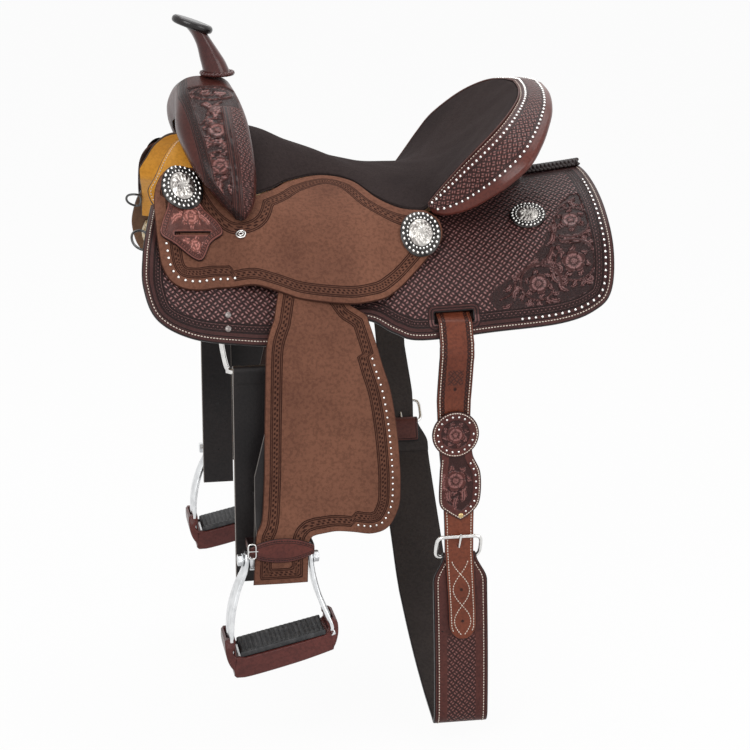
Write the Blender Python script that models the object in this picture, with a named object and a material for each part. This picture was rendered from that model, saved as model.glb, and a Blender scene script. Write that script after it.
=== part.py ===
"""Barrel racing saddle, at rest as it sits on a horse or a stand. Metres, +Z up.

The horn points to -X, the cantle to +X, the near (left) side is -Y and the off (right) side +Y.
The origin is on the middle plane, half way along the skirts, just under the seat's lowest point.
Leather lies over a horse-shaped surface: a place on it is x along the back, s down round the
barrel from the ridge, and lift, the height above the skirts' outer face.
"""

import math

import bmesh
import bpy
import numpy as np
from mathutils import Vector, geometry

NEAR, OFF = -1, 1
SIDES = {"near": NEAR, "off": OFF}

# the horse-shaped surface
BARREL_HALF_WIDTH = 0.245
BARREL_DROP = 0.27
RIDGE_HEIGHT = 0.030
RIDGE_RISE_FRONT = 0.30
RIDGE_RISE_REAR = 0.24

# leathers and small gaps
GAP = 0.0004
SKIRT_THICK = 0.0055
FLEECE_THICK = 0.013
OFF_SKIRT_BACK = 0.014
OFF_DEE_BACK = 0.0125
JOCKEY_THICK = 0.0042
STRAP_THICK = 0.0045
STACK_LIFT = 0.0045
LEATHER_THICK = 0.0035
LINER_THICK = 0.003
COVER_THICK = 0.0035

# tree
BAR_LIFT = 0.0165
FORK_WIDTH = 0.336
FORK_TOP = 0.187
HORN_HEIGHT = 0.060
HORN_CAP_LENGTH = 0.057
HORN_CAP_WIDTH = 0.050
HORN_CAP_THICK = 0.011
HORN_CAP_PITCH = math.radians(20)

# seat and cantle
SEAT_PAD = 0.010
GROUND_SEAT_THICK = 0.005
CANTLE_BOARD_THICK = 0.0085
ROLL_THICK = 0.011

# near fender swing and lift, and stirrup
SWING_X = -0.140
SWING_S = 0.250
HINGE_HEIGHT = -0.097
ROLLER_RADIUS = 0.014
NECK_OUT = 0.0162
BOLT_RADIUS = 0.005
BOLT_HEIGHT = -0.413
BOLT_CLEAR = 0.0055
BOLT_OUT = BARREL_HALF_WIDTH + BOLT_CLEAR
STIRRUP_LEFT = -0.2155
STIRRUP_RIGHT = -0.1310
STIRRUP_BAR_THICK = 0.006
TREAD_DEPTH = 0.062
PAD_THICK = 0.007
PAD_REACH = (-0.2270, -0.1150)
TREAD_RIBS = 7

# rigging
DEE_INSET = 0.0028
DEE_WIRE = 0.0033
DEE_DROP = 0.0488
LATIGO_WIDTH = 0.0445
LATIGO_LENGTH = 0.2885
BREAST_WIRE = 0.0016

# rear billets and cinch
BILLET_X = 0.0675
BILLET_WIDTH = 0.046
PIVOT_DROP = 0.0334
PIVOT_STAND = 0.0061
BUCKLE_WIDTH = 0.060
BUCKLE_HEIGHT = 0.038
BUCKLE_WIRE = 0.0025
BUCKLE_X = 0.0710
CINCH_WIDTH = 0.074
CINCH_THICK = 0.006
NEAR_BAR_DOWN = 0.2705
OFF_BAR_DOWN = 0.2150
OFF_LEAN = math.radians(22)

CONCHO_RADIUS = 0.0270
SKIRT_CONCHO_RADIUS = 0.0245

for old in list(bpy.data.objects):
    bpy.data.objects.remove(old, do_unlink=True)


# materials
def finish(name, colour, roughness, metallic=0.0):
    material = bpy.data.materials.new(name)
    material.use_nodes = True
    shader = material.node_tree.nodes["Principled BSDF"]
    shader.inputs["Base Color"].default_value = (*colour, 1.0)
    shader.inputs["Roughness"].default_value = roughness
    shader.inputs["Metallic"].default_value = metallic
    return material


DARK_LEATHER = finish("dark_oiled_leather", (0.045, 0.020, 0.016), 0.45)
ROUGHOUT = finish("roughout_leather", (0.170, 0.075, 0.045), 0.85)
RED_LEATHER = finish("red_brown_leather", (0.110, 0.035, 0.024), 0.38)
CHESTNUT = finish("chestnut_leather", (0.200, 0.065, 0.028), 0.40)
BLACK_LEATHER = finish("black_leather", (0.014, 0.012, 0.012), 0.40)
SUEDE = finish("chocolate_suede", (0.045, 0.030, 0.026), 0.90)
GOLDEN = finish("golden_lining", (0.600, 0.300, 0.060), 0.60)
WOOL = finish("wool_fleece", (0.550, 0.440, 0.280), 0.95)
WOOD = finish("tree_wood", (0.420, 0.280, 0.150), 0.60)
SILVER = finish("engraved_silver", (0.750, 0.740, 0.720), 0.25, 1.0)
NICKEL = finish("polished_nickel", (0.700, 0.700, 0.680), 0.20, 1.0)
ALUMINIUM = finish("brushed_aluminium", (0.720, 0.730, 0.740), 0.32, 1.0)
RUBBER = finish("black_rubber", (0.012, 0.012, 0.013), 0.70)


# mesh tools
def mesh_object(name, points, faces, material, origin=(0, 0, 0)):
    mesh = bpy.data.meshes.new(name)
    start = np.array(origin, float)
    mesh.from_pydata([tuple(np.array(p) - start) for p in points], [], faces)
    shape = bmesh.new()
    shape.from_mesh(mesh)
    bmesh.ops.recalc_face_normals(shape, faces=shape.faces)
    shape.to_mesh(mesh)
    shape.free()
    mesh.shade_smooth()
    mesh.set_sharp_from_angle(angle=math.radians(38))
    mesh.materials.append(material)
    piece = bpy.data.objects.new(name, mesh)
    piece.location = start
    bpy.context.scene.collection.objects.link(piece)
    return piece


def curve(points, step, closed=False):
    """A Catmull-Rom curve through the points, with a point about every step."""
    points = [np.array(p, float) for p in points]
    count = len(points)
    found = []
    for i in range(count if closed else count - 1):
        near = [points[(i + k) % count] if closed else points[min(max(i + k, 0), count - 1)]
                for k in (-1, 0, 1, 2)]
        spans = max(1, round(float(np.linalg.norm(near[2] - near[1])) / step))
        for j in range(spans):
            t = j / spans
            found.append(0.5 * (2 * near[1] + (near[2] - near[0]) * t
                                + (2 * near[0] - 5 * near[1] + 4 * near[2] - near[3]) * t * t
                                + (3 * near[1] - near[0] - 3 * near[2] + near[3]) * t ** 3))
    if not closed:
        found.append(points[-1])
    return found


def joined(*runs):
    """Open runs one after another, as one closed outline with corners where they meet."""
    outline = []
    for run in runs:
        for p in run:
            if not outline or np.linalg.norm(np.array(p) - outline[-1]) > 1e-5:
                outline.append(np.array(p, float))
    if np.linalg.norm(outline[0] - outline[-1]) < 1e-5:
        outline.pop()
    return outline


def inside(point, outline):
    x, y = point
    odd = False
    for a, b in zip(outline, outline[1:] + outline[:1]):
        if (a[1] > y) != (b[1] > y) and x < (b[0] - a[0]) * (y - a[1]) / (b[1] - a[1]) + a[0]:
            odd = not odd
    return odd


def edge_distance(point, outline):
    a = np.array(outline)
    b = np.roll(a, -1, axis=0)
    along = b - a
    t = np.clip(((point - a) * along).sum(1) / (along ** 2).sum(1), 0, 1)
    return float(np.linalg.norm(a + along * t[:, None] - point, axis=1).min())


def smooth_step(value, low, high):
    t = min(max((value - low) / (high - low), 0.0), 1.0)
    return t * t * (3 - 2 * t)


def sheet(name, outline, under, over, place, step, material, holes=(), origin=(0, 0, 0), long=1.5):
    """A leather cut to an outline in (x, s), between two lifts over a surface.

    The grid is long times coarser along x, where the surface hardly bends.
    """
    loops = [outline, *holes]
    points = [np.array(p, float) for loop in loops for p in loop]
    edges, first = [], 0
    for loop in loops:
        edges += [(first + i, first + (i + 1) % len(loop)) for i in range(len(loop))]
        first += len(loop)
    low, high = np.min(outline, axis=0), np.max(outline, axis=0)
    for column, x in enumerate(np.arange(low[0] + step * long / 2, high[0], step * long)):
        for y in np.arange(low[1] + step * (0.25 + 0.5 * (column % 2)), high[1], step):
            spot = np.array([x, y])
            if inside(spot, outline) and not any(inside(spot, hole) for hole in holes):
                if min(edge_distance(spot, loop) for loop in loops) > step * 0.55:
                    points.append(spot)
    found = geometry.delaunay_2d_cdt([Vector(p) for p in points], edges, [], 0, 1e-7)
    flat = [np.array(v) for v in found[0]]
    triangles = []
    for face in found[2]:
        middle = sum(flat[i] for i in face) / 3
        if inside(middle, outline) and not any(inside(middle, hole) for hole in holes):
            triangles.append(tuple(face))
    used = sorted({i for face in triangles for i in face})
    index = {old: new for new, old in enumerate(used)}
    triangles = [tuple(index[i] for i in face) for face in triangles]
    count = len(used)
    solid = [place(*flat[i], under(*flat[i]) if callable(under) else under) for i in used]
    solid += [place(*flat[i], over(*flat[i]) if callable(over) else over) for i in used]
    directed = {(face[k], face[(k + 1) % 3]) for face in triangles for k in range(3)}
    faces = [tuple(reversed(face)) for face in triangles]
    faces += [tuple(i + count for i in face) for face in triangles]
    faces += [(a, b, b + count, a + count) for a, b in directed if (b, a) not in directed]
    return mesh_object(name, solid, faces, material, origin)


def loft(name, rings, material, origin=(0, 0, 0), closed=False):
    size = len(rings[0])
    points = [p for ring in rings for p in ring]
    faces = []
    for r in range(len(rings) - (0 if closed else 1)):
        a, b = r * size, (r + 1) % len(rings) * size
        faces += [(a + i, a + (i + 1) % size, b + (i + 1) % size, b + i) for i in range(size)]
    if not closed:
        for start in (0, (len(rings) - 1) * size):
            middle = len(points)
            points.append(sum(np.array(points[start + i]) for i in range(size)) / size)
            faces += [(start + i, start + (i + 1) % size, middle) for i in range(size)]
    return mesh_object(name, points, faces, material, origin)


def strip(name, path, thick, low, high, material, origin=(0, 0, 0), place=None):
    """A band of rectangular section. Its middle line is a path in a plane, (y, z) unless place
    says otherwise, and it reaches across from low to high."""
    place = place or (lambda across, a, b: np.array([across, a, b]))
    path = [np.array(p, float) for p in path]
    count = len(path)
    spread = [v if isinstance(v, (list, tuple, np.ndarray)) else [v] * count for v in (thick, low, high)]
    rings = []
    for i, p in enumerate(path):
        ahead = path[min(i + 1, count - 1)] - p
        behind = p - path[max(i - 1, 0)]
        way = ahead / (np.linalg.norm(ahead) or 1) + behind / (np.linalg.norm(behind) or 1)
        way /= np.linalg.norm(way)
        bend = float(way @ (ahead if np.linalg.norm(ahead) > 0 else behind))
        bend /= max(np.linalg.norm(ahead if np.linalg.norm(ahead) > 0 else behind), 1e-9)
        normal = np.array([-way[1], way[0]]) * spread[0][i] / 2 / max(bend, 0.6)
        a, b = p + normal, p - normal
        x0, x1 = spread[1][i], spread[2][i]
        rings.append([place(x0, *a), place(x1, *a), place(x1, *b), place(x0, *b)])
    return loft(name, rings, material, origin)


def wire(name, path, radius, sides, material, origin=(0, 0, 0), closed=False):
    path = [np.array(p, float) for p in path]
    count = len(path)
    rings, up = [], None
    for i, p in enumerate(path):
        a = path[i - 1] if closed or i else p
        b = path[(i + 1) % count] if closed or i < count - 1 else p
        way = (b - a) / np.linalg.norm(b - a)
        if up is None:
            up = np.cross(way, [0.0, 0.0, 1.0] if abs(way[2]) < 0.9 else [1.0, 0.0, 0.0])
        up = up - way * (up @ way)
        up /= np.linalg.norm(up)
        side = np.cross(way, up)
        turns = [2 * math.pi * (k + 0.5) / sides for k in range(sides)]
        rings.append([p + radius * (math.cos(t) * up + math.sin(t) * side) for t in turns])
    return loft(name, rings, material, origin, closed)


def combine(piece, other, operation):
    """Applies a Boolean to piece at once, and removes the other object."""
    modifier = piece.modifiers.new("combine", "BOOLEAN")
    modifier.operation = operation
    modifier.object = other
    bpy.context.view_layer.update()
    graph = bpy.context.evaluated_depsgraph_get()
    mesh = bpy.data.meshes.new_from_object(piece.evaluated_get(graph))
    piece.modifiers.clear()
    piece.data = mesh
    bpy.data.objects.remove(other, do_unlink=True)
    mesh.shade_smooth()
    mesh.set_sharp_from_angle(angle=math.radians(38))
    return piece


def round_bar(name, profile, centre, sides, material, origin=(0, 0, 0)):
    """A turned bar along X: (x, radius) stations about the centre (y, z)."""
    turns = [2 * math.pi * k / sides for k in range(sides)]
    rings = [[(x, centre[0] + r * math.cos(t), centre[1] + r * math.sin(t)) for t in turns]
             for x, r in profile]
    return loft(name, rings, material, origin)


# the surface that everything lies on
def barrel_level(x):
    rise = RIDGE_RISE_REAR if x > 0 else RIDGE_RISE_FRONT
    return RIDGE_HEIGHT + rise * x * x - BARREL_DROP


GIRTH = (BARREL_HALF_WIDTH + BARREL_DROP) / 2


def on_back(x, s, lift, side=NEAR):
    angle, level = s / GIRTH, barrel_level(x)
    if angle <= math.pi / 2:
        y = (BARREL_HALF_WIDTH + lift) * math.sin(angle)
        return np.array([x, side * y, level + (BARREL_DROP + lift) * math.cos(angle)])
    return np.array([x, side * (BARREL_HALF_WIDTH + lift), level - (s - math.pi / 2 * GIRTH)])


def s_at_height(x, z, lift):
    """The s at which the surface at this x and lift is at height z."""
    drop = z - barrel_level(x)
    if drop >= 0:
        return math.acos(min(drop / (BARREL_DROP + lift), 1.0)) * GIRTH
    return math.pi / 2 * GIRTH - drop


def on_side(side):
    return lambda x, s, lift: on_back(x, s, lift, side)


# lifts of the leathers that lie over others
FENDER_LIFT = STACK_LIFT + LEATHER_THICK + 0.0003
STACK_TOP = FENDER_LIFT + LEATHER_THICK


def jockey_under(x, s):
    over_tree = 0.026 + 0.018 * smooth_step(-x, 0.215, 0.262) * smooth_step(0.150 - s, 0.0, 0.055)
    over_tree -= 0.008 * smooth_step(-x, 0.285, 0.315)
    crown = 0.092 * min(math.hypot(x - SWING_X, 0.006) - 0.006, 0.064)
    passing = STACK_TOP + crown
    spread = max(smooth_step(SWING_X - x, 0.045, 0.090), smooth_step(x - SWING_X, 0.095, 0.150))
    edge = passing * (1 - spread) + 0.0009 * spread
    return over_tree + (edge - over_tree) * smooth_step(s, 0.135, 0.212)


def jockey_top(x, s):
    return jockey_under(x, s) + JOCKEY_THICK


# outlines in (x, s), from the photograph's proportions
SLOT = [(BILLET_X - 0.0255, 0.2657), (BILLET_X + 0.0255, 0.2657),
        (BILLET_X + 0.0255, 0.2800), (BILLET_X - 0.0255, 0.2800)]
SKIRT_LOWER = [(-0.316, 0.112), (-0.327, 0.165), (-0.334, 0.205), (-0.336, 0.248), (-0.3215, 0.288),
               (-0.2785, 0.307), (-0.213, 0.309), (-0.160, 0.306), (-0.100, 0.292),
               (-0.050, 0.272), (-0.012, 0.290), (0.022, 0.300), (0.121, 0.2966), (0.211, 0.296),
               (0.257, 0.286), (0.281, 0.2645), (0.292, 0.208), (0.293, 0.137), (0.290, 0.060),
               (0.288, 0.004)]
SKIRT_UPPER = [(0.288, 0.004), (0.205, 0.004), (0.165, 0.030), (0.100, 0.050), (0.0, 0.060),
               (-0.100, 0.075), (-0.165, 0.102), (-0.316, 0.112)]
skirt_outline = joined(curve(SKIRT_LOWER, 0.026), curve(SKIRT_UPPER[:2], 0.03),
                       curve(SKIRT_UPPER[1:7], 0.04), curve(SKIRT_UPPER[6:], 0.03))

FLEECE_FRONT = [(-0.185, 0.104), (-0.185, 0.222), (-0.318, 0.222), (-0.322, 0.255), (-0.300, 0.284),
                (-0.262, 0.292)]
DEE_NOTCH = [(-0.262, 0.292), (-0.262, 0.250), (-0.140, 0.250), (-0.140, 0.288)]
FLEECE_LOWER = [(-0.140, 0.288), (-0.100, 0.278), (-0.050, 0.259), (-0.010, 0.278), (0.036, 0.289)]
BILLET_NOTCH = [(0.036, 0.289), (0.036, 0.232), (0.099, 0.232), (0.099, 0.288)]
FLEECE_REAR = [(0.099, 0.288), (0.205, 0.287), (0.250, 0.278), (0.272, 0.258), (0.283, 0.206),
               (0.284, 0.137), (0.281, 0.060), (0.279, 0.006)]
FLEECE_UPPER = [(0.279, 0.006), (0.207, 0.006), (0.165, 0.032), (0.100, 0.052), (0.0, 0.062),
                (-0.100, 0.077), (-0.160, 0.100), (-0.185, 0.104)]
fleece_outline = joined(FLEECE_FRONT[:3], curve(FLEECE_FRONT[2:], 0.04), DEE_NOTCH,
                        curve(FLEECE_LOWER, 0.04), BILLET_NOTCH, curve(FLEECE_REAR, 0.045),
                        FLEECE_UPPER[:2], curve(FLEECE_UPPER[1:7], 0.05), FLEECE_UPPER[6:])

# where the seat's suede meets the jockeys, and how the jockeys pass round the fork's foot
SEAT_LINE = [(-0.180, 0.108), (-0.155, 0.092), (-0.129, 0.069), (-0.084, 0.048), (-0.046, 0.063),
             (-0.019, 0.1035), (0.010, 0.126), (0.041, 0.132)]
JOCKEY_LOWER = [(-0.264, 0.088), (-0.289, 0.092), (-0.306, 0.108), (-0.314, 0.130),
                (-0.3145, 0.166), (-0.313, 0.194), (-0.310, 0.219), (-0.301, 0.2365),
                (-0.286, 0.245), (-0.262, 0.245), (-0.236, 0.239), (-0.196, 0.237),
                (-0.162, 0.243), (-0.131, 0.251), (-0.078, 0.257), (-0.0515, 0.256),
                (-0.024, 0.249), (-0.001, 0.232), (0.021, 0.211), (0.043, 0.190),
                (0.061, 0.172), (0.060, 0.150), (0.044, 0.1346)]
FORK_NOTCH = [(-0.180, 0.1106), (-0.190, 0.140), (-0.209, 0.152), (-0.227, 0.145), (-0.243, 0.125),
              (-0.256, 0.101), (-0.264, 0.088)]
seat_edge = [p + np.array([0.0, 0.0041]) for p in curve(SEAT_LINE, 0.022)]
jockey_outline = joined(curve(JOCKEY_LOWER, 0.018), list(reversed(seat_edge)),
                        curve(FORK_NOTCH, 0.02))

BAR_OUTLINE = [(-0.285, 0.116), (-0.235, 0.112), (-0.165, 0.106), (-0.110, 0.085), (0.0, 0.066),
               (0.090, 0.056), (0.122, 0.062), (0.105, 0.080), (0.065, 0.100), (0.015, 0.118),
               (-0.050, 0.120), (-0.110, 0.122), (-0.170, 0.145), (-0.250, 0.158),
               (-0.285, 0.142)]

# fender and stirrup leather, in (x, s)
LINE_S = math.pi / 2 * GIRTH


def hinge_s(x):
    return s_at_height(x, HINGE_HEIGHT, STACK_TOP)


def low_s(x, z):
    return LINE_S + barrel_level(x) - z


HINGE_LEFT, HINGE_RIGHT = -0.1715, -0.0500
hinge_line = [(x, hinge_s(x)) for x in np.linspace(HINGE_LEFT, HINGE_RIGHT, 7)]
FENDER_FRONT = [(-0.182, 0.304), (-0.186, 0.338), (-0.189, 0.400), (-0.191, 0.482),
                (-0.195, 0.530), (-0.2030, low_s(-0.2, BOLT_HEIGHT + 0.0410)),
                (-0.2055, low_s(-0.2, BOLT_HEIGHT + 0.0180)),
                (-0.2065, low_s(-0.2, BOLT_HEIGHT)), (-0.2085, low_s(-0.2, BOLT_HEIGHT - 0.0280))]
NECK_END = [(-0.2085, low_s(-0.2, BOLT_HEIGHT - 0.0280)), (-0.1370, low_s(-0.2, BOLT_HEIGHT - 0.0280))]
NECK_REAR = [(-0.1370, low_s(-0.2, BOLT_HEIGHT - 0.0280)), (-0.1362, low_s(-0.2, BOLT_HEIGHT)),
             (-0.1352, low_s(-0.2, BOLT_HEIGHT + 0.0245)), (-0.1290, low_s(-0.2, BOLT_HEIGHT + 0.0335)),
             (-0.1175, low_s(-0.12, BOLT_HEIGHT + 0.0355))]
FENDER_REAR = [(-0.1175, low_s(-0.12, BOLT_HEIGHT + 0.0355)), (-0.098, low_s(-0.1, BOLT_HEIGHT + 0.0360)),
               (-0.073, low_s(-0.07, BOLT_HEIGHT + 0.0315)), (-0.048, low_s(-0.05, BOLT_HEIGHT + 0.0280)),
               (-0.027, low_s(-0.03, BOLT_HEIGHT + 0.0360)), (-0.0135, low_s(0, -0.351)),
               (-0.011, low_s(0, -0.323)), (-0.012, low_s(0, -0.289)),
               (-0.0166, low_s(0, -0.239)), (-0.024, low_s(0, -0.195)), (-0.033, 0.330),
               (-0.041, 0.300), (HINGE_RIGHT, hinge_s(HINGE_RIGHT))]
fender_outline = joined(hinge_line[::-1], curve([hinge_line[0], *FENDER_FRONT], 0.030),
                        curve(NECK_END, 0.030), curve(NECK_REAR, 0.02),
                        curve(FENDER_REAR, 0.030))
UPPER_REST = [(-0.0700, 0.256), (-0.098, 0.215), (-0.104, 0.205), (-0.155, 0.205)]
upper_outline = joined([(x, s - 0.0004) for x, s in hinge_line], UPPER_REST)


def upper_under(x, s):
    """Beside the stirrup leather only the fender's own thickness is left, so that it swings freely."""
    return STACK_LIFT + 0.0036 * smooth_step(x, -0.108, -0.085)


def upper_over(x, s):
    """It thins a little towards its top end, which turns under the jockey."""
    return STACK_TOP - 0.0009 * smooth_step(SWING_S - s, 0.0, 0.035)


def neck_bulge(x, s):
    """How far the lower end stands out to pass in front of the stirrup's roller."""
    along = 1 - smooth_step(x, -0.125, -0.070)
    return NECK_OUT * smooth_step(s, low_s(-0.2, BOLT_HEIGHT + 0.095), low_s(-0.2, BOLT_HEIGHT + 0.015)) * along


# tree
def bar_top(x, s):
    return BAR_LIFT - 0.0055 * smooth_step(x, -0.08, 0.01)


def build_bars():
    outline = curve(BAR_OUTLINE, 0.035, closed=True)
    for word, side in SIDES.items():
        sheet(f"tree_bar_{word}", outline, 0.0018, bar_top, on_side(side), 0.034, WOOD)


# The fork's outer profile (y, z), from the near foot to the top, and the gullet's under it.
FORK_OUTER = [(-0.487, 0.0205), (-0.500, 0.040), (-0.491, 0.065), (-0.452, 0.092),
              (-0.381, 0.120), (-0.274, 0.150), (-0.149, 0.174), (0.0, FORK_TOP)]
FORK_FRONT = [-0.2080, -0.2290, -0.2480, -0.2640, -0.2730, -0.2780, -0.2760, -0.2730]
FORK_REAR = [-0.1985, -0.1880, -0.1815, -0.181, -0.182, -0.184, -0.189, -0.194]
GULLET = [(-0.104, 0.046), (-0.102, 0.057), (-0.097, 0.069), (-0.086, 0.084), (-0.068, 0.099),
          (-0.045, 0.1095), (-0.022, 0.1150), (0.0, 0.1165)]


# The wood's foot, which stands on the bars inside the leather lobe: outer y, z, front, rear, gullet.
FORK_FOOT = [(-0.142, 0.0168, -0.232, -0.194, -0.100, 0.0406),
             (-0.149, 0.0300, -0.229, -0.192, -0.102, 0.0500)]


def fork_stations(foot=()):
    """Per station: outer point, front x, rear x, inner point, over both halves."""
    half = [np.array(p, float) for p in foot]
    for (share, z), front, rear, gullet in list(zip(FORK_OUTER, FORK_FRONT, FORK_REAR, GULLET))[len(foot):]:
        half.append(np.array([share * FORK_WIDTH, z, front, rear, *gullet]))
    near = curve(half, 0.022)
    far = [p * np.array([-1, 1, 1, 1, -1, 1]) for p in near[-2::-1]]
    return near + far


def fork_point(station, turn, inset):
    """A point on the fork's section: turn 0 faces out, +-90 degrees the front and the rear."""
    outer, inner = station[0:2], station[4:6]
    depth = np.linalg.norm(inner - outer)
    down = (inner - outer) / depth
    half_x = (station[3] - station[2]) / 2 - inset
    half_r = depth / 2 - inset
    power = 2 / 2.9
    c, s = math.cos(turn), math.sin(turn)
    x = (station[2] + station[3]) / 2 + half_x * math.copysign(abs(s) ** power, s)
    r = depth / 2 - half_r * math.copysign(abs(c) ** power, c)
    y, z = outer + down * r
    settle = smooth_step(0.050 - station[1], 0.0, 0.033) if inset else 0.0
    return np.array([x, y, z + settle * RIDGE_RISE_FRONT * (x * x - 0.21 ** 2)])


def build_fork():
    turns = [2 * math.pi * k / 12 for k in range(12)]
    inset = COVER_THICK + 0.0030
    core = fork_stations(FORK_FOOT)
    loft("fork", [[fork_point(st, t, inset) for t in turns] for st in core], WOOD)
    rings = []
    for st in fork_stations():
        wrap = 58 + 66 * smooth_step(st[1], 0.015, 0.100)
        cover_turns = [math.radians(a) for a in np.linspace(-wrap, wrap, 11)]
        ring = [fork_point(st, t, 0.0) for t in cover_turns]
        ring += [fork_point(st, t, COVER_THICK) for t in reversed(cover_turns)]
        rings.append(ring)
    loft("fork_cover", rings, RED_LEATHER)


LINER_PATH = [(-0.1755, -0.0458), (-0.1445, -0.0148), (-0.1147, 0.0076), (-0.0942, 0.0182),
              (-0.0812, 0.0284), (-0.0800, 0.048), (-0.0760, 0.066), (-0.0650, 0.0850),
              (-0.0450, 0.1000), (-0.0200, 0.1075), (0.0, 0.1095)]
LINER_FRONT = {NEAR: [-0.328, -0.3225, -0.3155, -0.312, -0.316, -0.318, -0.308, -0.297, -0.283, -0.268,
                      -0.262],
               OFF: [-0.3100, -0.3115, -0.3140, -0.3165, -0.3175, -0.3175, -0.308, -0.297, -0.283,
                     -0.268, -0.262]}
LINER_REAR = [-0.191, -0.191, -0.190, -0.188, -0.187, -0.186, -0.186, -0.186, -0.186, -0.186, -0.186]


def build_gullet_liner():
    halves = {side: curve([np.array([*p, a, b]) for p, a, b in
                           zip(LINER_PATH, LINER_FRONT[side], LINER_REAR)], 0.020)
              for side in (NEAR, OFF)}
    path = halves[NEAR] + [p * np.array([-1, 1, 1, 1]) for p in halves[OFF][-2::-1]]
    rings = []
    for i, p in enumerate(path):
        way = path[min(i + 1, len(path) - 1)][:2] - path[max(i - 1, 0)][:2]
        normal = np.array([-way[1], way[0]]) / np.linalg.norm(way)
        if normal @ p[:2] < 0 and p[1] > 0.05:
            normal = -normal
        follow = smooth_step(0.060 - p[1], 0.0, 0.045)
        top, bottom = [], []
        for t in np.linspace(0, 1, 5):
            x = p[2] + (p[3] - p[2]) * t
            z = RIDGE_RISE_FRONT * (x * x - 0.25 ** 2) * follow
            for row, out in ((top, LINER_THICK / 2), (bottom, -LINER_THICK / 2)):
                spot = p[:2] + normal * out
                row.append(np.array([x, spot[0], spot[1] + z]))
        rings.append(top + bottom[::-1])
    loft("gullet_liner", rings, GOLDEN)


NECK_BASE = (-0.2165, FORK_TOP + 0.0008)


def build_horn():
    """The neck leans forward from the fork's top and carries the cap's oval disc."""
    lean = [(0.00, -0.2150, 0.0215, 0.0240), (0.10, -0.2165, 0.0195, 0.0215),
            (0.35, -0.2215, 0.0165, 0.0175), (0.62, -0.2280, 0.0140, 0.0150),
            (0.85, -0.2355, 0.0135, 0.0145), (1.00, -0.2420, 0.0150, 0.0165)]
    turns = [2 * math.pi * k / 14 for k in range(14)]
    tilt = math.tan(HORN_CAP_PITCH)
    rings = []
    for share, x, half_x, half_y in lean:
        ring = []
        for t in turns:
            px = x + half_x * math.cos(t)
            z = NECK_BASE[1] + HORN_HEIGHT * share - (px - x) * tilt * smooth_step(share, 0.1, 1.0)
            ring.append((px, half_y * math.sin(t), z))
        rings.append(ring)
    loft("horn_neck", rings, RED_LEATHER)
    centre = np.array([-0.2490, 0.0, NECK_BASE[1] + HORN_HEIGHT + GAP
                       + (0.2490 - 0.2420) * tilt])
    along = np.array([-math.cos(HORN_CAP_PITCH), 0.0, math.sin(HORN_CAP_PITCH)])
    up = np.array([math.sin(HORN_CAP_PITCH), 0.0, math.cos(HORN_CAP_PITCH)])
    rim = [(0.86, 0.0), (0.985, 0.25), (1.0, 0.50), (0.97, 0.78), (0.86, 0.96), (0.60, 1.0)]
    rings = []
    for wide, high in rim:
        rings.append([centre + along * HORN_CAP_LENGTH / 2 * wide * math.cos(t)
                      + np.array([0, HORN_CAP_WIDTH / 2 * wide * math.sin(t), 0])
                      + up * HORN_CAP_THICK * high for t in turns])
    loft("horn_cap", rings, BLACK_LEATHER)


# seat, cantle and roll
RIM = [(0.0535, -0.1345, 0.0385), (0.072, -0.138, 0.056), (0.092, -0.144, 0.075),
       (0.112, -0.149, 0.094), (0.136, -0.143, 0.115), (0.154, -0.130, 0.132),
       (0.169, -0.108, 0.147), (0.180, -0.080, 0.158)]
RIM_TOP = (0.191, 0.0, 0.169)
CREST = [(-0.180, 0.1185), (-0.155, 0.111), (-0.125, 0.098), (-0.084, 0.082), (-0.046, 0.068),
         (-0.012, 0.061), (0.018, 0.0585), (0.045, 0.0595), (0.065, 0.0635), (0.083, 0.070),
         (0.105, 0.084), (0.127, 0.102), (0.147, 0.122), (0.164, 0.140), (0.179, 0.156),
         (RIM_TOP[0], RIM_TOP[2])]
SEAT_LIFT = 0.0310


def seat_rows():
    """(side point, crest point) pairs from the fork to the cantle's top."""
    side = [on_back(x, s, SEAT_LIFT) for x, s in SEAT_LINE] + [np.array(p) for p in RIM]
    rows = [np.array([*p, *c]) for p, c in zip(side, CREST)]
    return curve(rows, 0.040)


SEAT_ROWS = seat_rows()
SEAT_COLUMNS = 13


def seat_point(row, across):
    sx, sy, sz, cx, cz = row
    fall = abs(across) ** 2.2
    return np.array([cx + (sx - cx) * abs(across) ** 2.0, -sy * across, cz + (sz - cz) * fall])


def seat_normal(row, across):
    i = min(max(row, 0), len(SEAT_ROWS) - 1)
    a, b = SEAT_ROWS[max(i - 1, 0)], SEAT_ROWS[min(i + 1, len(SEAT_ROWS) - 1)]
    along = seat_point(b, across) - seat_point(a, across)
    step = 0.04
    wide = seat_point(SEAT_ROWS[i], min(across + step, 1)) - seat_point(SEAT_ROWS[i], max(across - step, -1))
    normal = np.cross(along, wide)
    return normal / np.linalg.norm(normal)


def seat_layer(name, first, last, top, bottom, reach, material, columns=SEAT_COLUMNS):
    """A layer of the seat between two depths under its surface."""
    rings = []
    for i in range(first, last):
        line = [(a, seat_point(SEAT_ROWS[i], a), seat_normal(i, a))
                for a in np.linspace(-reach, reach, columns)]
        upper = [p - n * (top(i, a) if callable(top) else top) for a, p, n in line]
        lower = [p - n * (bottom(i, a) if callable(bottom) else bottom) for a, p, n in line]
        rings.append(upper + lower[::-1])
    return loft(name, rings, material)


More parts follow.
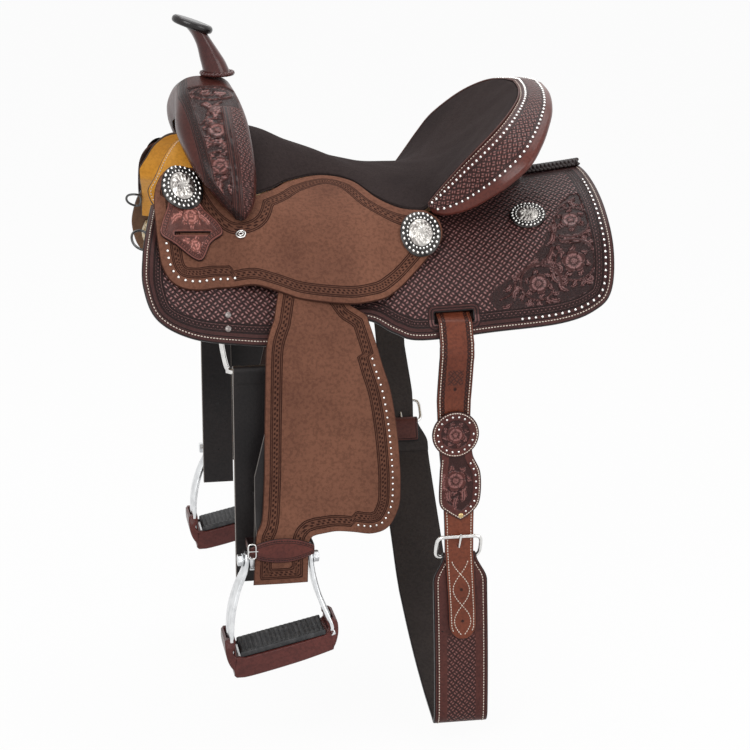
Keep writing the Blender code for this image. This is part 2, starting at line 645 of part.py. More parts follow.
def build_seat():
    last = len(SEAT_ROWS)
    dish = next(i for i, row in enumerate(SEAT_ROWS) if row[0] > 0.068)

    def pad(i, across):
        end = 1.0 if i == last - 1 else 0.0
        return SEAT_PAD - 0.0075 * max(smooth_step(abs(across), 0.75, 1.0), end)

    def ground(extra):
        return lambda i, across: pad(i, across) + 0.0021 + extra

    seat_layer("seat_cover", 0, last, 0.0, pad, 1.0, SUEDE)
    seat_layer("ground_seat", 1, last - 1, ground(0), ground(GROUND_SEAT_THICK),
               5 / 6, WOOD, 11)
    start = GROUND_SEAT_THICK + 3 * GAP
    seat_layer("cantle_board", dish, last - 1, ground(start), ground(start + CANTLE_BOARD_THICK),
               5 / 6, WOOD, 11)


ROLL_INNER = [(0.0460, -0.1350, 0.0305), (0.0535, -0.1345, 0.0385), (0.072, -0.138, 0.056),
              (0.092, -0.144, 0.075), (0.112, -0.149, 0.094), (0.136, -0.143, 0.115),
              (0.154, -0.130, 0.132), (0.169, -0.108, 0.147), (0.180, -0.080, 0.158),
              (0.188, -0.040, 0.1655), (0.191, 0.0, 0.169)]
ROLL_OUTER = [(0.0520, -0.1440, 0.0175), (0.0680, -0.1550, 0.0175), (0.0900, -0.168, 0.025),
              (0.110, -0.181, 0.038), (0.138, -0.199, 0.062), (0.168, -0.201, 0.090),
              (0.190, -0.180, 0.113), (0.207, -0.150, 0.131), (0.221, -0.112, 0.146),
              (0.231, -0.058, 0.158), (0.235, 0.0, 0.163)]


def roll_stations():
    half = [np.array([*a, *b]) for a, b in zip(ROLL_INNER, ROLL_OUTER)]
    near = curve(half, 0.034)
    return near + [p * np.array([1, -1, 1, 1, -1, 1]) for p in near[-2::-1]]


def roll_frame(stations, i):
    """The roll's inner point, width, direction across and upper normal at a station."""
    inner, outer = stations[i][:3], stations[i][3:]
    before, after = stations[max(i - 1, 0)], stations[min(i + 1, len(stations) - 1)]
    along = (after - before)[:3] + (after - before)[3:]
    across = outer - inner
    wide = np.linalg.norm(across)
    across = across / wide
    normal = np.cross(along, across)
    normal /= np.linalg.norm(normal)
    return inner, wide, across, normal if normal[2] > 0 else -normal


def build_roll():
    stations = roll_stations()
    rings = []
    for i in range(len(stations)):
        inner, wide, across, normal = roll_frame(stations, i)
        half = ROLL_THICK / 2
        start = inner + across * 0.0030
        ring = [start, start + across * (wide * 0.40) + normal * 0.0035,
                inner + across * (wide - half)]
        middle = inner + across * (wide - half) - normal * half
        for turn in (54, 18, -18, -54):
            t = math.radians(turn)
            ring.append(middle + (across * math.cos(t) + normal * math.sin(t)) * half)
        ring.append(middle - normal * half)
        ring.append(start - normal * ROLL_THICK * 0.55)
        rings.append(ring)
    loft("cantle_roll", rings, RED_LEATHER)


def build_cantle_back():
    """The leather that closes the cantle behind, from under the roll down to the skirts."""
    foot = [(0.074, 0.114), (0.100, 0.103), (0.130, 0.086), (0.158, 0.066), (0.182, 0.043),
            (0.197, 0.022), (0.203, 0.0)]
    share = [0.62, 0.60, 0.56, 0.50, 0.45, 0.42, 0.40]
    chosen = [1, 3, 4, 5, 7, 9, 10]
    frame = [np.array([*a, *b]) for a, b in zip(ROLL_INNER, ROLL_OUTER)]
    half = []
    for (x, s), part, k in zip(foot, share, chosen):
        inner, wide, across, normal = roll_frame(frame, min(k, len(frame) - 2))
        inner = frame[k][:3]
        top = inner + across * wide * part - normal * (ROLL_THICK + 0.0030)
        half.append(np.array([*top, *on_back(x, s, 0.0016)]))
    half[-1][1] = 0.0
    near = curve(half, 0.034)
    stations = near + [p * np.array([1, -1, 1, 1, -1, 1]) for p in near[-2::-1]]
    rings = []
    for st in stations:
        top, low = st[:3], st[3:]
        inward = np.array([-1.0, -low[1] * 9.0, 0.0])
        inward /= np.linalg.norm(inward)
        bow = (top + low) / 2 + inward * 0.003
        outer = [top, bow, low]
        rings.append(outer + [p + inward * 0.0034 for p in reversed(outer)])
    loft("cantle_back", rings, DARK_LEATHER)


# skirts, fleece, jockeys and what is sewn to them
def set_back(outline, side):
    """The off skirt's front edge stands a little behind the near one's."""
    back = OFF_SKIRT_BACK if side == OFF else 0.0
    return [np.array([x + back * smooth_step(-x, 0.235, 0.320), s]) for x, s in outline]


def build_skirts():
    for word, side in SIDES.items():
        place = on_side(side)
        sheet(f"{word}_skirt", set_back(skirt_outline, side), -SKIRT_THICK, 0.0, place, 0.024,
              DARK_LEATHER, holes=[SLOT])
        top = -SKIRT_THICK - 0.0012
        sheet(f"{word}_fleece", set_back(fleece_outline, side), top - FLEECE_THICK, top, place,
              0.036, WOOL)
        sheet(f"{word}_jockey", jockey_outline, jockey_under, jockey_top, place, 0.019, ROUGHOUT,
              long=1.2)


def build_lacing():
    """The braid that laces the two skirts together along the ridge behind the cantle."""
    rings = []
    for x in np.linspace(0.236, 0.286, 8):
        half, base = 0.0105, barrel_level(x) + BARREL_DROP + GAP
        ring = [(x, half * math.cos(t), base + 0.0055 * math.sin(t))
                for t in np.linspace(0, math.pi, 7)]
        rings.append(ring)
    loft("skirt_lacing", rings, BLACK_LEATHER)


KEEPER_HEAD = (-0.2772, 0.1240)
KEEPER_BODY = [(-0.2985, 0.147), (-0.307, 0.166), (-0.309, 0.180),
               (-0.292, 0.190), (-0.261, 0.207), (-0.245, 0.184), (-0.229, 0.172),
               (-0.234, 0.160), (-0.250, 0.147)]
KEEPER_SLOT = [(-0.291, 0.1765), (-0.245, 0.1715), (-0.245, 0.1745), (-0.291, 0.1795)]


def circle(centre, radius, count, first=0.0, last=2 * math.pi):
    full = abs(last - first) > 6.28
    turns = np.linspace(first, last, count, endpoint=not full)
    return [np.array([centre[0] + radius * math.cos(t), centre[1] + radius * math.sin(t)])
            for t in turns]


KEEPER_THICK = 0.0032


def build_keepers_and_conchos():
    body = curve(KEEPER_BODY, 0.012)
    head = circle(KEEPER_HEAD, 0.0205, 12, math.radians(30), math.radians(-210))
    outline = joined(body, head)
    conchos = {"front": (KEEPER_HEAD, CONCHO_RADIUS, lambda x, s: jockey_top(x, s) + KEEPER_THICK + 0.0024),
               "rear": ((0.0325, 0.1660), CONCHO_RADIUS, lambda x, s: jockey_top(x, s) + 0.0013),
               "skirt": ((0.187, 0.130), SKIRT_CONCHO_RADIUS, lambda x, s: 0.0006)}
    for word, side in SIDES.items():
        place = on_side(side)
        sheet(f"{word}_rope_keeper", outline, lambda x, s: jockey_top(x, s) + 0.0014,
              lambda x, s: jockey_top(x, s) + 0.0014 + KEEPER_THICK, place, 0.013, RED_LEATHER,
              holes=[KEEPER_SLOT])
        for where, (centre, radius, under) in conchos.items():
            def over(x, s, centre=centre, radius=radius, under=under):
                share = math.hypot(x - centre[0], s - centre[1]) / radius
                dome = 0.0040 * math.sqrt(max(1 - share * share, 0.0))
                return under(x, s) + 0.0022 + dome
            sheet(f"{word}_{where}_concho", circle(centre, radius, 18), under, over, place,
                  0.010, SILVER, long=1.0)


# fenders, stirrup leathers and stirrups
def swing_pivot(side):
    return on_back(SWING_X, SWING_S, STACK_TOP, side)


def hinge_pivot(side):
    return on_back(SWING_X, hinge_s(SWING_X), STACK_TOP, side)


LOOP_TOP = BOLT_HEIGHT + 0.113


def loop_path():
    """(out, z) of the stirrup leather: down behind the fender, round the roller and up again."""
    radius = ROLLER_RADIUS + GAP + LEATHER_THICK / 2
    behind = BARREL_HALF_WIDTH + STACK_LIFT - 0.0007 + LEATHER_THICK / 2
    front = [(behind, BOLT_HEIGHT + 0.078), (behind + 0.0025, BOLT_HEIGHT + 0.061),
             (BOLT_OUT + radius - 0.0050, BOLT_HEIGHT + 0.031)]
    path = curve([(behind, LOOP_TOP), *front], 0.02)
    for turn in range(0, 181, 22):
        t = math.radians(turn)
        path.append(np.array([BOLT_OUT + radius * math.cos(t), BOLT_HEIGHT - radius * math.sin(t)]))
    inner = behind - LEATHER_THICK - 0.0006
    back = [(BOLT_OUT - radius + 0.0015, BOLT_HEIGHT + 0.021),
            (BOLT_OUT - radius + 0.0075, BOLT_HEIGHT + 0.045),
            (inner, BOLT_HEIGHT + 0.073), (inner, BOLT_HEIGHT + 0.091)]
    return path + curve(back, 0.02)


def build_stirrup_leather(word, side, origin):
    """The upper run lies on the barrel's curve, so it is made as rings along x and s."""
    rings = []
    for i, s in enumerate(np.linspace(0.0, 1.0, 8)):
        x0, x1 = -0.160 - 0.0505 * s, -0.090 - 0.0455 * s
        ring = []
        for x in (x0, (x0 + x1) / 2, x1):
            first = hinge_s(x)
            here = first + (low_s(x, LOOP_TOP) - first) * s
            ring.append(on_back(x, here, STACK_LIFT - 0.0007 + LEATHER_THICK, side))
        for x in (x1, (x0 + x1) / 2, x0):
            first = hinge_s(x)
            here = first + (low_s(x, LOOP_TOP) - first) * s
            ring.append(on_back(x, here, STACK_LIFT - 0.0007, side))
        rings.append(ring)
    path = loop_path()[1:]
    for i, p in enumerate(path):
        ahead = path[min(i + 1, len(path) - 1)] - path[max(i - 1, 0)]
        normal = np.array([-ahead[1], ahead[0]]) / np.linalg.norm(ahead) * LEATHER_THICK / 2
        a, b = p + normal, p - normal
        x0, x1 = -0.2105, -0.1355
        ring = [(x, side * a[0], a[1]) for x in (x0, (x0 + x1) / 2, x1)]
        ring += [(x, side * b[0], b[1]) for x in (x1, (x0 + x1) / 2, x0)]
        rings.append(ring)
    loft(f"{word}_stirrup_leather", rings, BLACK_LEATHER, origin)


def build_hobble_strap(word, side, origin):
    """A belt round both layers just above the stirrup, with a leaf-shaped face in front."""
    loop = loop_path()
    inner_out = min(p[0] for p in loop) - LEATHER_THICK / 2 - 0.0006
    outer_out = BARREL_HALF_WIDTH + FENDER_LIFT + LEATHER_THICK + NECK_OUT + 0.0006
    left, right = -0.2115, -0.1302
    corners = [(left, inner_out), (left, outer_out), (right, outer_out), (right, inner_out)]
    path, heights, wide = [], [], []
    for a, b, count in ((0, 1, 3), (1, 2, 9), (2, 3, 3), (3, 0, 4)):
        for t in np.linspace(0, 1, count, endpoint=False):
            p = np.array(corners[a]) * (1 - t) + np.array(corners[b]) * t
            face = math.sin(math.pi * t) if a == 1 else 0.0
            path.append(p)
            heights.append(0.0055 + 0.0095 * face ** 0.7)
            wide.append(0.0022)
    centre = np.array([(left + right) / 2, (inner_out + outer_out) / 2])
    rings = []
    for p, high, thick in zip(path, heights, wide):
        way = np.sign(p - centre) * (np.abs(np.abs(p - centre) - np.array([(right - left) / 2,
                                     (outer_out - inner_out) / 2])) < 1e-6)
        if not way.any():
            way = p - centre
        outer = p + way * thick
        middle = BOLT_HEIGHT + 0.0185
        rings.append([(p[0], side * p[1], middle + high), (outer[0], side * outer[1], middle + high),
                      (outer[0], side * outer[1], middle - high), (p[0], side * p[1], middle - high)])
    loft(f"{word}_hobble_strap", rings, RED_LEATHER, origin, closed=True)


def build_fender(word, side):
    place = on_side(side)
    pivot, hinge = swing_pivot(side), hinge_pivot(side)
    sheet(f"{word}_leather_top", upper_outline, upper_under, upper_over, place, 0.020,
          BLACK_LEATHER, origin=pivot)
    sheet(f"{word}_fender", fender_outline, lambda x, s: FENDER_LIFT + neck_bulge(x, s),
          lambda x, s: STACK_TOP + neck_bulge(x, s), place, 0.026, ROUGHOUT, origin=hinge,
          long=1.2)
    build_stirrup_leather(word, side, hinge)
    build_hobble_strap(word, side, hinge)


# Heights in the stirrup are measured from its bolt.
STIRRUP_LINE = [(STIRRUP_LEFT, 0.0095), (STIRRUP_LEFT, 0.0), (-0.2185, -0.015),
                (-0.2285, -0.039), (-0.2365, -0.071), (-0.2390, -0.107), (-0.2370, -0.1265)]
STIRRUP_RISE = math.radians(12.5)


def tread_line(x):
    """Height of the tread's base plate, which slants up to the rear."""
    return -0.1300 + (x + 0.2310) * math.tan(STIRRUP_RISE)


def stirrup_path():
    right = [(-0.1060, tread_line(-0.1060) + 0.0065), (-0.1065, -0.088), (-0.1120, -0.075),
             (-0.1215, -0.051), (-0.1285, -0.022), (STIRRUP_RIGHT, 0.0), (STIRRUP_RIGHT, 0.0095)]
    base = [(-0.2290, tread_line(-0.2290)), (-0.1130, tread_line(-0.1130))]
    return STIRRUP_LINE, base, right


def build_stirrup(word, side):
    pivot = (-0.17, side * BOLT_OUT, BOLT_HEIGHT)
    left, base, right = stirrup_path()
    path = curve(left, 0.02) + curve(base, 0.03) + curve(right, 0.02)
    depth = []
    for x, z in path:
        share = smooth_step(0.008 - z, 0.0, 0.110)
        tip = smooth_step(-z, -0.0115, -0.002)
        depth.append((0.014 + 0.010 * tip) + 0.030 * share)
    middle = side * BOLT_OUT

    def place(across, x, z):
        return np.array([x, middle + across, BOLT_HEIGHT + z])

    frame = strip(f"{word}_stirrup_frame", path, STIRRUP_BAR_THICK, [-d / 2 for d in depth],
                  [d / 2 for d in depth], ALUMINIUM, pivot, place)
    hole = round_bar("bolt_hole", [(-0.25, BOLT_RADIUS + GAP), (-0.10, BOLT_RADIUS + GAP)],
                     (middle, BOLT_HEIGHT), 12, ALUMINIUM)
    combine(frame, hole, "DIFFERENCE")
    half = STIRRUP_BAR_THICK / 2 + 0.0010
    a, b = STIRRUP_LEFT, STIRRUP_RIGHT
    ends = half + 0.0010
    profile = [(a - ends - 0.006, 0.0078), (a - ends, 0.0078), (a - ends, BOLT_RADIUS),
               (a + half, BOLT_RADIUS), (a + half, ROLLER_RADIUS), (b - half, ROLLER_RADIUS),
               (b - half, BOLT_RADIUS), (b + ends, BOLT_RADIUS), (b + ends, 0.0078),
               (b + ends + 0.007, 0.0078)]
    round_bar(f"{word}_stirrup_bolt", profile, (middle, BOLT_HEIGHT), 12, ALUMINIUM, pivot)
    build_tread(word, middle, pivot)


def build_tread(word, middle, pivot):
    """The leather wrapped round the base plate and up both corners, and the ribbed pad on it."""
    half = STIRRUP_BAR_THICK / 2 + GAP
    outer = [(-0.2478, -0.1000), (-0.2478, -0.1200), (-0.2440, -0.1390), (-0.2350, -0.1510),
             (-0.2210, -0.1530), (-0.1160, tread_line(-0.1160) - 0.0145), (-0.1030, -0.1140),
             (-0.0970, -0.1020), (-0.0975, -0.0880), (-0.1008, -0.0800)]
    inner = [(-0.2438, -0.1000), (-0.2436, -0.1180), (-0.2412, -0.1310), (-0.2330, -0.1362),
             (-0.2200, -0.1313), (-0.1160, tread_line(-0.1160) - half - 0.0001), (-0.1085, -0.1082),
             (-0.1013, -0.0995), (-0.1020, -0.0880), (-0.1048, -0.0810)]
    rings = []
    for (x0, z0), (x1, z1) in zip(curve(outer, 1.0), curve(inner, 1.0)):
        wide = TREAD_DEPTH / 2 * (0.80 + 0.20 * smooth_step(-0.097 - z1, 0.0, 0.02))
        z0, z1 = z0 + BOLT_HEIGHT, z1 + BOLT_HEIGHT
        rings.append([(x0, middle - wide, z0), (x0, middle + wide, z0), (x1, middle + wide, z1),
                      (x1, middle - wide, z1)])
    loft(f"{word}_tread_leather", rings, RED_LEATHER, pivot)
    first, last = PAD_REACH
    pitch = (last - first) / (TREAD_RIBS - 0.35)
    stations = []
    for i in range(TREAD_RIBS):
        start = first + pitch * i
        stations += [(start, PAD_THICK), (start + pitch * 0.65, PAD_THICK)]
        if i < TREAD_RIBS - 1:
            stations += [(start + pitch * 0.70, PAD_THICK - 0.0022),
                         (start + pitch * 0.95, PAD_THICK - 0.0022)]
    rings = []
    for x, high in stations:
        low = BOLT_HEIGHT + tread_line(x) + half + 0.0004
        deep = TREAD_DEPTH / 2 - 0.003
        rings.append([(x, middle - deep, low), (x, middle + deep, low),
                      (x, middle + deep * 0.95, low + high), (x, middle - deep * 0.95, low + high)])
    loft(f"{word}_tread_pad", rings, RUBBER, pivot)


# rigging in front
PLATE_EDGE = (0.2938, 0.2962)


def dee_bar(side):
    """The middle of the dee's lower bar, which hangs under the plate's lower edge."""
    edge = on_back(-0.2, PLATE_EDGE[0], -SKIRT_THICK - 0.0021, side)
    return edge + np.array([-0.0025, -side * DEE_INSET, -DEE_DROP])


def build_rigging(word, side):
    """A flat plate riveted between skirt and fleece, with a wire dee hanging from it."""
    plate_outline = [(-0.246, 0.262), (-0.154, 0.262), (-0.158, PLATE_EDGE[0]), (-0.242, PLATE_EDGE[1])]
    plate = sheet(f"{word}_rigging_dee", [np.array(p) for p in plate_outline],
                  -SKIRT_THICK - 0.0034, -SKIRT_THICK - 0.0008, on_side(side), 0.05, NICKEL)
    pivot = dee_bar(side)
    corner = [(-0.0370, DEE_DROP + 0.0009), (-0.0350, 0.0325), (-0.0310, 0.0115), (-0.0280, 0.0035),
              (-0.0240, 0.0), (0.0235, 0.0), (0.0270, 0.0035), (0.0300, 0.0115), (0.0340, 0.0325),
              (0.0360, DEE_DROP - 0.0051)]
    path = [pivot + np.array([x, 0.0, z]) for x, z in corner]
    ring = wire("dee_ring", path, DEE_WIRE, 8, NICKEL, closed=True)
    combine(plate, ring, "UNION")
    radius = DEE_WIRE + GAP + LEATHER_THICK / 2
    ply = LEATHER_THICK / 2 + 0.0003
    half = [(ply, -LATIGO_LENGTH), (ply, -0.1525), (ply, -0.0325), (ply + 0.0012, -0.0145)]
    path = list(half)
    for turn in range(-18, 199, 24):
        t = math.radians(turn)
        path.append((radius * math.cos(t), radius * math.sin(t)))
    path += [(-a, z) for a, z in reversed(half)]
    path = [(pivot[1] + side * a, pivot[2] + z) for a, z in path]
    strip(f"{word}_latigo", path, LEATHER_THICK, pivot[0] - LATIGO_WIDTH / 2,
          pivot[0] + LATIGO_WIDTH / 2, BLACK_LEATHER, pivot)


def build_breast_dee(word, side):
    """A small wire dee whose straight bar lies under the skirt's front edge."""
    lift = -SKIRT_THICK - LINER_THICK - BREAST_WIRE - 0.0026
    outline = [(-0.3255, 0.1830), (-0.3255, 0.1590), (-0.3330, 0.1545), (-0.3420, 0.1600),
               (-0.3450, 0.1710), (-0.3420, 0.1820), (-0.3330, 0.1875)]
    back = OFF_DEE_BACK if side == OFF else 0.0
    path = [on_back(x + back, s, lift, side) for x, s in outline]
    wire(f"{word}_breast_dee", path, BREAST_WIRE, 6, BLACK_LEATHER,
         on_back(-0.3255 + back, 0.171, lift, side), closed=True)


# rear billets, buckles and cinch
SLOT_FOOT = on_back(BILLET_X, 0.2990, STRAP_THICK, OFF)
PIVOT_OUT = SLOT_FOOT[1] + PIVOT_STAND
PIVOT_HEIGHT = SLOT_FOOT[2] - PIVOT_DROP


def lean_of(side):
    return 0.0 if side == NEAR else OFF_LEAN


def along_strap(side, down, out):
    """(y, z) at a length down the rear strap from its pivot, and a distance outwards."""
    start, turn = 0.034, lean_of(side)
    base = np.array([PIVOT_OUT + 0.0024 + STRAP_THICK / 2, PIVOT_HEIGHT])
    if down <= start or turn == 0:
        p = base + np.array([out, -down])
        return np.array([side * p[0], p[1]])
    bend = 0.040
    share = min((down - start) / bend, 1.0)
    radius = bend / turn
    angle = turn * share
    p = base + np.array([-radius * (1 - math.cos(angle)), -start - radius * math.sin(angle)])
    p += np.array([math.cos(angle), -math.sin(angle)]) * out
    rest = max(down - start - bend, 0.0)
    p += np.array([-math.sin(turn), -math.cos(turn)]) * rest
    return np.array([side * p[0], p[1]])


def bar_down(side):
    return NEAR_BAR_DOWN if side == NEAR else OFF_BAR_DOWN


def strap_x(down):
    """The strap drifts a little to the rear on its way down."""
    points = [(-0.03, BILLET_X), (0.05, 0.0625), (0.10, 0.0630), (0.17, 0.0700),
              (0.26, 0.0715), (0.34, 0.0765), (0.40, 0.0785)]
    return float(np.interp(down, [p[0] for p in points], [p[1] for p in points]))


BAR_OUT = -STRAP_THICK / 2 - GAP - 0.0035 - GAP - BUCKLE_WIRE
TOP_BAR_OUT = STRAP_THICK / 2 + GAP + BUCKLE_WIRE


def build_billet_top(word, side):
    """The fixed strap: from inside the skirt, out through its slot and down past its edge."""
    lifts = [(0.238, -0.0090, 0.0030), (0.2600, -0.0088, 0.0030), (0.2690, -0.0065, 0.0028),
             (0.2735, -0.0025, 0.0028), (0.2780, 0.0015, 0.0028), (0.2840, 0.0037, 0.0036),
             (0.2990, STRAP_THICK, STRAP_THICK)]
    path, thick = [], []
    for s, lift, deep in lifts:
        p = on_back(BILLET_X, s, lift, side)
        path.append((p[1], p[2]))
        thick.append(deep)
    plane = side * PIVOT_OUT
    path += [(side * (PIVOT_OUT - 0.0020), PIVOT_HEIGHT + 0.0230), (plane, PIVOT_HEIGHT + 0.0130)]
    half = BILLET_WIDTH / 2 - 0.0003
    wide = [half] * len(path)
    for turn in (0, 30, 55, 75, 88):
        t = math.radians(turn)
        path.append((plane, PIVOT_HEIGHT - half * math.sin(t)))
        wide.append(half * math.cos(t))
    thick += [STRAP_THICK] * (len(path) - len(thick))
    strip(f"{word}_billet_top", path, thick, [BILLET_X - w for w in wide],
          [BILLET_X + w for w in wide], CHESTNUT)


def strap_hole_cut(piece, side, down, x, high, wide):
    a = along_strap(side, down - high / 2, 0.0)
    b = along_strap(side, down + high / 2, 0.0)
    way = (b - a) / np.linalg.norm(b - a)
    out = np.array([way[1], -way[0]])
    rings = []
    for reach in (-0.009, 0.009):
        ring = []
        for u, v in ((-wide, -1), (wide, -1), (wide, 1), (-wide, 1)):
            p = (a + b) / 2 + way * high / 2 * v + out * reach
            ring.append((x + u / 2, p[0], p[1]))
        rings.append(ring)
    cutter = loft("strap_hole", rings, CHESTNUT)
    return combine(piece, cutter, "DIFFERENCE")


def tongue_ends(side):
    bar = bar_down(side)
    return (bar, BAR_OUT), (bar - BUCKLE_HEIGHT + 0.0005, TOP_BAR_OUT + BUCKLE_WIRE + GAP + 0.0048)


def build_billet(word, side, pivot):
    bar = bar_down(side)
    half_top = BILLET_WIDTH / 2
    tip = bar + 0.1150
    downs, wide = [], []
    for turn in (88, 70, 50, 30, 0):
        t = math.radians(turn)
        downs.append(-half_top * math.sin(t))
        wide.append(half_top * math.cos(t))
    for down in np.arange(0.03, bar - 0.02, 0.022):
        downs.append(down)
        wide.append(half_top - 0.0015 * smooth_step(down, 0.03, 0.1) - 0.002 * smooth_step(down, 0.15, 0.24))
    for down, w in ((bar, 0.0192), (bar + 0.05, 0.0190), (tip - 0.014, 0.0188), (tip - 0.004, 0.010),
                    (tip, 0.003)):
        downs.append(down)
        wide.append(w)
    path = [along_strap(side, d, 0.0) for d in downs]
    middle = [strap_x(d) if d > -half_top else BILLET_X for d in downs]
    piece = strip(f"{word}_billet", path, STRAP_THICK, [m - w for m, w in zip(middle, wide)],
                  [m + w for m, w in zip(middle, wide)], CHESTNUT, pivot)
    (low, low_out), (high, high_out) = tongue_ends(side)
    share = (0.0 - low_out) / (high_out - low_out)
    strap_hole_cut(piece, side, low + (high - low) * share + 0.0018, BUCKLE_X + 0.0005, 0.0196, 0.0055)
    return piece


def build_billet_safe(side, pivot):
    """The shaped overlay on the near billet: a round head and a pointed panel under it."""
    head, radius = (0.0640, -0.1755), 0.0315
    outline = joined(circle(head, radius, 15, math.radians(120), math.radians(420)),
                     curve([(0.0885, -0.1440), (0.0985, -0.1205), (0.0985, -0.0855),
                            (0.0900, -0.0685), (0.0725, -0.0555), (0.0540, -0.0675),
                            (0.0435, -0.0805), (0.0435, -0.1205), (0.0450, -0.1415)], 0.014))

    def place(x, above, lift):
        y, z = along_strap(side, NEAR_BAR_DOWN + above, lift)
        return np.array([x, y, z])

    base = STRAP_THICK / 2 + GAP
    sheet("near_billet_safe", outline, base, base + 0.0036, place, 0.022, RED_LEATHER,
          origin=pivot, long=1.0)


def build_buckle(word, side, pivot):
    bar = bar_down(side)
    top = bar - BUCKLE_HEIGHT + 2 * BUCKLE_WIRE
    half = BUCKLE_WIDTH / 2

    def spot(x, down, out):
        y, z = along_strap(side, down, out)
        return np.array([BUCKLE_X + x, y, z])

    lows = [(-half + 0.004, bar, BAR_OUT), (half - 0.004, bar, BAR_OUT)]
    highs = [(half - 0.004, top, TOP_BAR_OUT), (-half + 0.004, top, TOP_BAR_OUT)]
    sides = [[(half, bar - 0.005, BAR_OUT + 0.002), (half, top + 0.005, TOP_BAR_OUT - 0.002)],
             [(-half, top + 0.005, TOP_BAR_OUT - 0.002), (-half, bar - 0.005, BAR_OUT + 0.002)]]
    path = [spot(*p) for p in (*lows, *sides[0], *highs, *sides[1])]
    wire(f"{word}_cinch_buckle", path, BUCKLE_WIRE, 8, NICKEL, pivot, closed=True)
    (low, low_out), (high, high_out) = tongue_ends(side)
    (yb, zb), (yt, zt) = along_strap(side, low, low_out), along_strap(side, high, high_out)
    way = np.array([yt - yb, zt - zb])
    length = np.linalg.norm(way)
    way /= length
    across = np.array([-way[1], way[0]])
    eye = BUCKLE_WIRE + GAP
    centre = np.array([yb, zb])
    rings = []
    outer = [(-eye - 0.0017, -0.0008), (-0.0026, -eye - 0.0017), (0.0026, -eye - 0.0017),
             (eye + 0.0017, -0.0008), (eye + 0.0012, eye + 0.001), (0.0019, eye + 0.0045),
             (0.0019, length), (-0.0019, length), (-0.0019, eye + 0.0045), (-eye - 0.0012, eye + 0.001)]
    inner = circle((0.0, 0.0), eye, 8, 0.0, 2 * math.pi)
    lows, highs = BUCKLE_X - 0.0014, BUCKLE_X + 0.0024
    for x in (lows, highs):
        rings.append([(x, *(centre + across * a + way * b)) for a, b in outer])
    tongue = loft(f"{word}_cinch_tongue", rings, NICKEL, (BUCKLE_X, yb, zb))
    rings = [[(x, *(centre + across * a + way * b)) for a, b in inner] for x in (lows - 0.01, highs + 0.01)]
    combine(tongue, loft("tongue_eye", rings, NICKEL), "DIFFERENCE")


def fold_path(side):
    """(y, z) and thickness from the cinch's back ply, over the buckle's bar to its front ply."""
    bar = bar_down(side)
    radius = BUCKLE_WIRE + GAP + 0.0035 / 2
    found = []
    for down, out in ((bar + 0.030, BAR_OUT - radius + 0.0014), (bar + 0.012, BAR_OUT - radius)):
        found.append((along_strap(side, down, out), 0.0035))
    for angle in range(180, -1, -30):
        t = math.radians(angle)
        p = along_strap(side, bar - radius * math.sin(t), BAR_OUT + radius * math.cos(t))
        found.append((p, 0.0035))
    found.append((along_strap(side, bar + 0.012, BAR_OUT + radius - 0.0001), 0.0035))
    found.append((along_strap(side, bar + 0.040, BAR_OUT + radius - 0.0006), 0.0045))
    found.append((along_strap(side, bar + 0.060, BAR_OUT + radius - 0.0018), CINCH_THICK))
    return found


def build_cinch(pivot):
    """One long strap: from the near buckle down, folded under, and up to the off buckle."""
    near, far = fold_path(NEAR), fold_path(OFF)
    low = near[-1][0]
    bottom = [(low[0], -0.560), (low[0], -0.640), (low[0] + 0.0010, -0.6640),
              (low[0] + 0.0080, -0.6730), (low[0] + 0.0200, -0.6700), (-0.164, -0.6560),
              (-0.110, -0.6340), (-0.061, -0.6070), (-0.019, -0.5780), (0.022, -0.5470),
              (0.062, -0.5060)]
    line = [p for p, _ in near]
    thick = [t for _, t in near]
    middle = curve([line[-1], *bottom, far[-1][0]], 0.045)[1:-1]
    line += middle
    thick += [CINCH_THICK] * len(middle)
    line += [p for p, _ in reversed(far)]
    thick += [t for _, t in reversed(far)]
    count = len(line)
    reach = [0.0]
    for a, b in zip(line, line[1:]):
        reach.append(reach[-1] + float(np.linalg.norm(b - a)))
    low_x, high_x = [], []
    for i in range(count):
        end = min(reach[i], reach[-1] - reach[i])
        wide = 0.0225 + (CINCH_WIDTH / 2 - 0.0225) * smooth_step(end, 0.040, 0.078)
        share = reach[i] / reach[-1]
        middle_x = 0.0720 + 0.0060 * math.sin(math.pi * min(share * 1.6, 1.0))
        low_x.append(middle_x - wide)
        high_x.append(middle_x + wide)
    piece = strip("cinch", line, thick, low_x, high_x, RED_LEATHER, pivot)
    for side in (NEAR, OFF):
        rings = []
        bar = bar_down(side)
        for x in (BUCKLE_X - 0.0014 - 0.0010, BUCKLE_X + 0.0024 + 0.0010):
            rings.append([(x, *along_strap(side, bar + v, BAR_OUT + u)) for u, v in
                          ((-0.0062, -0.012), (0.0080, -0.012), (0.0080, 0.0085), (-0.0062, 0.0085))])
        combine(piece, loft("tongue_notch", rings, NICKEL), "DIFFERENCE")


def build_rear():
    pivot = (BILLET_X, 0.0, PIVOT_HEIGHT)
    for word, side in SIDES.items():
        build_billet_top(word, side)
        build_billet(word, side, pivot)
        build_buckle(word, side, pivot)
    build_billet_safe(NEAR, pivot)
    build_cinch(pivot)


build_bars()
build_fork()
build_gullet_liner()
build_horn()
build_seat()
build_roll()
build_cantle_back()
build_skirts()
build_lacing()
build_keepers_and_conchos()
for word, side in SIDES.items():
    build_fender(word, side)
    build_stirrup(word, side)
    build_rigging(word, side)
    build_breast_dee(word, side)
build_rear()
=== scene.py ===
"""Looks of a barrel racing saddle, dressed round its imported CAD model.

Metres. The horn points to -X, the near side is -Y, up is +Z. A place on the leathers is (x, s): x along
the back and s down round the barrel from the ridge, with a lift above the skirts' outer face.
"""
import math

import bmesh
import bpy
import numpy as np
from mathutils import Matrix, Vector, geometry


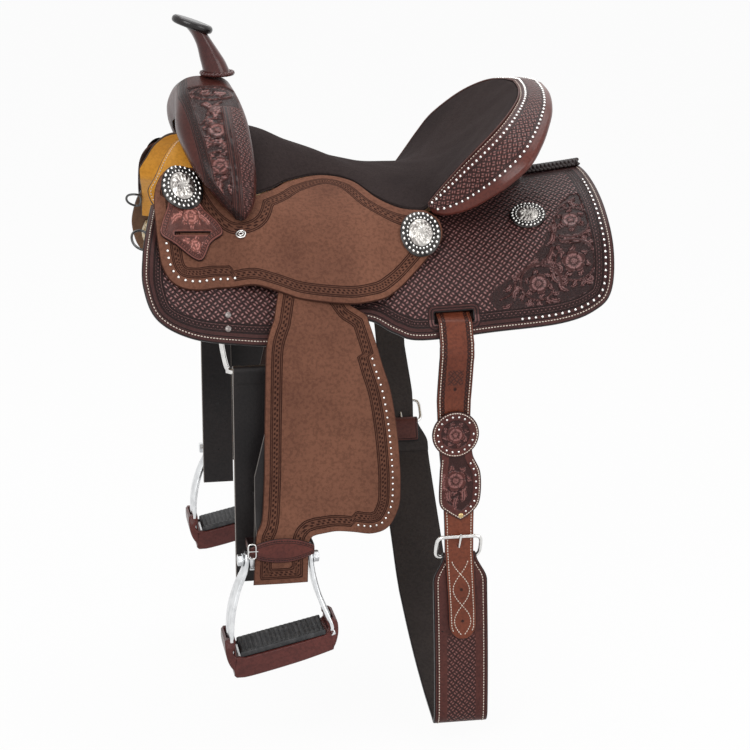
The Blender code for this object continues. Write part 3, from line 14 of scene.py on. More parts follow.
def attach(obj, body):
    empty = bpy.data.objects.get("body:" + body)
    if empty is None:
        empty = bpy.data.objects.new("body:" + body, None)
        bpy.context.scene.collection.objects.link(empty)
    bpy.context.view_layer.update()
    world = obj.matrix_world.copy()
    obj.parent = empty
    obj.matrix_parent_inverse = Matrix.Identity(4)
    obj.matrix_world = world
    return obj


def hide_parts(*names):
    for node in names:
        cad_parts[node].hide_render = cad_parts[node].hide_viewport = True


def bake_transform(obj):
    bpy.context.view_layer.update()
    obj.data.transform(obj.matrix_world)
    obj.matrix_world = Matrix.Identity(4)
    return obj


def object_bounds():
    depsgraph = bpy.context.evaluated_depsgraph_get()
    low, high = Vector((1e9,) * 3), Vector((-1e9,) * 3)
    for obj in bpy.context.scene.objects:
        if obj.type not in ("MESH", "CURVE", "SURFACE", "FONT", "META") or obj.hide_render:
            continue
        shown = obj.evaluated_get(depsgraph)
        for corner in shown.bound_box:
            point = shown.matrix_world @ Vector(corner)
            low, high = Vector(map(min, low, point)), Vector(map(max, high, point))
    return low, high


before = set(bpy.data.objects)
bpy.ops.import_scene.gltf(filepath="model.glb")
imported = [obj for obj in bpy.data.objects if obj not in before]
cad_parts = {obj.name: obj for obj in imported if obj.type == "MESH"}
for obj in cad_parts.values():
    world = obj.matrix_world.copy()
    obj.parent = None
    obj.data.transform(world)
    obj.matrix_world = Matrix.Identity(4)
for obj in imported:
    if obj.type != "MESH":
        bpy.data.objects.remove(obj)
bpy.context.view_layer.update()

# The studio: a long lens a little above the seat and towards the horn, two soft boxes and a top light
# in a pale room, and a plain pale floor just under the cinch that keeps the saddle's shadow.
AIM = Vector((0.0, 0.0, -0.241))
AZIMUTH, ELEVATION, DISTANCE = math.radians(-10), math.radians(15.5), 3.15
away = Vector((math.sin(AZIMUTH) * math.cos(ELEVATION), -math.cos(AZIMUTH) * math.cos(ELEVATION),
    math.sin(ELEVATION)))
camera = bpy.data.objects.new("camera", bpy.data.cameras.new("camera"))
camera.data.lens = 107.28
camera.data.sensor_width = 36
camera.location = AIM + away * DISTANCE
camera.rotation_euler = (-away).to_track_quat("-Z", "Y").to_euler()
bpy.context.scene.collection.objects.link(camera)
bpy.context.scene.camera = camera
bpy.context.scene.view_settings.view_transform = "Standard"


class Wire:
    """A node's output that can be reckoned with like a number."""

    def __init__(self, socket):
        self.socket, self.tree = socket, socket.id_data

    def __add__(self, other):
        return figure("ADD", self, other)

    def __radd__(self, other):
        return figure("ADD", other, self)

    def __sub__(self, other):
        return figure("SUBTRACT", self, other)

    def __rsub__(self, other):
        return figure("SUBTRACT", other, self)

    def __mul__(self, other):
        return figure("MULTIPLY", self, other)

    def __rmul__(self, other):
        return figure("MULTIPLY", other, self)

    def __truediv__(self, other):
        return figure("DIVIDE", self, other)

    def __pow__(self, other):
        return figure("POWER", self, other)

    def __abs__(self):
        return figure("ABSOLUTE", self)


def plug(node, inputs):
    """Gives each input of a node its value or another node's output."""
    for key, value in inputs.items():
        if isinstance(value, Wire):
            value.tree.links.new(value.socket, node.inputs[key])
        else:
            node.inputs[key].default_value = value


def add(tree, kind, inputs=None, **settings):
    """A shader node with these settings and inputs. It gives its first output."""
    node = tree.nodes.new("ShaderNode" + kind)
    for key, value in settings.items():
        setattr(node, key, value)
    plug(node, inputs or {})
    return Wire(node.outputs[0])


def figure(operation, *values, clamp=False):
    tree = next(value.tree for value in values if isinstance(value, Wire))
    return add(tree, "Math", dict(enumerate(values)), operation=operation, use_clamp=clamp)


def most(*values):
    found = values[0]
    for value in values[1:]:
        found = figure("MAXIMUM", found, value)
    return found


def seen_by_eye(tree):
    """1 for a ray that looks straight at it or sees it in metal or glass, 0 for light on the saddle."""
    path = add(tree, "LightPath").socket.node
    return most(*(Wire(path.outputs[word]) for word in ("Is Camera Ray", "Is Glossy Ray",
        "Is Transmission Ray")))


def build_studio():
    world = bpy.data.worlds.new("room")
    world.use_nodes = True
    tree = world.node_tree
    level = add(tree, "MapRange", {"Value": seen_by_eye(tree), "To Min": 0.42, "To Max": 1.0})
    plug(tree.nodes["Background"], {0: (1, 1, 1, 1), 1: level})
    bpy.context.scene.world = world
    lamps = {"key": ((-1.5, -2.7, 1.9), 2.0, 66), "fill": ((2.3, -2.2, 0.7), 1.8, 30),
        "top": ((0.4, 0.7, 2.6), 2.2, 44)}
    for word, (place, size, power) in lamps.items():
        lamp = bpy.data.objects.new(word, bpy.data.lights.new(word, "AREA"))
        lamp.data.size = size
        lamp.data.energy = power
        lamp.location = place
        lamp.rotation_euler = (AIM - Vector(place)).to_track_quat("-Z", "Y").to_euler()
        bpy.context.scene.collection.objects.link(lamp)
    floor_finish = bpy.data.materials.new("pale_floor")
    floor_finish.use_nodes = True
    tree = floor_finish.node_tree
    tree.nodes.remove(tree.nodes["Principled BSDF"])
    plain = add(tree, "BsdfDiffuse", {"Color": (0.8, 0.8, 0.8, 1)})
    white = add(tree, "Emission", {"Color": (1, 1, 1, 1), "Strength": 1.0})
    share = seen_by_eye(tree) * 0.95
    shown = add(tree, "MixShader", {0: share, 1: plain, 2: white})
    plug(tree.nodes["Material Output"], {"Surface": shown})
    mesh = bpy.data.meshes.new("floor")
    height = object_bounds()[0][2] - 0.03
    mesh.from_pydata([(x, y, height) for x, y in ((-20, -20), (20, -20), (20, 20), (-20, 20))], [],
        [(0, 1, 2, 3)])
    mesh.materials.append(floor_finish)
    floor = bpy.data.objects.new("floor", mesh)
    bpy.context.scene.collection.objects.link(floor)


build_studio()

# The skirts: one thick oiled hide on each side, basket stamped, with a carved flower spray in the rear
# corner, a stamped border, white stitching through to the fleece and silver studs round the rear.
NEAR, OFF = -1, 1
SIDES = {"near": NEAR, "off": OFF}
BARREL_HALF_WIDTH, BARREL_DROP, RIDGE_HEIGHT = 0.245, 0.27, 0.03
RISE_FRONT, RISE_REAR = 0.3, 0.24
GIRTH = (BARREL_HALF_WIDTH + BARREL_DROP) / 2
QUARTER = math.pi / 2 * GIRTH
SKIRT_THICK = 0.0055
CARVED_STEP, PETALS, ON_FACE = 0.0011, 5, 0.0001
OFF_SKIRT_BACK = 0.014
SKIRT_LOWER = [(-0.316, 0.112), (-0.327, 0.165), (-0.334, 0.205), (-0.336, 0.248), (-0.3215, 0.288),
    (-0.2785, 0.307), (-0.213, 0.309), (-0.16, 0.306), (-0.1, 0.292), (-0.05, 0.272), (-0.012, 0.29),
    (0.022, 0.3), (0.121, 0.2966), (0.211, 0.296), (0.257, 0.286), (0.281, 0.2645), (0.292, 0.208),
    (0.293, 0.137), (0.29, 0.06), (0.288, 0.004)]
SKIRT_UPPER = [(0.288, 0.004), (0.205, 0.004), (0.165, 0.03), (0.1, 0.05), (0.0, 0.06), (-0.1, 0.075),
    (-0.165, 0.102), (-0.316, 0.112)]
BILLET_X = 0.0675
SLOT = [(BILLET_X - 0.0255, 0.2657), (BILLET_X + 0.0255, 0.2657), (BILLET_X + 0.0255, 0.28),
    (BILLET_X - 0.0255, 0.28)]
FLOWER_EDGE = [(0.252, 0.098), (0.232, 0.118), (0.216, 0.15), (0.19, 0.196), (0.16, 0.222), (0.126, 0.24),
    (0.117, 0.256), (0.126, 0.27)]


def smooth_step(value, low, high):
    t = np.clip((np.asarray(value, float) - low) / (high - low), 0.0, 1.0)
    return t * t * (3 - 2 * t)


def barrel_level(x):
    return RIDGE_HEIGHT + np.where(np.asarray(x) > 0, RISE_REAR, RISE_FRONT) * np.square(x) - BARREL_DROP


def on_back(x, s, lift, side=NEAR):
    """The point at (x, s), lifted off the horse-shaped surface."""
    x, s, lift = np.broadcast_arrays(*[np.asarray(v, float) for v in (x, s, lift)])
    angle = np.minimum(s / GIRTH, math.pi / 2)
    drop = np.where(s > QUARTER, QUARTER - s, (BARREL_DROP + lift) * np.cos(angle))
    return np.stack([x, side * (BARREL_HALF_WIDTH + lift) * np.sin(angle), barrel_level(x) + drop], -1)


def curve(points, step, closed=False):
    """A Catmull-Rom curve through the points, with a point about every step."""
    points = [np.array(p, float) for p in points]
    count = len(points)
    found = []
    for i in range(count if closed else count - 1):
        a, b, c, d = [points[(i + k) % count] if closed else points[min(max(i + k, 0), count - 1)]
            for k in (-1, 0, 1, 2)]
        spans = max(1, round(float(np.linalg.norm(c - b)) / step))
        for t in np.arange(spans) / spans:
            found.append(0.5 * (2 * b + (c - a) * t + (2 * a - 5 * b + 4 * c - d) * t * t
                + (3 * b - a - 3 * c + d) * t ** 3))
    return np.array(found if closed else found + [points[-1]])


def joined(*runs):
    """Open runs one after another, as one closed outline with corners where they meet."""
    outline = []
    for p in np.concatenate([np.asarray(run, float) for run in runs]):
        if not outline or np.linalg.norm(p - outline[-1]) > 1e-05:
            outline.append(p)
    if np.linalg.norm(outline[0] - outline[-1]) < 1e-05:
        outline.pop()
    return np.array(outline)


def divided(loop, spacing):
    """The same closed outline, with its corners kept and a point about every spacing."""
    found = []
    for a, b in zip(loop, np.roll(loop, -1, axis=0)):
        count = max(1, int(round(np.linalg.norm(b - a) / spacing)))
        found += [a + (b - a) * k / count for k in range(count)]
    return np.array(found)


def inside(points, loop):
    ends = np.roll(loop, -1, axis=0)
    odd = np.zeros(len(points), bool)
    for a, b in zip(loop, ends):
        if a[1] == b[1]:
            continue
        crosses = (a[1] > points[:, 1]) != (b[1] > points[:, 1])
        odd ^= crosses & (points[:, 0] < (b[0] - a[0]) * (points[:, 1] - a[1]) / (b[1] - a[1]) + a[0])
    return odd


def along_line(points, line, closed=True):
    """For each point its distance from a dense line, and how far along the line its nearest place is."""
    count = len(line)
    ends = np.roll(line, -1, axis=0)
    reach = lengths(np.concatenate([line, line[:1]]))
    nearest = np.concatenate([((line ** 2).sum(1) - 2 * some @ line.T).argmin(1)
        for some in np.array_split(points, len(points) * count // 4000000 + 1)])
    gap, place = np.full(len(points), np.inf), np.zeros(len(points))
    for first in (nearest - 1, nearest):
        start = first % count if closed else np.clip(first, 0, count - 2)
        way = ends[start] - line[start]
        size = np.maximum((way ** 2).sum(1), 1e-14)
        t = np.clip(((points - line[start]) * way).sum(1) / size, 0, 1)
        far = np.linalg.norm(points - line[start] - way * t[:, None], axis=1)
        closer = far < gap
        gap = np.where(closer, far, gap)
        place = np.where(closer, reach[start] + t * np.sqrt(size), place)
    return gap, place


def inward(loop):
    """Unit directions into a closed outline, one per point."""
    way = np.roll(loop, -1, axis=0) - np.roll(loop, 1, axis=0)
    way = unit(way)
    ends = np.roll(loop, -1, axis=0)
    turn = np.sign((loop[:, 0] * ends[:, 1] - loop[:, 1] * ends[:, 0]).sum())
    return np.stack([-way[:, 1], way[:, 0]], 1) * turn


def inset(loop, depth, kept=0.93):
    """The points of an outline moved inwards, without those that a tight bend crowds out."""
    moved = loop + inward(loop) * depth
    gap, _ = along_line(moved, loop)
    return moved[(gap > depth * kept) & inside(moved, loop)]


def make_piece(name, shape, finishes, body, stands_for=(), slot=None, maps=None, marks=None, finish_of=None,
        sharp=42, free=False):
    """A mesh from (points, faces), with flat maps (two numbers a point) and marks (one number a point)."""
    points, faces = shape
    mesh = bpy.data.meshes.new(name)
    mesh.from_pydata(np.asarray(points, float).tolist(), [], [tuple(int(i) for i in f) for f in faces])
    built = bmesh.new()
    built.from_mesh(mesh)
    bmesh.ops.recalc_face_normals(built, faces=built.faces)
    built.to_mesh(mesh)
    built.free()
    mesh.shade_smooth()
    mesh.set_sharp_from_angle(angle=math.radians(sharp))
    for finish in finishes:
        mesh.materials.append(finish)
    if finish_of is not None:
        mesh.polygons.foreach_set("material_index", np.asarray(finish_of, np.int32))
    corner = np.empty(len(mesh.loops), np.int32)
    mesh.loops.foreach_get("vertex_index", corner)
    for word, flat in (maps or {}).items():
        layer = mesh.uv_layers.new(name=word)
        layer.data.foreach_set("uv", np.asarray(flat, np.float32)[corner].ravel())
    for word, value in (marks or {}).items():
        mark = mesh.attributes.new(word, "FLOAT", "POINT")
        mark.data.foreach_set("value", np.asarray(value, np.float32))
    piece = bpy.data.objects.new(name, mesh)
    bpy.context.scene.collection.objects.link(piece)
    if not free:
        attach(piece, body)
    if stands_for:
        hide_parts(*([stands_for] if isinstance(stands_for, str) else stands_for))
    return piece


def flat_mesh(outline, step, holes=(), rows=(), fine=None):
    """Triangles that fill an outline in (x, s), fine where it is carved, with rows along its edges."""
    loops = [outline, *holes]
    points = [np.concatenate(loops)]
    edges, first = [], 0
    for loop in loops:
        edges += [(first + i, first + (i + 1) % len(loop)) for i in range(len(loop))]
        first += len(loop)
    for row in rows:
        points.append(inset(outline, row))
        for hole in holes:
            outside = hole - inward(hole) * row
            points.append(outside[along_line(outside, hole)[0] > row * 0.9])
    low, high = outline.min(0), outline.max(0)
    margin = max(rows) if rows else 0.0

    def grid(pitch, kept=None):
        xs, ys = np.meshgrid(np.arange(low[0] + pitch / 2, high[0], pitch),
            np.arange(low[1] + pitch / 3, high[1], pitch * 0.87))
        xs[1::2] += pitch / 2
        found = np.stack([xs.ravel(), ys.ravel()], 1)
        if kept:
            found = found[kept(found)]
        found = found[inside(found, outline)]
        for loop in loops:
            found = found[along_line(found, loop)[0] > margin + pitch * 0.6]
        for hole in holes:
            found = found[~inside(found, hole)]
        return found

    if fine is None:
        points.append(grid(step))
    else:
        points += [grid(step, lambda p: ~fine(p)), grid(CARVED_STEP, fine)]
    points = np.concatenate(points)
    found = geometry.delaunay_2d_cdt([Vector(p) for p in points.tolist()], edges, [], 0, 1e-07)
    flat = np.array([tuple(v) for v in found[0]])
    faces = np.array([f for f in found[2] if len(f) == 3])
    middle = flat[faces].mean(1)
    kept = inside(middle, outline)
    for hole in holes:
        kept &= ~inside(middle, hole)
    used, index = np.unique(faces[kept], return_inverse=True)
    return flat[used], index.reshape(-1, 3)


def cut_leather(name, outline, under, over, place, step, finishes, body, holes=(), soften=0.0013, carve=None,
        marks=None, fine=None, shift=None, **how):
    """A leather cut to an outline, with softened edges and, where carve says so, a carved face.

    over and under are lifts of (x, s); carve gives the depth cut from the face, and marks the words and
    functions for the finish; shift moves the stamped border inwards.
    """
    flat, faces = flat_mesh(outline, step, holes, (soften * 0.35, soften), fine)
    gap, along = along_line(flat, outline)
    nearest = gap.copy()
    for hole in holes:
        nearest = np.minimum(nearest, along_line(flat, hole)[0])
    round_off = soften - np.sqrt(np.maximum(soften ** 2 - np.maximum(soften - nearest, 0) ** 2, 0))
    x, s = flat.T
    top = (over(x, s) if callable(over) else np.full(len(x), over)) - round_off
    low = (under(x, s) if callable(under) else np.full(len(x), under)) + round_off * 0.6
    if carve is not None:
        top = top - carve(flat)
    count = len(flat)
    points = np.concatenate([place(x, s, low), place(x, s, top)])
    sides = np.concatenate([faces[:, [0, 1]], faces[:, [1, 2]], faces[:, [2, 0]]])
    known = set(map(tuple, sides.tolist()))
    rim = [(a, b, b + count, a + count) for a, b in known if (b, a) not in known]
    all_faces = faces[:, ::-1].tolist() + (faces + count).tolist() + rim
    finish_of = [len(finishes) - 1] * len(faces) + [0] * (len(faces) + len(rim))
    moved = gap - (shift(flat) if shift else 0.0)
    maps = {"flat": np.tile(flat, (2, 1)), "edge": np.tile(np.stack([along, moved], 1), (2, 1))}
    found = {"rim": np.tile(nearest, 2)}
    for word, rule in (marks or {}).items():
        value = rule(flat)
        found[word] = np.concatenate([np.zeros(count), value])
    return make_piece(name, (points, all_faces), finishes, body, maps=maps, marks=found, finish_of=finish_of,
        **how)


def unit(v):
    return v / np.linalg.norm(v, axis=-1, keepdims=True)


def lengths(line):
    """How far along a line each of its points is."""
    return np.concatenate([[0], np.cumsum(np.linalg.norm(np.diff(line, axis=0), axis=1))])


def at_lengths(at, reach, line):
    return np.stack([np.interp(at, reach, line[:, k]) for k in range(line.shape[1])], 1)


def stations(line, pitch):
    """Evenly spaced places along a line, with the line's direction at each."""
    reach = lengths(line)
    count = max(1, int(reach[-1] / pitch))
    at = (np.arange(count) + 0.5) * reach[-1] / count
    ahead, behind = at_lengths(at + 0.0005, reach, line), at_lengths(at - 0.0005, reach, line)
    return at_lengths(at, reach, line), unit(ahead - behind)


def stand_on(place, lift, spots, ways):
    """For places on a leather: the point on its face, and the directions along, across and out."""

    def face(p, more=0.0):
        high = lift(p[:, 0], p[:, 1]) if callable(lift) else lift
        return place(p[:, 0], p[:, 1], high + more)

    start = face(spots)
    along = unit(face(spots + ways * 0.0004) - face(spots - ways * 0.0004))
    out = face(spots, 0.001) - start
    out = unit(out - along * (out * along).sum(-1, keepdims=True))
    return start, along, np.cross(out, along), out


def ball(rings, turns, long=1.0, wide=1.0, high=1.0, low=1.0):
    """A closed round bead, from its foot to its crown, stretched along three directions."""
    points = [(0, 0, -low)]
    for a in np.linspace(-math.pi / 2, math.pi / 2, rings + 2)[1:-1]:
        lift = math.sin(a) * (high if a > 0 else low)
        for t in np.arange(turns) * 2 * math.pi / turns:
            points.append((long * math.cos(a) * math.cos(t), wide * math.cos(a) * math.sin(t), lift))
    points.append((0, 0, high))
    faces = [(0, 1 + (k + 1) % turns, 1 + k) for k in range(turns)]
    for r in range(rings - 1):
        a, b = 1 + r * turns, 1 + (r + 1) * turns
        faces += [(a + k, a + (k + 1) % turns, b + (k + 1) % turns, b + k) for k in range(turns)]
    last = 1 + (rings - 1) * turns
    faces += [(last + k, last + (k + 1) % turns, len(points) - 1) for k in range(turns)]
    return np.array(points), faces


def set_in_rows(template, frames):
    """Copies of a small shape, one on each frame, as points and faces of one mesh."""
    shape, faces = template
    start, along, across, out = frames
    points = start[:, None] + shape[None, :, :1] * along[:, None] + shape[None, :, 1:2] * across[:,
        None] + shape[None, :, 2:] * out[:, None]
    count = len(shape)
    return points.reshape(-1, 3), [tuple(i + k * count for i in face) for k in range(len(start))
        for face in faces]


def join_frames(*several):
    return [np.concatenate(part) for part in zip(*several)]


THREAD = ball(3, 6, long=0.0016, wide=0.00075, high=0.0006, low=0.00045)
STUD = ball(5, 10, long=0.00215, wide=0.00215, high=0.0019, low=0.0004)
SMALL_STUD = ball(5, 10, long=0.0017, wide=0.0017, high=0.0015, low=0.0004)


def new_finish(name):
    finish = bpy.data.materials.new(name)
    finish.use_nodes = True
    return finish, finish.node_tree, finish.node_tree.nodes["Principled BSDF"]


def dyed(red, green, blue):
    """A colour as it is seen on screen, 0 to 255, in the light that a shader works with."""
    return tuple(((v / 255 + 0.055) / 1.055) ** 2.4 if v > 10 else v / 255 / 12.92
        for v in (red, green, blue)) + (1.0,)


def ease(value, low, high):
    return add(value.tree, "MapRange", {"Value": value, "From Min": low, "From Max": high},
        interpolation_type="SMOOTHSTEP")


def mixed(share, first, second):
    node = add(share.tree, "Mix", data_type="RGBA").socket.node
    plug(node, {0: share, 6: first, 7: second})
    return Wire(node.outputs[2])


def split(vector):
    return [Wire(output) for output in add(vector.tree, "SeparateXYZ", {0: vector}).socket.node.outputs]


def places(tree, word):
    """The two numbers of a flat map."""
    return split(add(tree, "UVMap", uv_map=word))[:2]


def own_place(tree):
    return Wire(tree.nodes.new("ShaderNodeTexCoord").outputs["Object"])


def grain(tree, scale, detail=3.0, rough=0.55, stretch=None):
    where = own_place(tree)
    if stretch:
        where = add(tree, "Mapping", {"Vector": where, "Scale": stretch})
    return add(tree, "TexNoise", {"Vector": where, "Scale": scale, "Detail": detail, "Roughness": rough})


def pores(tree, scale):
    return add(tree, "TexVoronoi", {"Vector": own_place(tree), "Scale": scale}, feature="F1")


def bump(height, distance):
    return add(height.tree, "Bump", {"Height": height, "Distance": distance})


def mark_of(tree, word):
    return Wire(add(tree, "Attribute", attribute_name=word).socket.node.outputs["Fac"])


def line_at(value, *places, half=0.0005):
    """1 on thin lines where value is near one of the places."""
    found = None
    for place in places:
        gap = abs(value - place)
        found = gap if found is None else figure("MINIMUM", found, gap)
    return 1.0 - ease(found, half * 0.4, half)


def between(value, low, high, soft=0.0004):
    rise = ease(value, low - soft, low + soft)
    return rise * (1.0 - ease(value, high - soft, high + soft))


def leather(name, tone, shade, dye, rough, tooling=None, edge_dye=None, edge_reach=0.0012, nap=0.0,
        gloss=0.0, mottle=0.5, depth=0.00012):
    """Hide with uneven dye, pores and rubbed edges. tooling gives (darkness, cut depth, painted glint)
    sockets.
    """
    finish, tree, shader = new_finish(name)
    tone, shade, dye = (dyed(*colour) for colour in (tone, shade, dye))
    cloud = ease(grain(tree, 9.0, 4.0), 0.5 - mottle / 2, 0.5 + mottle / 2)
    colour = mixed(cloud, tone, shade)
    fleck = ease(grain(tree, 240.0, 3.0, 0.6), 0.4, 0.66)
    colour = mixed(fleck * 0.3, colour, dye)
    height = pores(tree, 900.0 if nap == 0 else 520.0) * depth
    height = height + grain(tree, 330.0, 4.0) * (depth * 1.6)
    roughness = rough - 0.05 + grain(tree, 60.0) * 0.12
    if tooling:
        dark, cut, painted_glint_and_gloss = tooling(tree)
        # Painted highlight: the glint mask lightens the colour towards a pale crown tone where the lamps
        # would glint on raised stamping; it also lowers the roughness there.
        if painted_glint_and_gloss is not None:
            crown = tuple(min(1.0, glint_lift + v * 3.2) for v, glint_lift in zip(tone, (0.19, 0.13, 0.13))) + (1.0,)
            colour = mixed(painted_glint_and_gloss * 2.8, colour, crown)
        colour = mixed(dark * 0.93, colour, dye)
        height = height - cut
        if painted_glint_and_gloss is not None:
            roughness = roughness - painted_glint_and_gloss
    if edge_dye:
        rim = 1.0 - ease(mark_of(tree, "rim"), edge_reach * 0.4, edge_reach)
        colour = mixed(rim, colour, dyed(*edge_dye))
    plug(shader, {"Base Color": colour, "Roughness": roughness, "Normal": bump(height, 1.0),
        "Specular IOR Level": 0.12 if nap else 0.17})
    if nap:
        plug(shader, {"Sheen Weight": nap, "Sheen Roughness": 0.5, "Sheen Tint": tone})
    if gloss:
        plug(shader, {"Coat Weight": gloss, "Coat Roughness": 0.2})
    return finish


def basket(tree, cell):
    """Basket stamp: short ribbed bars that pass over each other, as height 0 to 1."""
    flat = add(tree, "UVMap", uv_map="flat")
    spread = add(tree, "Mapping", {"Vector": flat, "Rotation": (0, 0, math.pi / 4),
        "Scale": (1 / cell,) * 3})
    across, down, _ = split(spread)
    cells = figure("FLOOR", across) + figure("FLOOR", down)
    odd = figure("FLOORED_MODULO", cells, 2.0)
    a, b = figure("FRACT", across), figure("FRACT", down)
    swap = odd * (b - a)
    long, wide = a + swap, b - swap
    arch = figure("SINE", long * math.pi)
    ribs = abs(figure("SINE", wide * (2 * math.pi)))
    return arch ** 0.7 * (0.35 + ribs * 0.65)


def glints(weave, share=1.0):
    """The crowns of a basket stamp, lightened by a painted highlight and made smoother."""
    crown = ease(weave, 0.66, 0.97)
    return crown * share * 0.26


def scallops(along, depth, middle, pitch, half):
    """A row of small crescent stamps along a border, as darkness 0 to 1."""
    w = (figure("FRACT", along / pitch) - 0.5) * pitch
    v = depth - middle
    ring = figure("SQRT", w * w + v * v)
    arc = line_at(ring, half * 0.55, half, half=0.00075)
    return arc * between(depth, middle - half, middle + half)


def skirt_tooling(tree):
    along, depth = places(tree, "edge")
    slot = mark_of(tree, "slot")
    field = ease(depth, 0.0265, 0.0275)
    clear = ease(slot, 0.0085, 0.0095)
    weave = basket(tree, 0.008)
    woven = field * clear * mark_of(tree, "woven")
    sunk = (1.0 - weave) * woven
    rails = line_at(depth, 0.0092, 0.015, 0.0165, 0.025, 0.0265, half=0.0009)
    stamps = scallops(along, depth, 0.0206, 0.0058, 0.003)
    border = most(rails, stamps) * clear
    piped = line_at(slot, 0.0012, 0.0048, 0.0088, half=0.0009)
    border = most(border, piped)
    carved = mark_of(tree, "carved")
    matted = figure("MULTIPLY", carved, 0.3 + pores(tree, 520.0) * 0.9, clamp=True)
    dark = most(sunk * 0.95, border)
    dark = most(dark, matted)
    cut = most(sunk, border) * 0.0011
    cut = cut + carved * pores(tree, 520.0) * 0.0006
    # Painted highlight on the border's raised band and the carving's crests, added to the basket's glints.
    band = between(depth, 0.0166, 0.025) * (1.0 - border)
    crest_glint = most(mark_of(tree, "crest_glint") * 0.26, band * 0.09)
    return dark, cut, most(glints(weave, woven), crest_glint)


def flower(flat, centre, radius, turn=0.0):
    """A carved flower, 0 on the ground round it and up to 1 on the petals' tips."""
    dx, dy = (flat - np.array(centre)).T
    r = np.hypot(dx, dy) / radius
    a = np.arctan2(dy, dx) - turn
    edge = 0.78 + 0.22 * np.abs(np.cos(PETALS * a / 2)) ** 0.6
    petal = smooth_step(edge - r, -0.04, 0.07) * (0.45 + 0.55 * smooth_step(r, 0.28, 0.9))
    fold = 1 - 0.65 * smooth_step(0.2 - np.abs(np.cos(PETALS * a / 2)), 0.0, 0.16) * (r > 0.25)
    veins = 1 - 0.22 * smooth_step(np.cos(PETALS * 3 * a), 0.4, 0.9) * smooth_step(0.72 - r, 0, 0.2)
    heart = smooth_step(0.27 - r, -0.03, 0.05) * (0.8 + 0.2 * np.cos(7 * a))
    return np.maximum(petal * fold * veins, heart)


def vine(flat, path, wide):
    """A carved stem that narrows to its end, with a groove along it."""
    path = curve(path, 0.003)
    gap, place = along_line(flat, path, closed=False)
    half = wide / 2 * (1 - 0.6 * place / lengths(path)[-1])
    crown = np.sqrt(np.clip(1 - (gap / half) ** 2, 0, 1))
    return smooth_step(half - gap, -0.0004, 0.0005) * (0.7 + 0.3 * crown)


def leaf(flat, base, tip, wide, curl=0.15):
    """A carved leaf with a notched edge and a cut vein."""
    base, way = np.array(base), np.array(tip) - np.array(base)
    length = np.linalg.norm(way)
    way = way / length
    t = (flat - base) @ way / length
    bend = curl * length * np.sin(math.pi * np.clip(t, 0, 1))
    off = (flat - base) @ np.array([-way[1], way[0]]) - bend
    half = wide / 2 * np.sin(math.pi * np.clip(t, 0, 1) ** 0.75) * (1 + 0.16 * np.cos(t * 26))
    body = smooth_step(half - np.abs(off), -0.0004, 0.0006)
    vein = 1 - 0.6 * smooth_step(0.0009 - np.abs(off), 0, 0.0006)
    return body * (0.62 + 0.38 * np.clip(np.abs(off) / np.maximum(half, 0.0001), 0, 1)) * vein


def bouquet(flat, blooms, rest):
    """Carved blooms, (x, s, radius, turn, leaves round it), laid over the stems and leaves of rest."""
    shapes = list(rest)
    for x, s, radius, turn, leaves in blooms:
        for a in turn + np.arange(leaves) * 2 * math.pi / max(leaves, 1):
            shapes.append(leaf(flat, (x + 1.02 * radius * math.cos(a), s + 1.02 * radius * math.sin(a)),
                (x + 1.55 * radius * math.cos(a + 0.4), s + 1.55 * radius * math.sin(a + 0.4)), 0.5 * radius,
                0.22))
    found = np.maximum.reduce(shapes)
    for x, s, radius, turn, _ in blooms:
        near = np.hypot(flat[:, 0] - x, flat[:, 1] - s) < 1.05 * radius
        found = np.where(near, flower(flat, (x, s), radius, turn), found)
    return found


def scroll(x, s, radius, first, turns=0.95, tail=1.0):
    """A curl: a stem that winds in round a bloom from its tail."""
    t = np.linspace(0, 1, 14)
    a = first + turns * 2 * math.pi * t
    r = radius * (1 + 0.42 * tail * (1 - t) ** 1.5)
    return np.stack([x + r * np.cos(a), s + r * np.sin(a)], 1).tolist()


def leafy(flat, path, length, wide, turn):
    """Leaves that curl out along a stem, all to one side."""
    path = curve(path, 0.002)
    spots, ways = stations(path, length * 0.8)
    c, s = math.cos(turn), math.sin(turn)
    tips = spots + length * (ways @ np.array([[c, s], [-s, c]]))
    return [leaf(flat, a, b, wide, 0.22 if turn > 0 else -0.22) for a, b in zip(spots, tips)]


def crests(shape):
    """1 along the upper edges of the carving, where a painted highlight lightens the face."""
    return smooth_step(shape, 0.42, 0.62) * smooth_step(0.86 - shape, 0.0, 0.12)


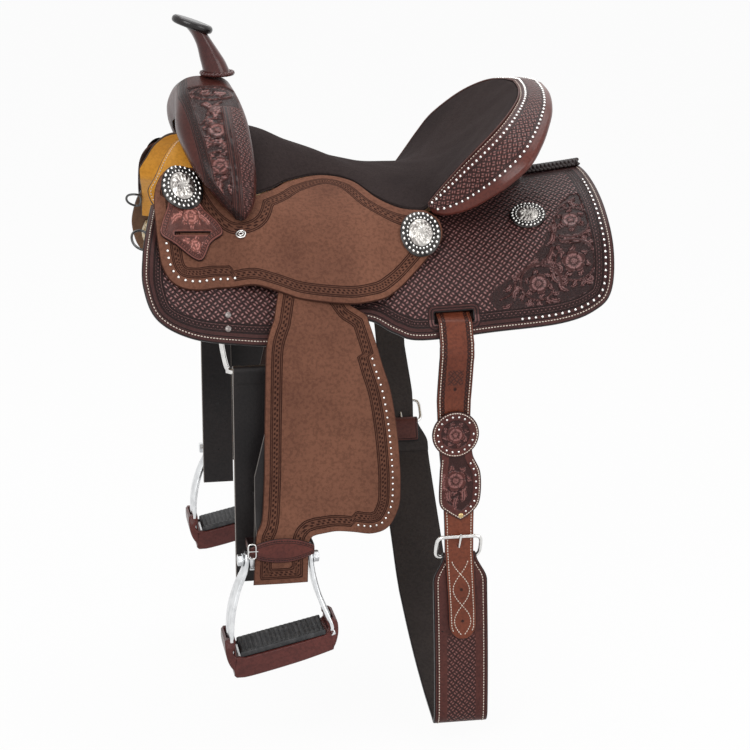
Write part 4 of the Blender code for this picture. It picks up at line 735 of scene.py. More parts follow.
def skirt_flowers(flat):
    curls = [(scroll(0.243, 0.148, 0.0215, 2.2, -0.95), 1), (scroll(0.236, 0.215, 0.0245, -1.9, 0.97), -1),
        (scroll(0.185, 0.24, 0.0215, 0.2, -0.95), 1)]
    shapes = []
    for path, way in curls:
        shapes += leafy(flat, path, 0.0125, 0.0068, 0.75 * way)
        shapes.append(vine(flat, path, 0.005))
    shapes += [vine(flat, [(0.256, 0.106), (0.235, 0.118), (0.218, 0.142), (0.216, 0.166), (0.228, 0.184),
        (0.248, 0.187)], 0.0046), vine(flat, [(0.212, 0.19), (0.198, 0.208), (0.176, 0.214), (0.157, 0.228),
        (0.149, 0.248), (0.131, 0.256)], 0.0046)]
    for base, tip, wide, curl in (((0.215, 0.164), (0.199, 0.186), 0.0085, -0.25),
            ((0.22, 0.15), (0.208, 0.164), 0.007, -0.2), ((0.256, 0.178), (0.264, 0.196), 0.007, 0.2),
            ((0.262, 0.166), (0.266, 0.182), 0.006, 0.2), ((0.21, 0.196), (0.206, 0.222), 0.009, 0.2),
            ((0.206, 0.224), (0.215, 0.244), 0.0085, 0.2), ((0.212, 0.24), (0.226, 0.256), 0.008, 0.2),
            ((0.248, 0.242), (0.262, 0.248), 0.008, 0.2), ((0.198, 0.262), (0.214, 0.264), 0.007, 0.2),
            ((0.162, 0.216), (0.146, 0.23), 0.008, -0.2), ((0.16, 0.242), (0.15, 0.26), 0.0085, 0.2),
            ((0.149, 0.236), (0.134, 0.244), 0.007, -0.2), ((0.146, 0.262), (0.13, 0.265), 0.006, -0.2),
            ((0.247, 0.112), (0.262, 0.122), 0.0075, 0.2), ((0.242, 0.108), (0.26, 0.108), 0.006, 0.2),
            ((0.175, 0.21), (0.19, 0.201), 0.008, 0.2), ((0.228, 0.176), (0.244, 0.178), 0.006, 0.2),
            ((0.164, 0.264), (0.178, 0.267), 0.006, 0.1)):
        shapes.append(leaf(flat, base, tip, wide, curl))
    return bouquet(flat, [(0.243, 0.148, 0.0145, 0.3, 6), (0.236, 0.215, 0.0165, 0.9, 7),
        (0.185, 0.24, 0.0145, 0.1, 6)], shapes)


def in_spray(flat):
    """1 inside the skirt's carved corner, 0 in its basket field."""
    edge = curve(FLOWER_EDGE, 0.004)
    left = np.interp(flat[:, 1], edge[:, 1], edge[:, 0])
    framed = smooth_step(along_line(flat, skirt_outline)[0], 0.0272, 0.0285)
    return smooth_step(flat[:, 0] - left, 0.0, 0.0012) * framed * (flat[:, 1] > 0.098) * (flat[:, 1] < 0.272)


def set_back(outline, side):
    """The off skirt's front edge stands a little behind the near one's."""
    back = OFF_SKIRT_BACK if side == OFF else 0.0
    return np.stack([outline[:, 0] + back * smooth_step(-outline[:, 0], 0.235, 0.32), outline[:, 1]], 1)


def on_side(side):
    return lambda x, s, lift: on_back(x, s, lift, side)


def white_thread():
    finish, tree, shader = new_finish("waxed_thread")
    twist = ease(grain(tree, 1400.0, 2.0), 0.35, 0.65)
    plug(shader, {"Base Color": mixed(twist, dyed(236, 226, 214), dyed(196, 178, 160)),
        "Normal": bump(twist, 0.00012), "Roughness": 0.62})
    return finish


def bright_metal(name, colour, dull, low, high, scratch=420.0, pits=4e-05):
    """Metal with fine scratches and a tarnish that gathers in patches."""
    finish, tree, shader = new_finish(name)
    patch = ease(grain(tree, 85.0, 4.0), 0.38, 0.68)
    plug(shader, {"Base Color": mixed(patch, colour, dull)})
    rough = add(tree, "MapRange", {"Value": grain(tree, 160.0, 3.0), "To Min": low, "To Max": high})
    plug(shader, {"Roughness": rough})
    scored = grain(tree, scratch, 2.0, 0.5, (1.0, 1.0, 0.18))
    plug(shader, {"Normal": bump(scored * pits, 1.0), "Metallic": 1.0})
    return finish


skirt_outline = joined(curve(SKIRT_LOWER, 0.0042), curve(SKIRT_UPPER[:2], 0.0042),
    curve(SKIRT_UPPER[1:7], 0.0042), curve(SKIRT_UPPER[6:], 0.0042))
slot_loop = divided(np.array(SLOT), 0.003)[::-1]
skirt_face = leather("oiled_skirt_leather", (72, 41, 38), (56, 30, 29), (24, 11, 11), 0.4, skirt_tooling,
    (20, 14, 14), 0.0022, gloss=0.06)
flesh_side = leather("skirt_flesh_side", (120, 92, 72), (98, 74, 58), (62, 44, 36), 0.85, nap=0.3)
# Behind each billet slot lies a dark sheet: painted shade that stands in for the shadow inside the slot.
slot_shade_finish = leather("painted_slot_shade", (46, 32, 30), (34, 24, 23), (18, 12, 12), 0.6)
slot_shade_outline = np.array([(BILLET_X - 0.031, 0.262), (BILLET_X + 0.031, 0.262), (BILLET_X + 0.031, 0.292),
    (BILLET_X - 0.031, 0.292)])
thread = white_thread()
silver = bright_metal("engraved_silver", (0.8, 0.79, 0.77, 1), (0.6, 0.58, 0.56, 1), 0.14, 0.3)
skirt_marks = {"woven": lambda p: 1 - in_spray(p), "slot": lambda p: along_line(p, slot_loop)[0],
    "carved": lambda p: in_spray(p) * (1 - skirt_flowers(p)), "crest_glint": lambda p: in_spray(p)
    * crests(skirt_flowers(p))}

for word, side in SIDES.items():
    outline = set_back(skirt_outline, side)
    cut_leather(f"{word}_skirt_leather", outline, -SKIRT_THICK, 0.0, on_side(side), 0.0042,
        [skirt_face, flesh_side], "saddle", holes=[slot_loop], soften=0.0016,
        carve=lambda p: 0.0017 * in_spray(p) * (1 - skirt_flowers(p)), marks=skirt_marks,
        fine=lambda p: in_spray(p) > 0, stands_for=f"{word}_skirt", slot="dark_leather")
    # The dark sheet behind the slot: painted shade.
    cut_leather(f"{word}_slot_shade_sheet", divided(slot_shade_outline, 0.006), -0.0135, -0.0115, on_side(side), 0.006,
        [slot_shade_finish, slot_shade_finish], "saddle", slot="dark_leather")
    lower = set_back(curve(SKIRT_LOWER, 0.0042), side)
    line = inset(divided(outline, 0.004), 0.0058, 0.98)
    line = line[line[:, 1] > 0.0085]
    keep = ~((np.abs(line[:, 0] - BILLET_X) < 0.0225) & (line[:, 1] > 0.25))
    keep &= along_line(line, lower, closed=False)[0] < 0.0062
    gaps = np.where(~keep)[0]
    runs = [run for run in np.split(line, gaps) if len(run) > 3]
    frames = []
    for run in runs:
        run = run[1:] if len(run) > 4 else run
        jumps = np.where(np.linalg.norm(np.diff(run, axis=0), axis=1) > 0.02)[0] + 1
        for part in np.split(run, jumps):
            if len(part) > 3:
                frames.append(stand_on(on_side(side), ON_FACE, *stations(part, 0.004)))
    make_piece(f"{word}_skirt_stitching", set_in_rows(THREAD, join_frames(*frames)), [thread], "saddle",
        slot="dark_leather", sharp=80)
    rear = inset(divided(outline, 0.004), 0.0122, 0.98)
    rear = rear[(rear[:, 0] > 0.15) & (rear[:, 1] > 0.06)]
    make_piece(f"{word}_skirt_studs", set_in_rows(STUD, stand_on(on_side(side), ON_FACE,
        *stations(rear, 0.0088))), [silver], "saddle", slot="silver", sharp=80)

# The fleece: woolskin with its pile outwards under each skirt. It is cut back round the rigging plate and
# the billet, and glued and stitched to the skirt. The pile stands in uneven curly tufts.
FLEECE_THICK = 0.013
FLEECE_FRONT = [(-0.185, 0.104), (-0.185, 0.222), (-0.318, 0.222), (-0.322, 0.255), (-0.3, 0.284),
    (-0.262, 0.292)]
DEE_NOTCH = [(-0.262, 0.292), (-0.262, 0.25), (-0.14, 0.25), (-0.14, 0.288)]
FLEECE_LOWER = [(-0.14, 0.288), (-0.1, 0.278), (-0.05, 0.259), (-0.01, 0.278), (0.036, 0.289)]
BILLET_NOTCH = [(0.036, 0.289), (0.036, 0.232), (0.099, 0.232), (0.099, 0.288)]
FLEECE_REAR = [(0.099, 0.288), (0.205, 0.287), (0.25, 0.278), (0.272, 0.258), (0.283, 0.206), (0.284, 0.137),
    (0.281, 0.06), (0.279, 0.006)]
FLEECE_UPPER = [(0.279, 0.006), (0.207, 0.006), (0.165, 0.032), (0.1, 0.052), (0.0, 0.062), (-0.1, 0.077),
    (-0.16, 0.1), (-0.185, 0.104)]


def curly_wool():
    finish, tree, shader = new_finish("curly_wool")
    curl = add(tree, "TexVoronoi", {"Vector": own_place(tree), "Scale": 260.0}, feature="SMOOTH_F1")
    clump = grain(tree, 70.0, 5.0, 0.7)
    colour = mixed(ease(clump, 0.35, 0.65), dyed(178, 156, 120), dyed(222, 206, 174))
    colour = mixed(ease(curl, 0.35, 0.75), colour, dyed(140, 116, 84))
    height = curl * -0.0016 + clump * 0.002
    plug(shader, {"Base Color": colour, "Normal": bump(height, 1.0), "Roughness": 0.95, "Sheen Weight": 0.5,
        "Specular IOR Level": 0.15})
    return finish


def tufts(x, s, size):
    """Uneven lumps, 0 to 1, from waves that cross at odd angles."""
    a = np.sin(x * size + 1.7 * np.sin(s * size * 0.83)) * np.sin(s * size * 1.13
        + 1.3 * np.sin(x * size * 0.71))
    b = np.sin((x + s) * size * 1.9 + 2.0 * np.sin((x - s) * size * 1.3))
    return 0.5 + 0.32 * a + 0.18 * b


fleece_outline = joined(np.array(FLEECE_FRONT[:3]), curve(FLEECE_FRONT[2:], 0.006), np.array(DEE_NOTCH),
    curve(FLEECE_LOWER, 0.006), np.array(BILLET_NOTCH), curve(FLEECE_REAR, 0.006),
    np.array(FLEECE_UPPER[:2]), curve(FLEECE_UPPER[1:7], 0.006), np.array(FLEECE_UPPER[6:]))
wool = curly_wool()
FLEECE_TOP = -SKIRT_THICK - 0.0012
for word, side in SIDES.items():
    fleece = cut_leather(f"{word}_woolskin", divided(set_back(fleece_outline, side), 0.006),
        lambda x, s: FLEECE_TOP - FLEECE_THICK + 0.0045 * (1 - tufts(x, s, 420.0)), FLEECE_TOP,
        on_side(side), 0.0055, [wool], "saddle", soften=0.0045, stands_for=f"{word}_fleece", slot="wool",
        sharp=80)

# The lacing: flat dark thongs that braid the two skirts together along the ridge behind the cantle.
# Three plies cross over each other, and a knot holds the rear end.
BRAID_FROM, BRAID_TO = 0.208, 0.2855


def of_rings(rings, closed=False):
    """Points and faces of a tube, a plate or, closed, a belt, from rings of as many points each."""
    rings = np.asarray(rings)
    count, around = rings.shape[:2]
    faces = []
    for i in range(count if closed else count - 1):
        a, b = i * around, (i + 1) % count * around
        faces += [(a + k, a + (k + 1) % around, b + (k + 1) % around, b + k) for k in range(around)]
    if not closed:
        faces += [tuple(range(around))[::-1], tuple(range((count - 1) * around, count * around))]
    return rings.reshape(-1, 3), faces


def sweep(path, radius, around, wide=1.0, closed=False, up=(0, 0, 1)):
    """Points and faces of a closed tube along a path, flattened where wide is over 1."""
    path = np.asarray(path, float)
    count = len(path)
    ahead = np.roll(path, -1, 0) - np.roll(path, 1, 0) if closed else np.gradient(path, axis=0)
    way = unit(ahead)
    side = np.cross(way, np.array(up, float))
    side = unit(np.where(np.linalg.norm(side, axis=1)[:, None] < 0.001, [[1.0, 0, 0]], side))
    out = np.cross(side, way)
    t = np.arange(around) * 2 * math.pi / around
    r = np.broadcast_to(np.asarray(radius, float), (count,))[:, None, None]
    points = path[:, None] + r * (np.cos(t)[None, :, None] * side[:, None] * wide
        + np.sin(t)[None, :, None] * out[:, None])
    return of_rings(points, closed)


def put_together(*shapes):
    """Several (points, faces) as one."""
    points, faces, first = [], [], 0
    for some, those in shapes:
        points.append(np.asarray(some))
        faces += [tuple(i + first for i in face) for face in those]
        first += len(some)
    return np.concatenate(points), faces


braid_leather = leather("braided_thong", (58, 44, 42), (38, 29, 29), (14, 10, 10), 0.4, gloss=0.15)
plies = []
for ply in range(3):
    t = np.linspace(0, 1, 150)
    phase = t * math.pi * 2 * 4.5 + ply * 2 * math.pi / 3
    x = BRAID_FROM + (BRAID_TO - BRAID_FROM) * t
    ridge = barrel_level(x) + BARREL_DROP
    path = np.stack([x, 0.0066 * np.sin(phase), ridge + 0.0052 + 0.0026 * np.cos(2 * phase)], 1)
    plies.append(sweep(path, 0.0027, 10, 1.5))
knot = BRAID_TO - 0.002
ring = [(knot, 0.009 * math.cos(a), float(barrel_level(knot)) + BARREL_DROP + 0.004 + 0.0036 * math.sin(a))
    for a in np.linspace(0, 2 * math.pi, 20, endpoint=False)]
plies.append(sweep(ring, 0.0017, 8, 1.2, closed=True, up=(1, 0, 0)))
points, faces = put_together(*plies)
make_piece("ridge_lacing", (points, faces), [braid_leather], "saddle", stands_for="skirt_lacing",
    slot="black_leather", sharp=80)

# The jockeys: the seat's side leathers, cut from hide with the rough side out. A chain border is stamped
# along the whole edge, and silver studs follow it round the front corner.
JOCKEY_THICK, STACK_TOP = 0.0042, 0.0118
SWING_X, SWING_S = -0.14, 0.25
SEAT_LINE = [(-0.18, 0.108), (-0.155, 0.092), (-0.129, 0.069), (-0.084, 0.048), (-0.046, 0.063),
    (-0.019, 0.1035), (0.01, 0.126), (0.041, 0.132)]
JOCKEY_LOWER = [(-0.264, 0.088), (-0.289, 0.092), (-0.306, 0.108), (-0.314, 0.13), (-0.3145, 0.166),
    (-0.313, 0.194), (-0.31, 0.219), (-0.301, 0.2365), (-0.286, 0.245), (-0.262, 0.245), (-0.236, 0.239),
    (-0.196, 0.237), (-0.162, 0.243), (-0.131, 0.251), (-0.078, 0.257), (-0.0515, 0.256), (-0.024, 0.249),
    (-0.001, 0.232), (0.021, 0.211), (0.043, 0.19), (0.061, 0.172), (0.06, 0.15), (0.044, 0.1346)]
FORK_NOTCH = [(-0.18, 0.1092), (-0.19, 0.137), (-0.207, 0.1455), (-0.2215, 0.1375), (-0.235, 0.118),
    (-0.2475, 0.0965), (-0.258, 0.0868), (-0.264, 0.088)]
KEEPER_HEAD = -0.2772, 0.124
KEEPER_BODY = [(-0.2985, 0.147), (-0.307, 0.166), (-0.309, 0.18), (-0.292, 0.19), (-0.261, 0.207),
    (-0.245, 0.184), (-0.229, 0.172), (-0.234, 0.16), (-0.25, 0.147)]


def jockey_under(x, s):
    over_tree = 0.026 + 0.018 * smooth_step(-x, 0.215, 0.262) * smooth_step(0.15 - s, 0.0, 0.055)
    over_tree = over_tree - 0.008 * smooth_step(-x, 0.285, 0.315)
    crown = 0.092 * np.minimum(np.hypot(x - SWING_X, 0.006) - 0.006, 0.064)
    spread = np.maximum(smooth_step(SWING_X - x, 0.045, 0.09), smooth_step(x - SWING_X, 0.095, 0.15))
    edge = (STACK_TOP + crown) * (1 - spread) + 0.0009 * spread
    return over_tree + (edge - over_tree) * smooth_step(s, 0.135, 0.212)


def jockey_top(x, s):
    return jockey_under(x, s) + JOCKEY_THICK


def chain_border(tree):
    """Two pairs of cut lines with a stamped chain of hooked bars between them."""
    along, depth = places(tree, "edge")
    rails = line_at(depth, 0.0078, 0.01, 0.019, 0.0212, half=0.0009)
    middle = depth - 0.0145
    upper = figure("GREATER_THAN", middle, 0.0)
    step = along / 0.0064 + upper * 0.5
    step = step + middle * 70.0
    bar = 1.0 - ease(abs(figure("FRACT", step) - 0.5), 0.22, 0.3)
    reach = between(abs(middle), 0.0004, 0.0027)
    chain = bar * reach
    dark = most(rails, chain)
    band = between(depth, 0.0078, 0.0212, 0.0008)
    dark = most(dark, band * 0.28)
    return dark, dark * 0.0012, None


def in_jockey_corner(flat):
    """1 in the front lower corner of the jockey, where studs take the outer place of the border."""
    x, s = flat.T
    low = np.maximum(smooth_step(s, 0.178, 0.182), smooth_step(-x, 0.268, 0.272))
    return smooth_step(-x, 0.218, 0.222) * smooth_step(s, 0.128, 0.132) * low


def border_shift(flat):
    """How much further in the border is stamped: beside the studs, the seat and the fork."""
    above = along_line(flat, np.concatenate([curve(FORK_NOTCH[::-1], 0.004), seat_edge]), closed=False)[0]
    below = along_line(flat, curve(JOCKEY_LOWER, 0.004), closed=False)[0]
    return 0.008 * in_jockey_corner(flat) + 0.0042 * smooth_step(below - above, -0.004, 0.012)


seat_edge = curve(SEAT_LINE, 0.004) + np.array([0.0, 0.0012])
jockey_outline = joined(curve(JOCKEY_LOWER, 0.004), seat_edge[::-1], curve(FORK_NOTCH, 0.004))
roughout = leather("roughout_hide", (121, 81, 64), (98, 64, 51), (40, 20, 16), 0.8, chain_border,
    (62, 36, 28), 0.0013, nap=0.35, depth=0.00022)
smooth_back = leather("smooth_back", (60, 42, 36), (44, 30, 27), (22, 14, 12), 0.55)
keeper_outline_rough = curve(KEEPER_BODY, 0.004)
for word, side in SIDES.items():
    cut_leather(f"{word}_seat_jockey", jockey_outline, jockey_under, jockey_top, on_side(side), 0.0045,
        [roughout, smooth_back], "saddle", shift=border_shift, stands_for=f"{word}_jockey", slot="roughout")
    line = inset(jockey_outline, 0.0112, 0.98)
    line = line[(line[:, 0] < -0.212) & (line[:, 1] > 0.172) & (along_line(line, curve(JOCKEY_LOWER, 0.004),
        closed=False)[0] < 0.0125)]
    spots, ways = stations(line, 0.0092)
    clear = ~inside(spots, keeper_outline_rough)
    clear &= along_line(spots, keeper_outline_rough)[0] > 0.0022
    clear &= np.linalg.norm(spots - np.array(KEEPER_HEAD), axis=1) > 0.03
    make_piece(f"{word}_jockey_studs", set_in_rows(STUD, stand_on(on_side(side), jockey_top, spots[clear],
        ways[clear])), [silver], "saddle", slot="silver", sharp=80)
    rings = []
    start, along, across, out = stand_on(on_side(side), jockey_top, np.array([[-0.2055, 0.1715]]),
        np.array([[1.0, 0.0]]))
    t = np.linspace(0, 2 * math.pi, 32, endpoint=False)[:, None]
    for radius, wire, high in ((0.0058, 0.0013, 0.0008), (0.0028, 0.0011, 0.0016)):
        ring = start + out * high + radius * (np.cos(t) * along + np.sin(t) * across)
        rings.append(sweep(ring, wire, 8, closed=True, up=tuple(out[0])))
    dish, dish_faces = ball(4, 20, long=0.0052, wide=0.0052, high=0.0012, low=0.0002)
    rings.append((start + dish[:, :1] * along + dish[:, 1:2] * across + dish[:, 2:] * out, dish_faces))
    points, faces = put_together(*rings)
    count = len(rings[0][1]) + len(rings[1][1])
    make_piece(f"{word}_ring_screw", (points, faces), [silver, smooth_back], "saddle", slot="silver",
        finish_of=[0] * count + [1] * (len(faces) - count), sharp=80)

# The rope keepers: a red-brown tooled leather under each front concho, with a slot for a strap. It is
# screwed down with the concho through the jockey into the tree's bar.
KEEPER_THICK = 0.0032
KEEPER_SLOT = [(-0.291, 0.1765), (-0.245, 0.1715), (-0.245, 0.1745), (-0.291, 0.1795)]


def round_points(centre, radius, count, first=0.0, last=2 * math.pi):
    full = abs(last - first) > 6.28
    turns = np.linspace(first, last, count, endpoint=not full)
    return np.stack([centre[0] + radius * np.cos(turns), centre[1] + radius * np.sin(turns)], 1)


def keeper_height(x, s):
    return jockey_top(x, s) + 0.0014 + KEEPER_THICK


def keeper_tooling(tree):
    along, depth = places(tree, "edge")
    rails = line_at(depth, 0.0028, 0.0072, half=0.0006)
    beads = abs(figure("SINE", along * 900.0))
    beads = ease(beads, 0.25, 0.75) * between(depth, 0.0036, 0.0066)
    carved = mark_of(tree, "carved")
    stipple = carved * pores(tree, 700.0)
    dark = most(rails, beads * 0.8, carved * 0.62)
    cut = most(rails, beads) * 0.0004 + stipple * 0.0004
    # The carving's crests get a painted highlight in the colour.
    return dark, cut, mark_of(tree, "crest_glint") * 0.2


def keeper_flowers(flat):
    return bouquet(flat, [(-0.269, 0.156, 0.0105, 0.3, 7), (-0.265, 0.189, 0.008, 0.9, 5)],
        [leaf(flat, (-0.279, 0.156), (-0.296, 0.169), 0.008), leaf(flat, (-0.259, 0.154), (-0.245, 0.166),
        0.008, -0.15), leaf(flat, (-0.273, 0.145), (-0.286, 0.144), 0.007),
        leaf(flat, (-0.264, 0.145), (-0.254, 0.14), 0.007), leaf(flat, (-0.272, 0.187), (-0.284, 0.184),
        0.006), leaf(flat, (-0.258, 0.187), (-0.248, 0.179), 0.006)])


def keeper_ground(flat):
    field = smooth_step(along_line(flat, keeper_outline)[0], 0.0076, 0.0084)
    clear = smooth_step(along_line(flat, keeper_slot)[0], 0.0018, 0.0028)
    return field * clear * (1 - keeper_flowers(flat))


keeper_outline = joined(curve(KEEPER_BODY, 0.003), round_points(KEEPER_HEAD, 0.0205, 34, math.radians(30),
    math.radians(-210)))
keeper_slot = divided(np.array(KEEPER_SLOT), 0.0025)
keeper_leather = leather("tooled_keeper", (130, 78, 68), (102, 57, 50), (40, 19, 18), 0.4, keeper_tooling,
    (38, 18, 16), 0.0009, gloss=0.08)
for word, side in SIDES.items():
    cut_leather(f"{word}_keeper_leather", keeper_outline, lambda x, s: jockey_top(x, s) + 0.0014,
        keeper_height, on_side(side), 0.0012, [keeper_leather, smooth_back], "saddle", holes=[keeper_slot],
        soften=0.001, carve=lambda p: 0.001 * keeper_ground(p), marks={"carved": keeper_ground,
        "crest_glint": lambda p: crests(keeper_flowers(p))}, stands_for=f"{word}_rope_keeper", slot="red_leather")

# The conchos: round domed silver plates with a blackened ground, two rings of beads and a cut flower in
# the middle. One holds each keeper, one each jockey's rear corner, one each skirt.
CONCHO_RADIUS, SKIRT_CONCHO_RADIUS = 0.027, 0.0245
blackened = bright_metal("blackened_silver", (0.055, 0.052, 0.05, 1), (0.02, 0.019, 0.019, 1), 0.34, 0.55)
cast_silver = bright_metal("cast_silver", (0.5, 0.48, 0.45, 1), (0.24, 0.22, 0.21, 1), 0.24, 0.44,
    pits=0.00014)


def plate_grid(profile, turns, wave=None):
    """A closed round plate from (radius, height) pairs, with its rim waved if a rule says so."""
    t = np.arange(turns) * 2 * math.pi / turns
    rings = []
    for radius, high in profile:
        lift = high + (wave(radius, t) if wave else 0.0)
        rings.append(np.stack([radius * np.cos(t), radius * np.sin(t), np.broadcast_to(lift, t.shape)], 1))
    return of_rings(rings)


def concho_shapes(radius):
    """The blackened plate, and the bright beads and flower that stand on it, in the plate's own frame."""
    ground = plate_grid([(radius * 0.93, 0.0), (radius * 0.985, 0.0006), (radius, 0.0014),
        (radius * 0.97, 0.0021), (radius * 0.9, 0.0024), (radius * 0.6, 0.0028), (radius * 0.3, 0.0032),
        (radius * 0.05, 0.0033)], 64)
    bright = []
    for share, size, count in ((0.865, 0.0019, 24), (0.665, 0.00145, 24)):
        bead, bead_faces = ball(5, 10, size, size, size * 0.95, size * 0.6)
        for k in range(count):
            a = (k + 0.5 * (share < 0.8)) * 2 * math.pi / count
            spot = np.array([radius * share * math.cos(a), radius * share * math.sin(a), 0.0026])
            bright.append((bead + spot, bead_faces))

    def cut(r, t):
        share = r / radius
        petals = 0.0014 * np.abs(np.cos(6 * t)) * smooth_step(share, 0.16, 0.3) * smooth_step(0.6 - share, 0,
            0.2)
        swirl = 0.0005 * np.cos(9 * t + share * 26) * smooth_step(share, 0.1, 0.2)
        return petals + swirl

    dome = [(radius * 0.58, 0.0024), (radius * 0.585, 0.003)]
    dome += [(radius * r, 0.0034 + 0.0022 * (1 - (r / 0.58) ** 2)) for r in np.linspace(0.56, 0.03, 16)]
    bright.append(plate_grid(dome, 72, lambda r, t: cut(r, t) if r < radius * 0.57 else 0.0))
    return ground, put_together(*bright), len(bright[-1][1])


conchos = {"front": (KEEPER_HEAD, CONCHO_RADIUS, lambda x, s: keeper_height(x, s) + 0.001),
    "rear": ((0.0325, 0.166), CONCHO_RADIUS, lambda x, s: jockey_top(x, s) + 0.0013),
    "skirt": ((0.187, 0.13), SKIRT_CONCHO_RADIUS, lambda x, s: 0.0006 + 0 * x)}
for word, side in SIDES.items():
    for where, (centre, radius, base) in conchos.items():
        ground, bright, dome = concho_shapes(radius)
        points, faces = put_together(ground, bright)
        place = on_back(centre[0] + points[:, 0], centre[1] + points[:, 1],
            base(centre[0] + points[:, 0], centre[1] + points[:, 1]) + points[:, 2], side)
        count = len(ground[1])
        make_piece(f"{word}_{where}_concho_plate", (place, faces), [blackened, silver, cast_silver],
            "saddle", stands_for=f"{word}_{where}_concho", slot="silver",
            finish_of=[0] * count + [1] * (len(faces) - count - dome) + [2] * dome, sharp=60)

# The tree: wooden bars, fork core, ground seat and cantle board, all hidden under leather. They stay as
# in the CAD, with a finish of pale wood along the grain.
BARE_WOOD = "tree_bar_near", "tree_bar_off", "fork", "ground_seat", "cantle_board"


def tree_wood():
    finish, tree, shader = new_finish("tree_wood")
    rings = grain(tree, 26.0, 5.0, 0.6, (0.25, 4.0, 4.0))
    fibre = grain(tree, 130.0, 3.0, 0.6, (0.12, 3.0, 3.0))
    colour = mixed(ease(rings, 0.35, 0.65), dyed(186, 150, 106), dyed(150, 112, 72))
    colour = mixed(ease(fibre, 0.5, 0.7) * 0.5, colour, dyed(104, 74, 46))
    plug(shader, {"Base Color": colour, "Normal": bump(fibre, 0.0006), "Roughness": 0.6})
    return finish


def dress(finish, *nodes):
    for node in nodes:
        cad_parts[node].data.materials.clear()
        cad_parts[node].data.materials.append(finish)


dress(tree_wood(), *BARE_WOOD)

# The gullet lining: smooth golden leather that follows the arch under the fork and turns out in front. It
# is stitched along its front edge, bound dark behind, and riveted to the fork.
LINER_THICK = 0.003
LINER_PATH = [(-0.1755, -0.0458), (-0.1445, -0.0148), (-0.1147, 0.0076), (-0.0942, 0.0182),
    (-0.0812, 0.0284), (-0.08, 0.048), (-0.076, 0.066), (-0.065, 0.085), (-0.045, 0.1), (-0.02, 0.1075),
    (0.0, 0.1095)]
LINER_FRONT = {NEAR: [-0.328, -0.3225, -0.3155, -0.312, -0.316, -0.318, -0.308, -0.297, -0.283, -0.268,
    -0.262], OFF: [-0.31, -0.3115, -0.314, -0.3165, -0.3175, -0.3175, -0.308, -0.297, -0.283, -0.268,
    -0.262]}
LINER_REAR = [-0.191, -0.191, -0.19, -0.188, -0.187, -0.186, -0.186, -0.186, -0.186, -0.186, -0.186]


def spread(count):
    """Shares from 0 to 1 with extra places close to both ends, for a softened edge."""
    ends = np.array([0, 0.0036, 0.012])
    return np.concatenate([ends, np.linspace(0, 1, count + 2)[1:-1], 1 - ends[::-1]])


def shell(name, outer, inner, finishes, body, soften=0.0, maps=None, marks=None, **how):
    """A closed leather between two grids of points, its face and its back."""
    rows, columns = outer.shape[:2]

    def reach(axis):
        steps = np.linalg.norm(np.diff(outer, axis=axis), axis=2)
        start = np.zeros((1, columns) if axis == 0 else (rows, 1))
        run = np.concatenate([start, np.cumsum(steps, axis=axis)], axis=axis)
        last = run[-1:, :] if axis == 0 else run[:, -1:]
        return run, np.minimum(run, last - run)

    down, down_gap = reach(0)
    over, over_gap = reach(1)
    rim = np.minimum(down_gap, over_gap)
    if soften:
        off = soften - np.sqrt(np.maximum(soften ** 2 - np.maximum(soften - rim, 0) ** 2, 0))
        way = unit(outer - inner)
        outer, inner = outer - way * off[..., None], inner + way * off[..., None] * 0.6
    count = rows * columns
    index = np.arange(count).reshape(rows, columns)
    face = np.stack([index[:-1, :-1], index[1:, :-1], index[1:, 1:], index[:-1, 1:]], -1).reshape(-1, 4)
    ring = np.concatenate([index[0], index[1:, -1], index[-1, -2::-1], index[-2:0:-1, 0]])
    edge = [(a, b, b + count, a + count) for a, b in zip(ring, np.roll(ring, -1))]
    faces = face.tolist() + (face[:, ::-1] + count).tolist() + edge
    finish_of = [0] * len(face) + [len(finishes) - 1] * len(face) + [0] * len(edge)
    flat = {"flat": np.tile(np.stack([over, down], -1).reshape(-1, 2), (2, 1))}
    for word, value in (maps or {}).items():
        flat[word] = np.tile(value.reshape(-1, 2), (2, 1))
    found = {"rim": np.tile(rim.ravel(), 2)}
    for word, value in (marks or {}).items():
        back = 1.0 if word in ("hole", "seam", "slit_shade") else 0.0
        found[word] = np.concatenate([value.ravel(), np.full(count, back)])
    points = np.concatenate([outer.reshape(-1, 3), inner.reshape(-1, 3)])
    return make_piece(name, (points, faces), finishes, body, maps=flat, marks=found, finish_of=finish_of,
        **how)


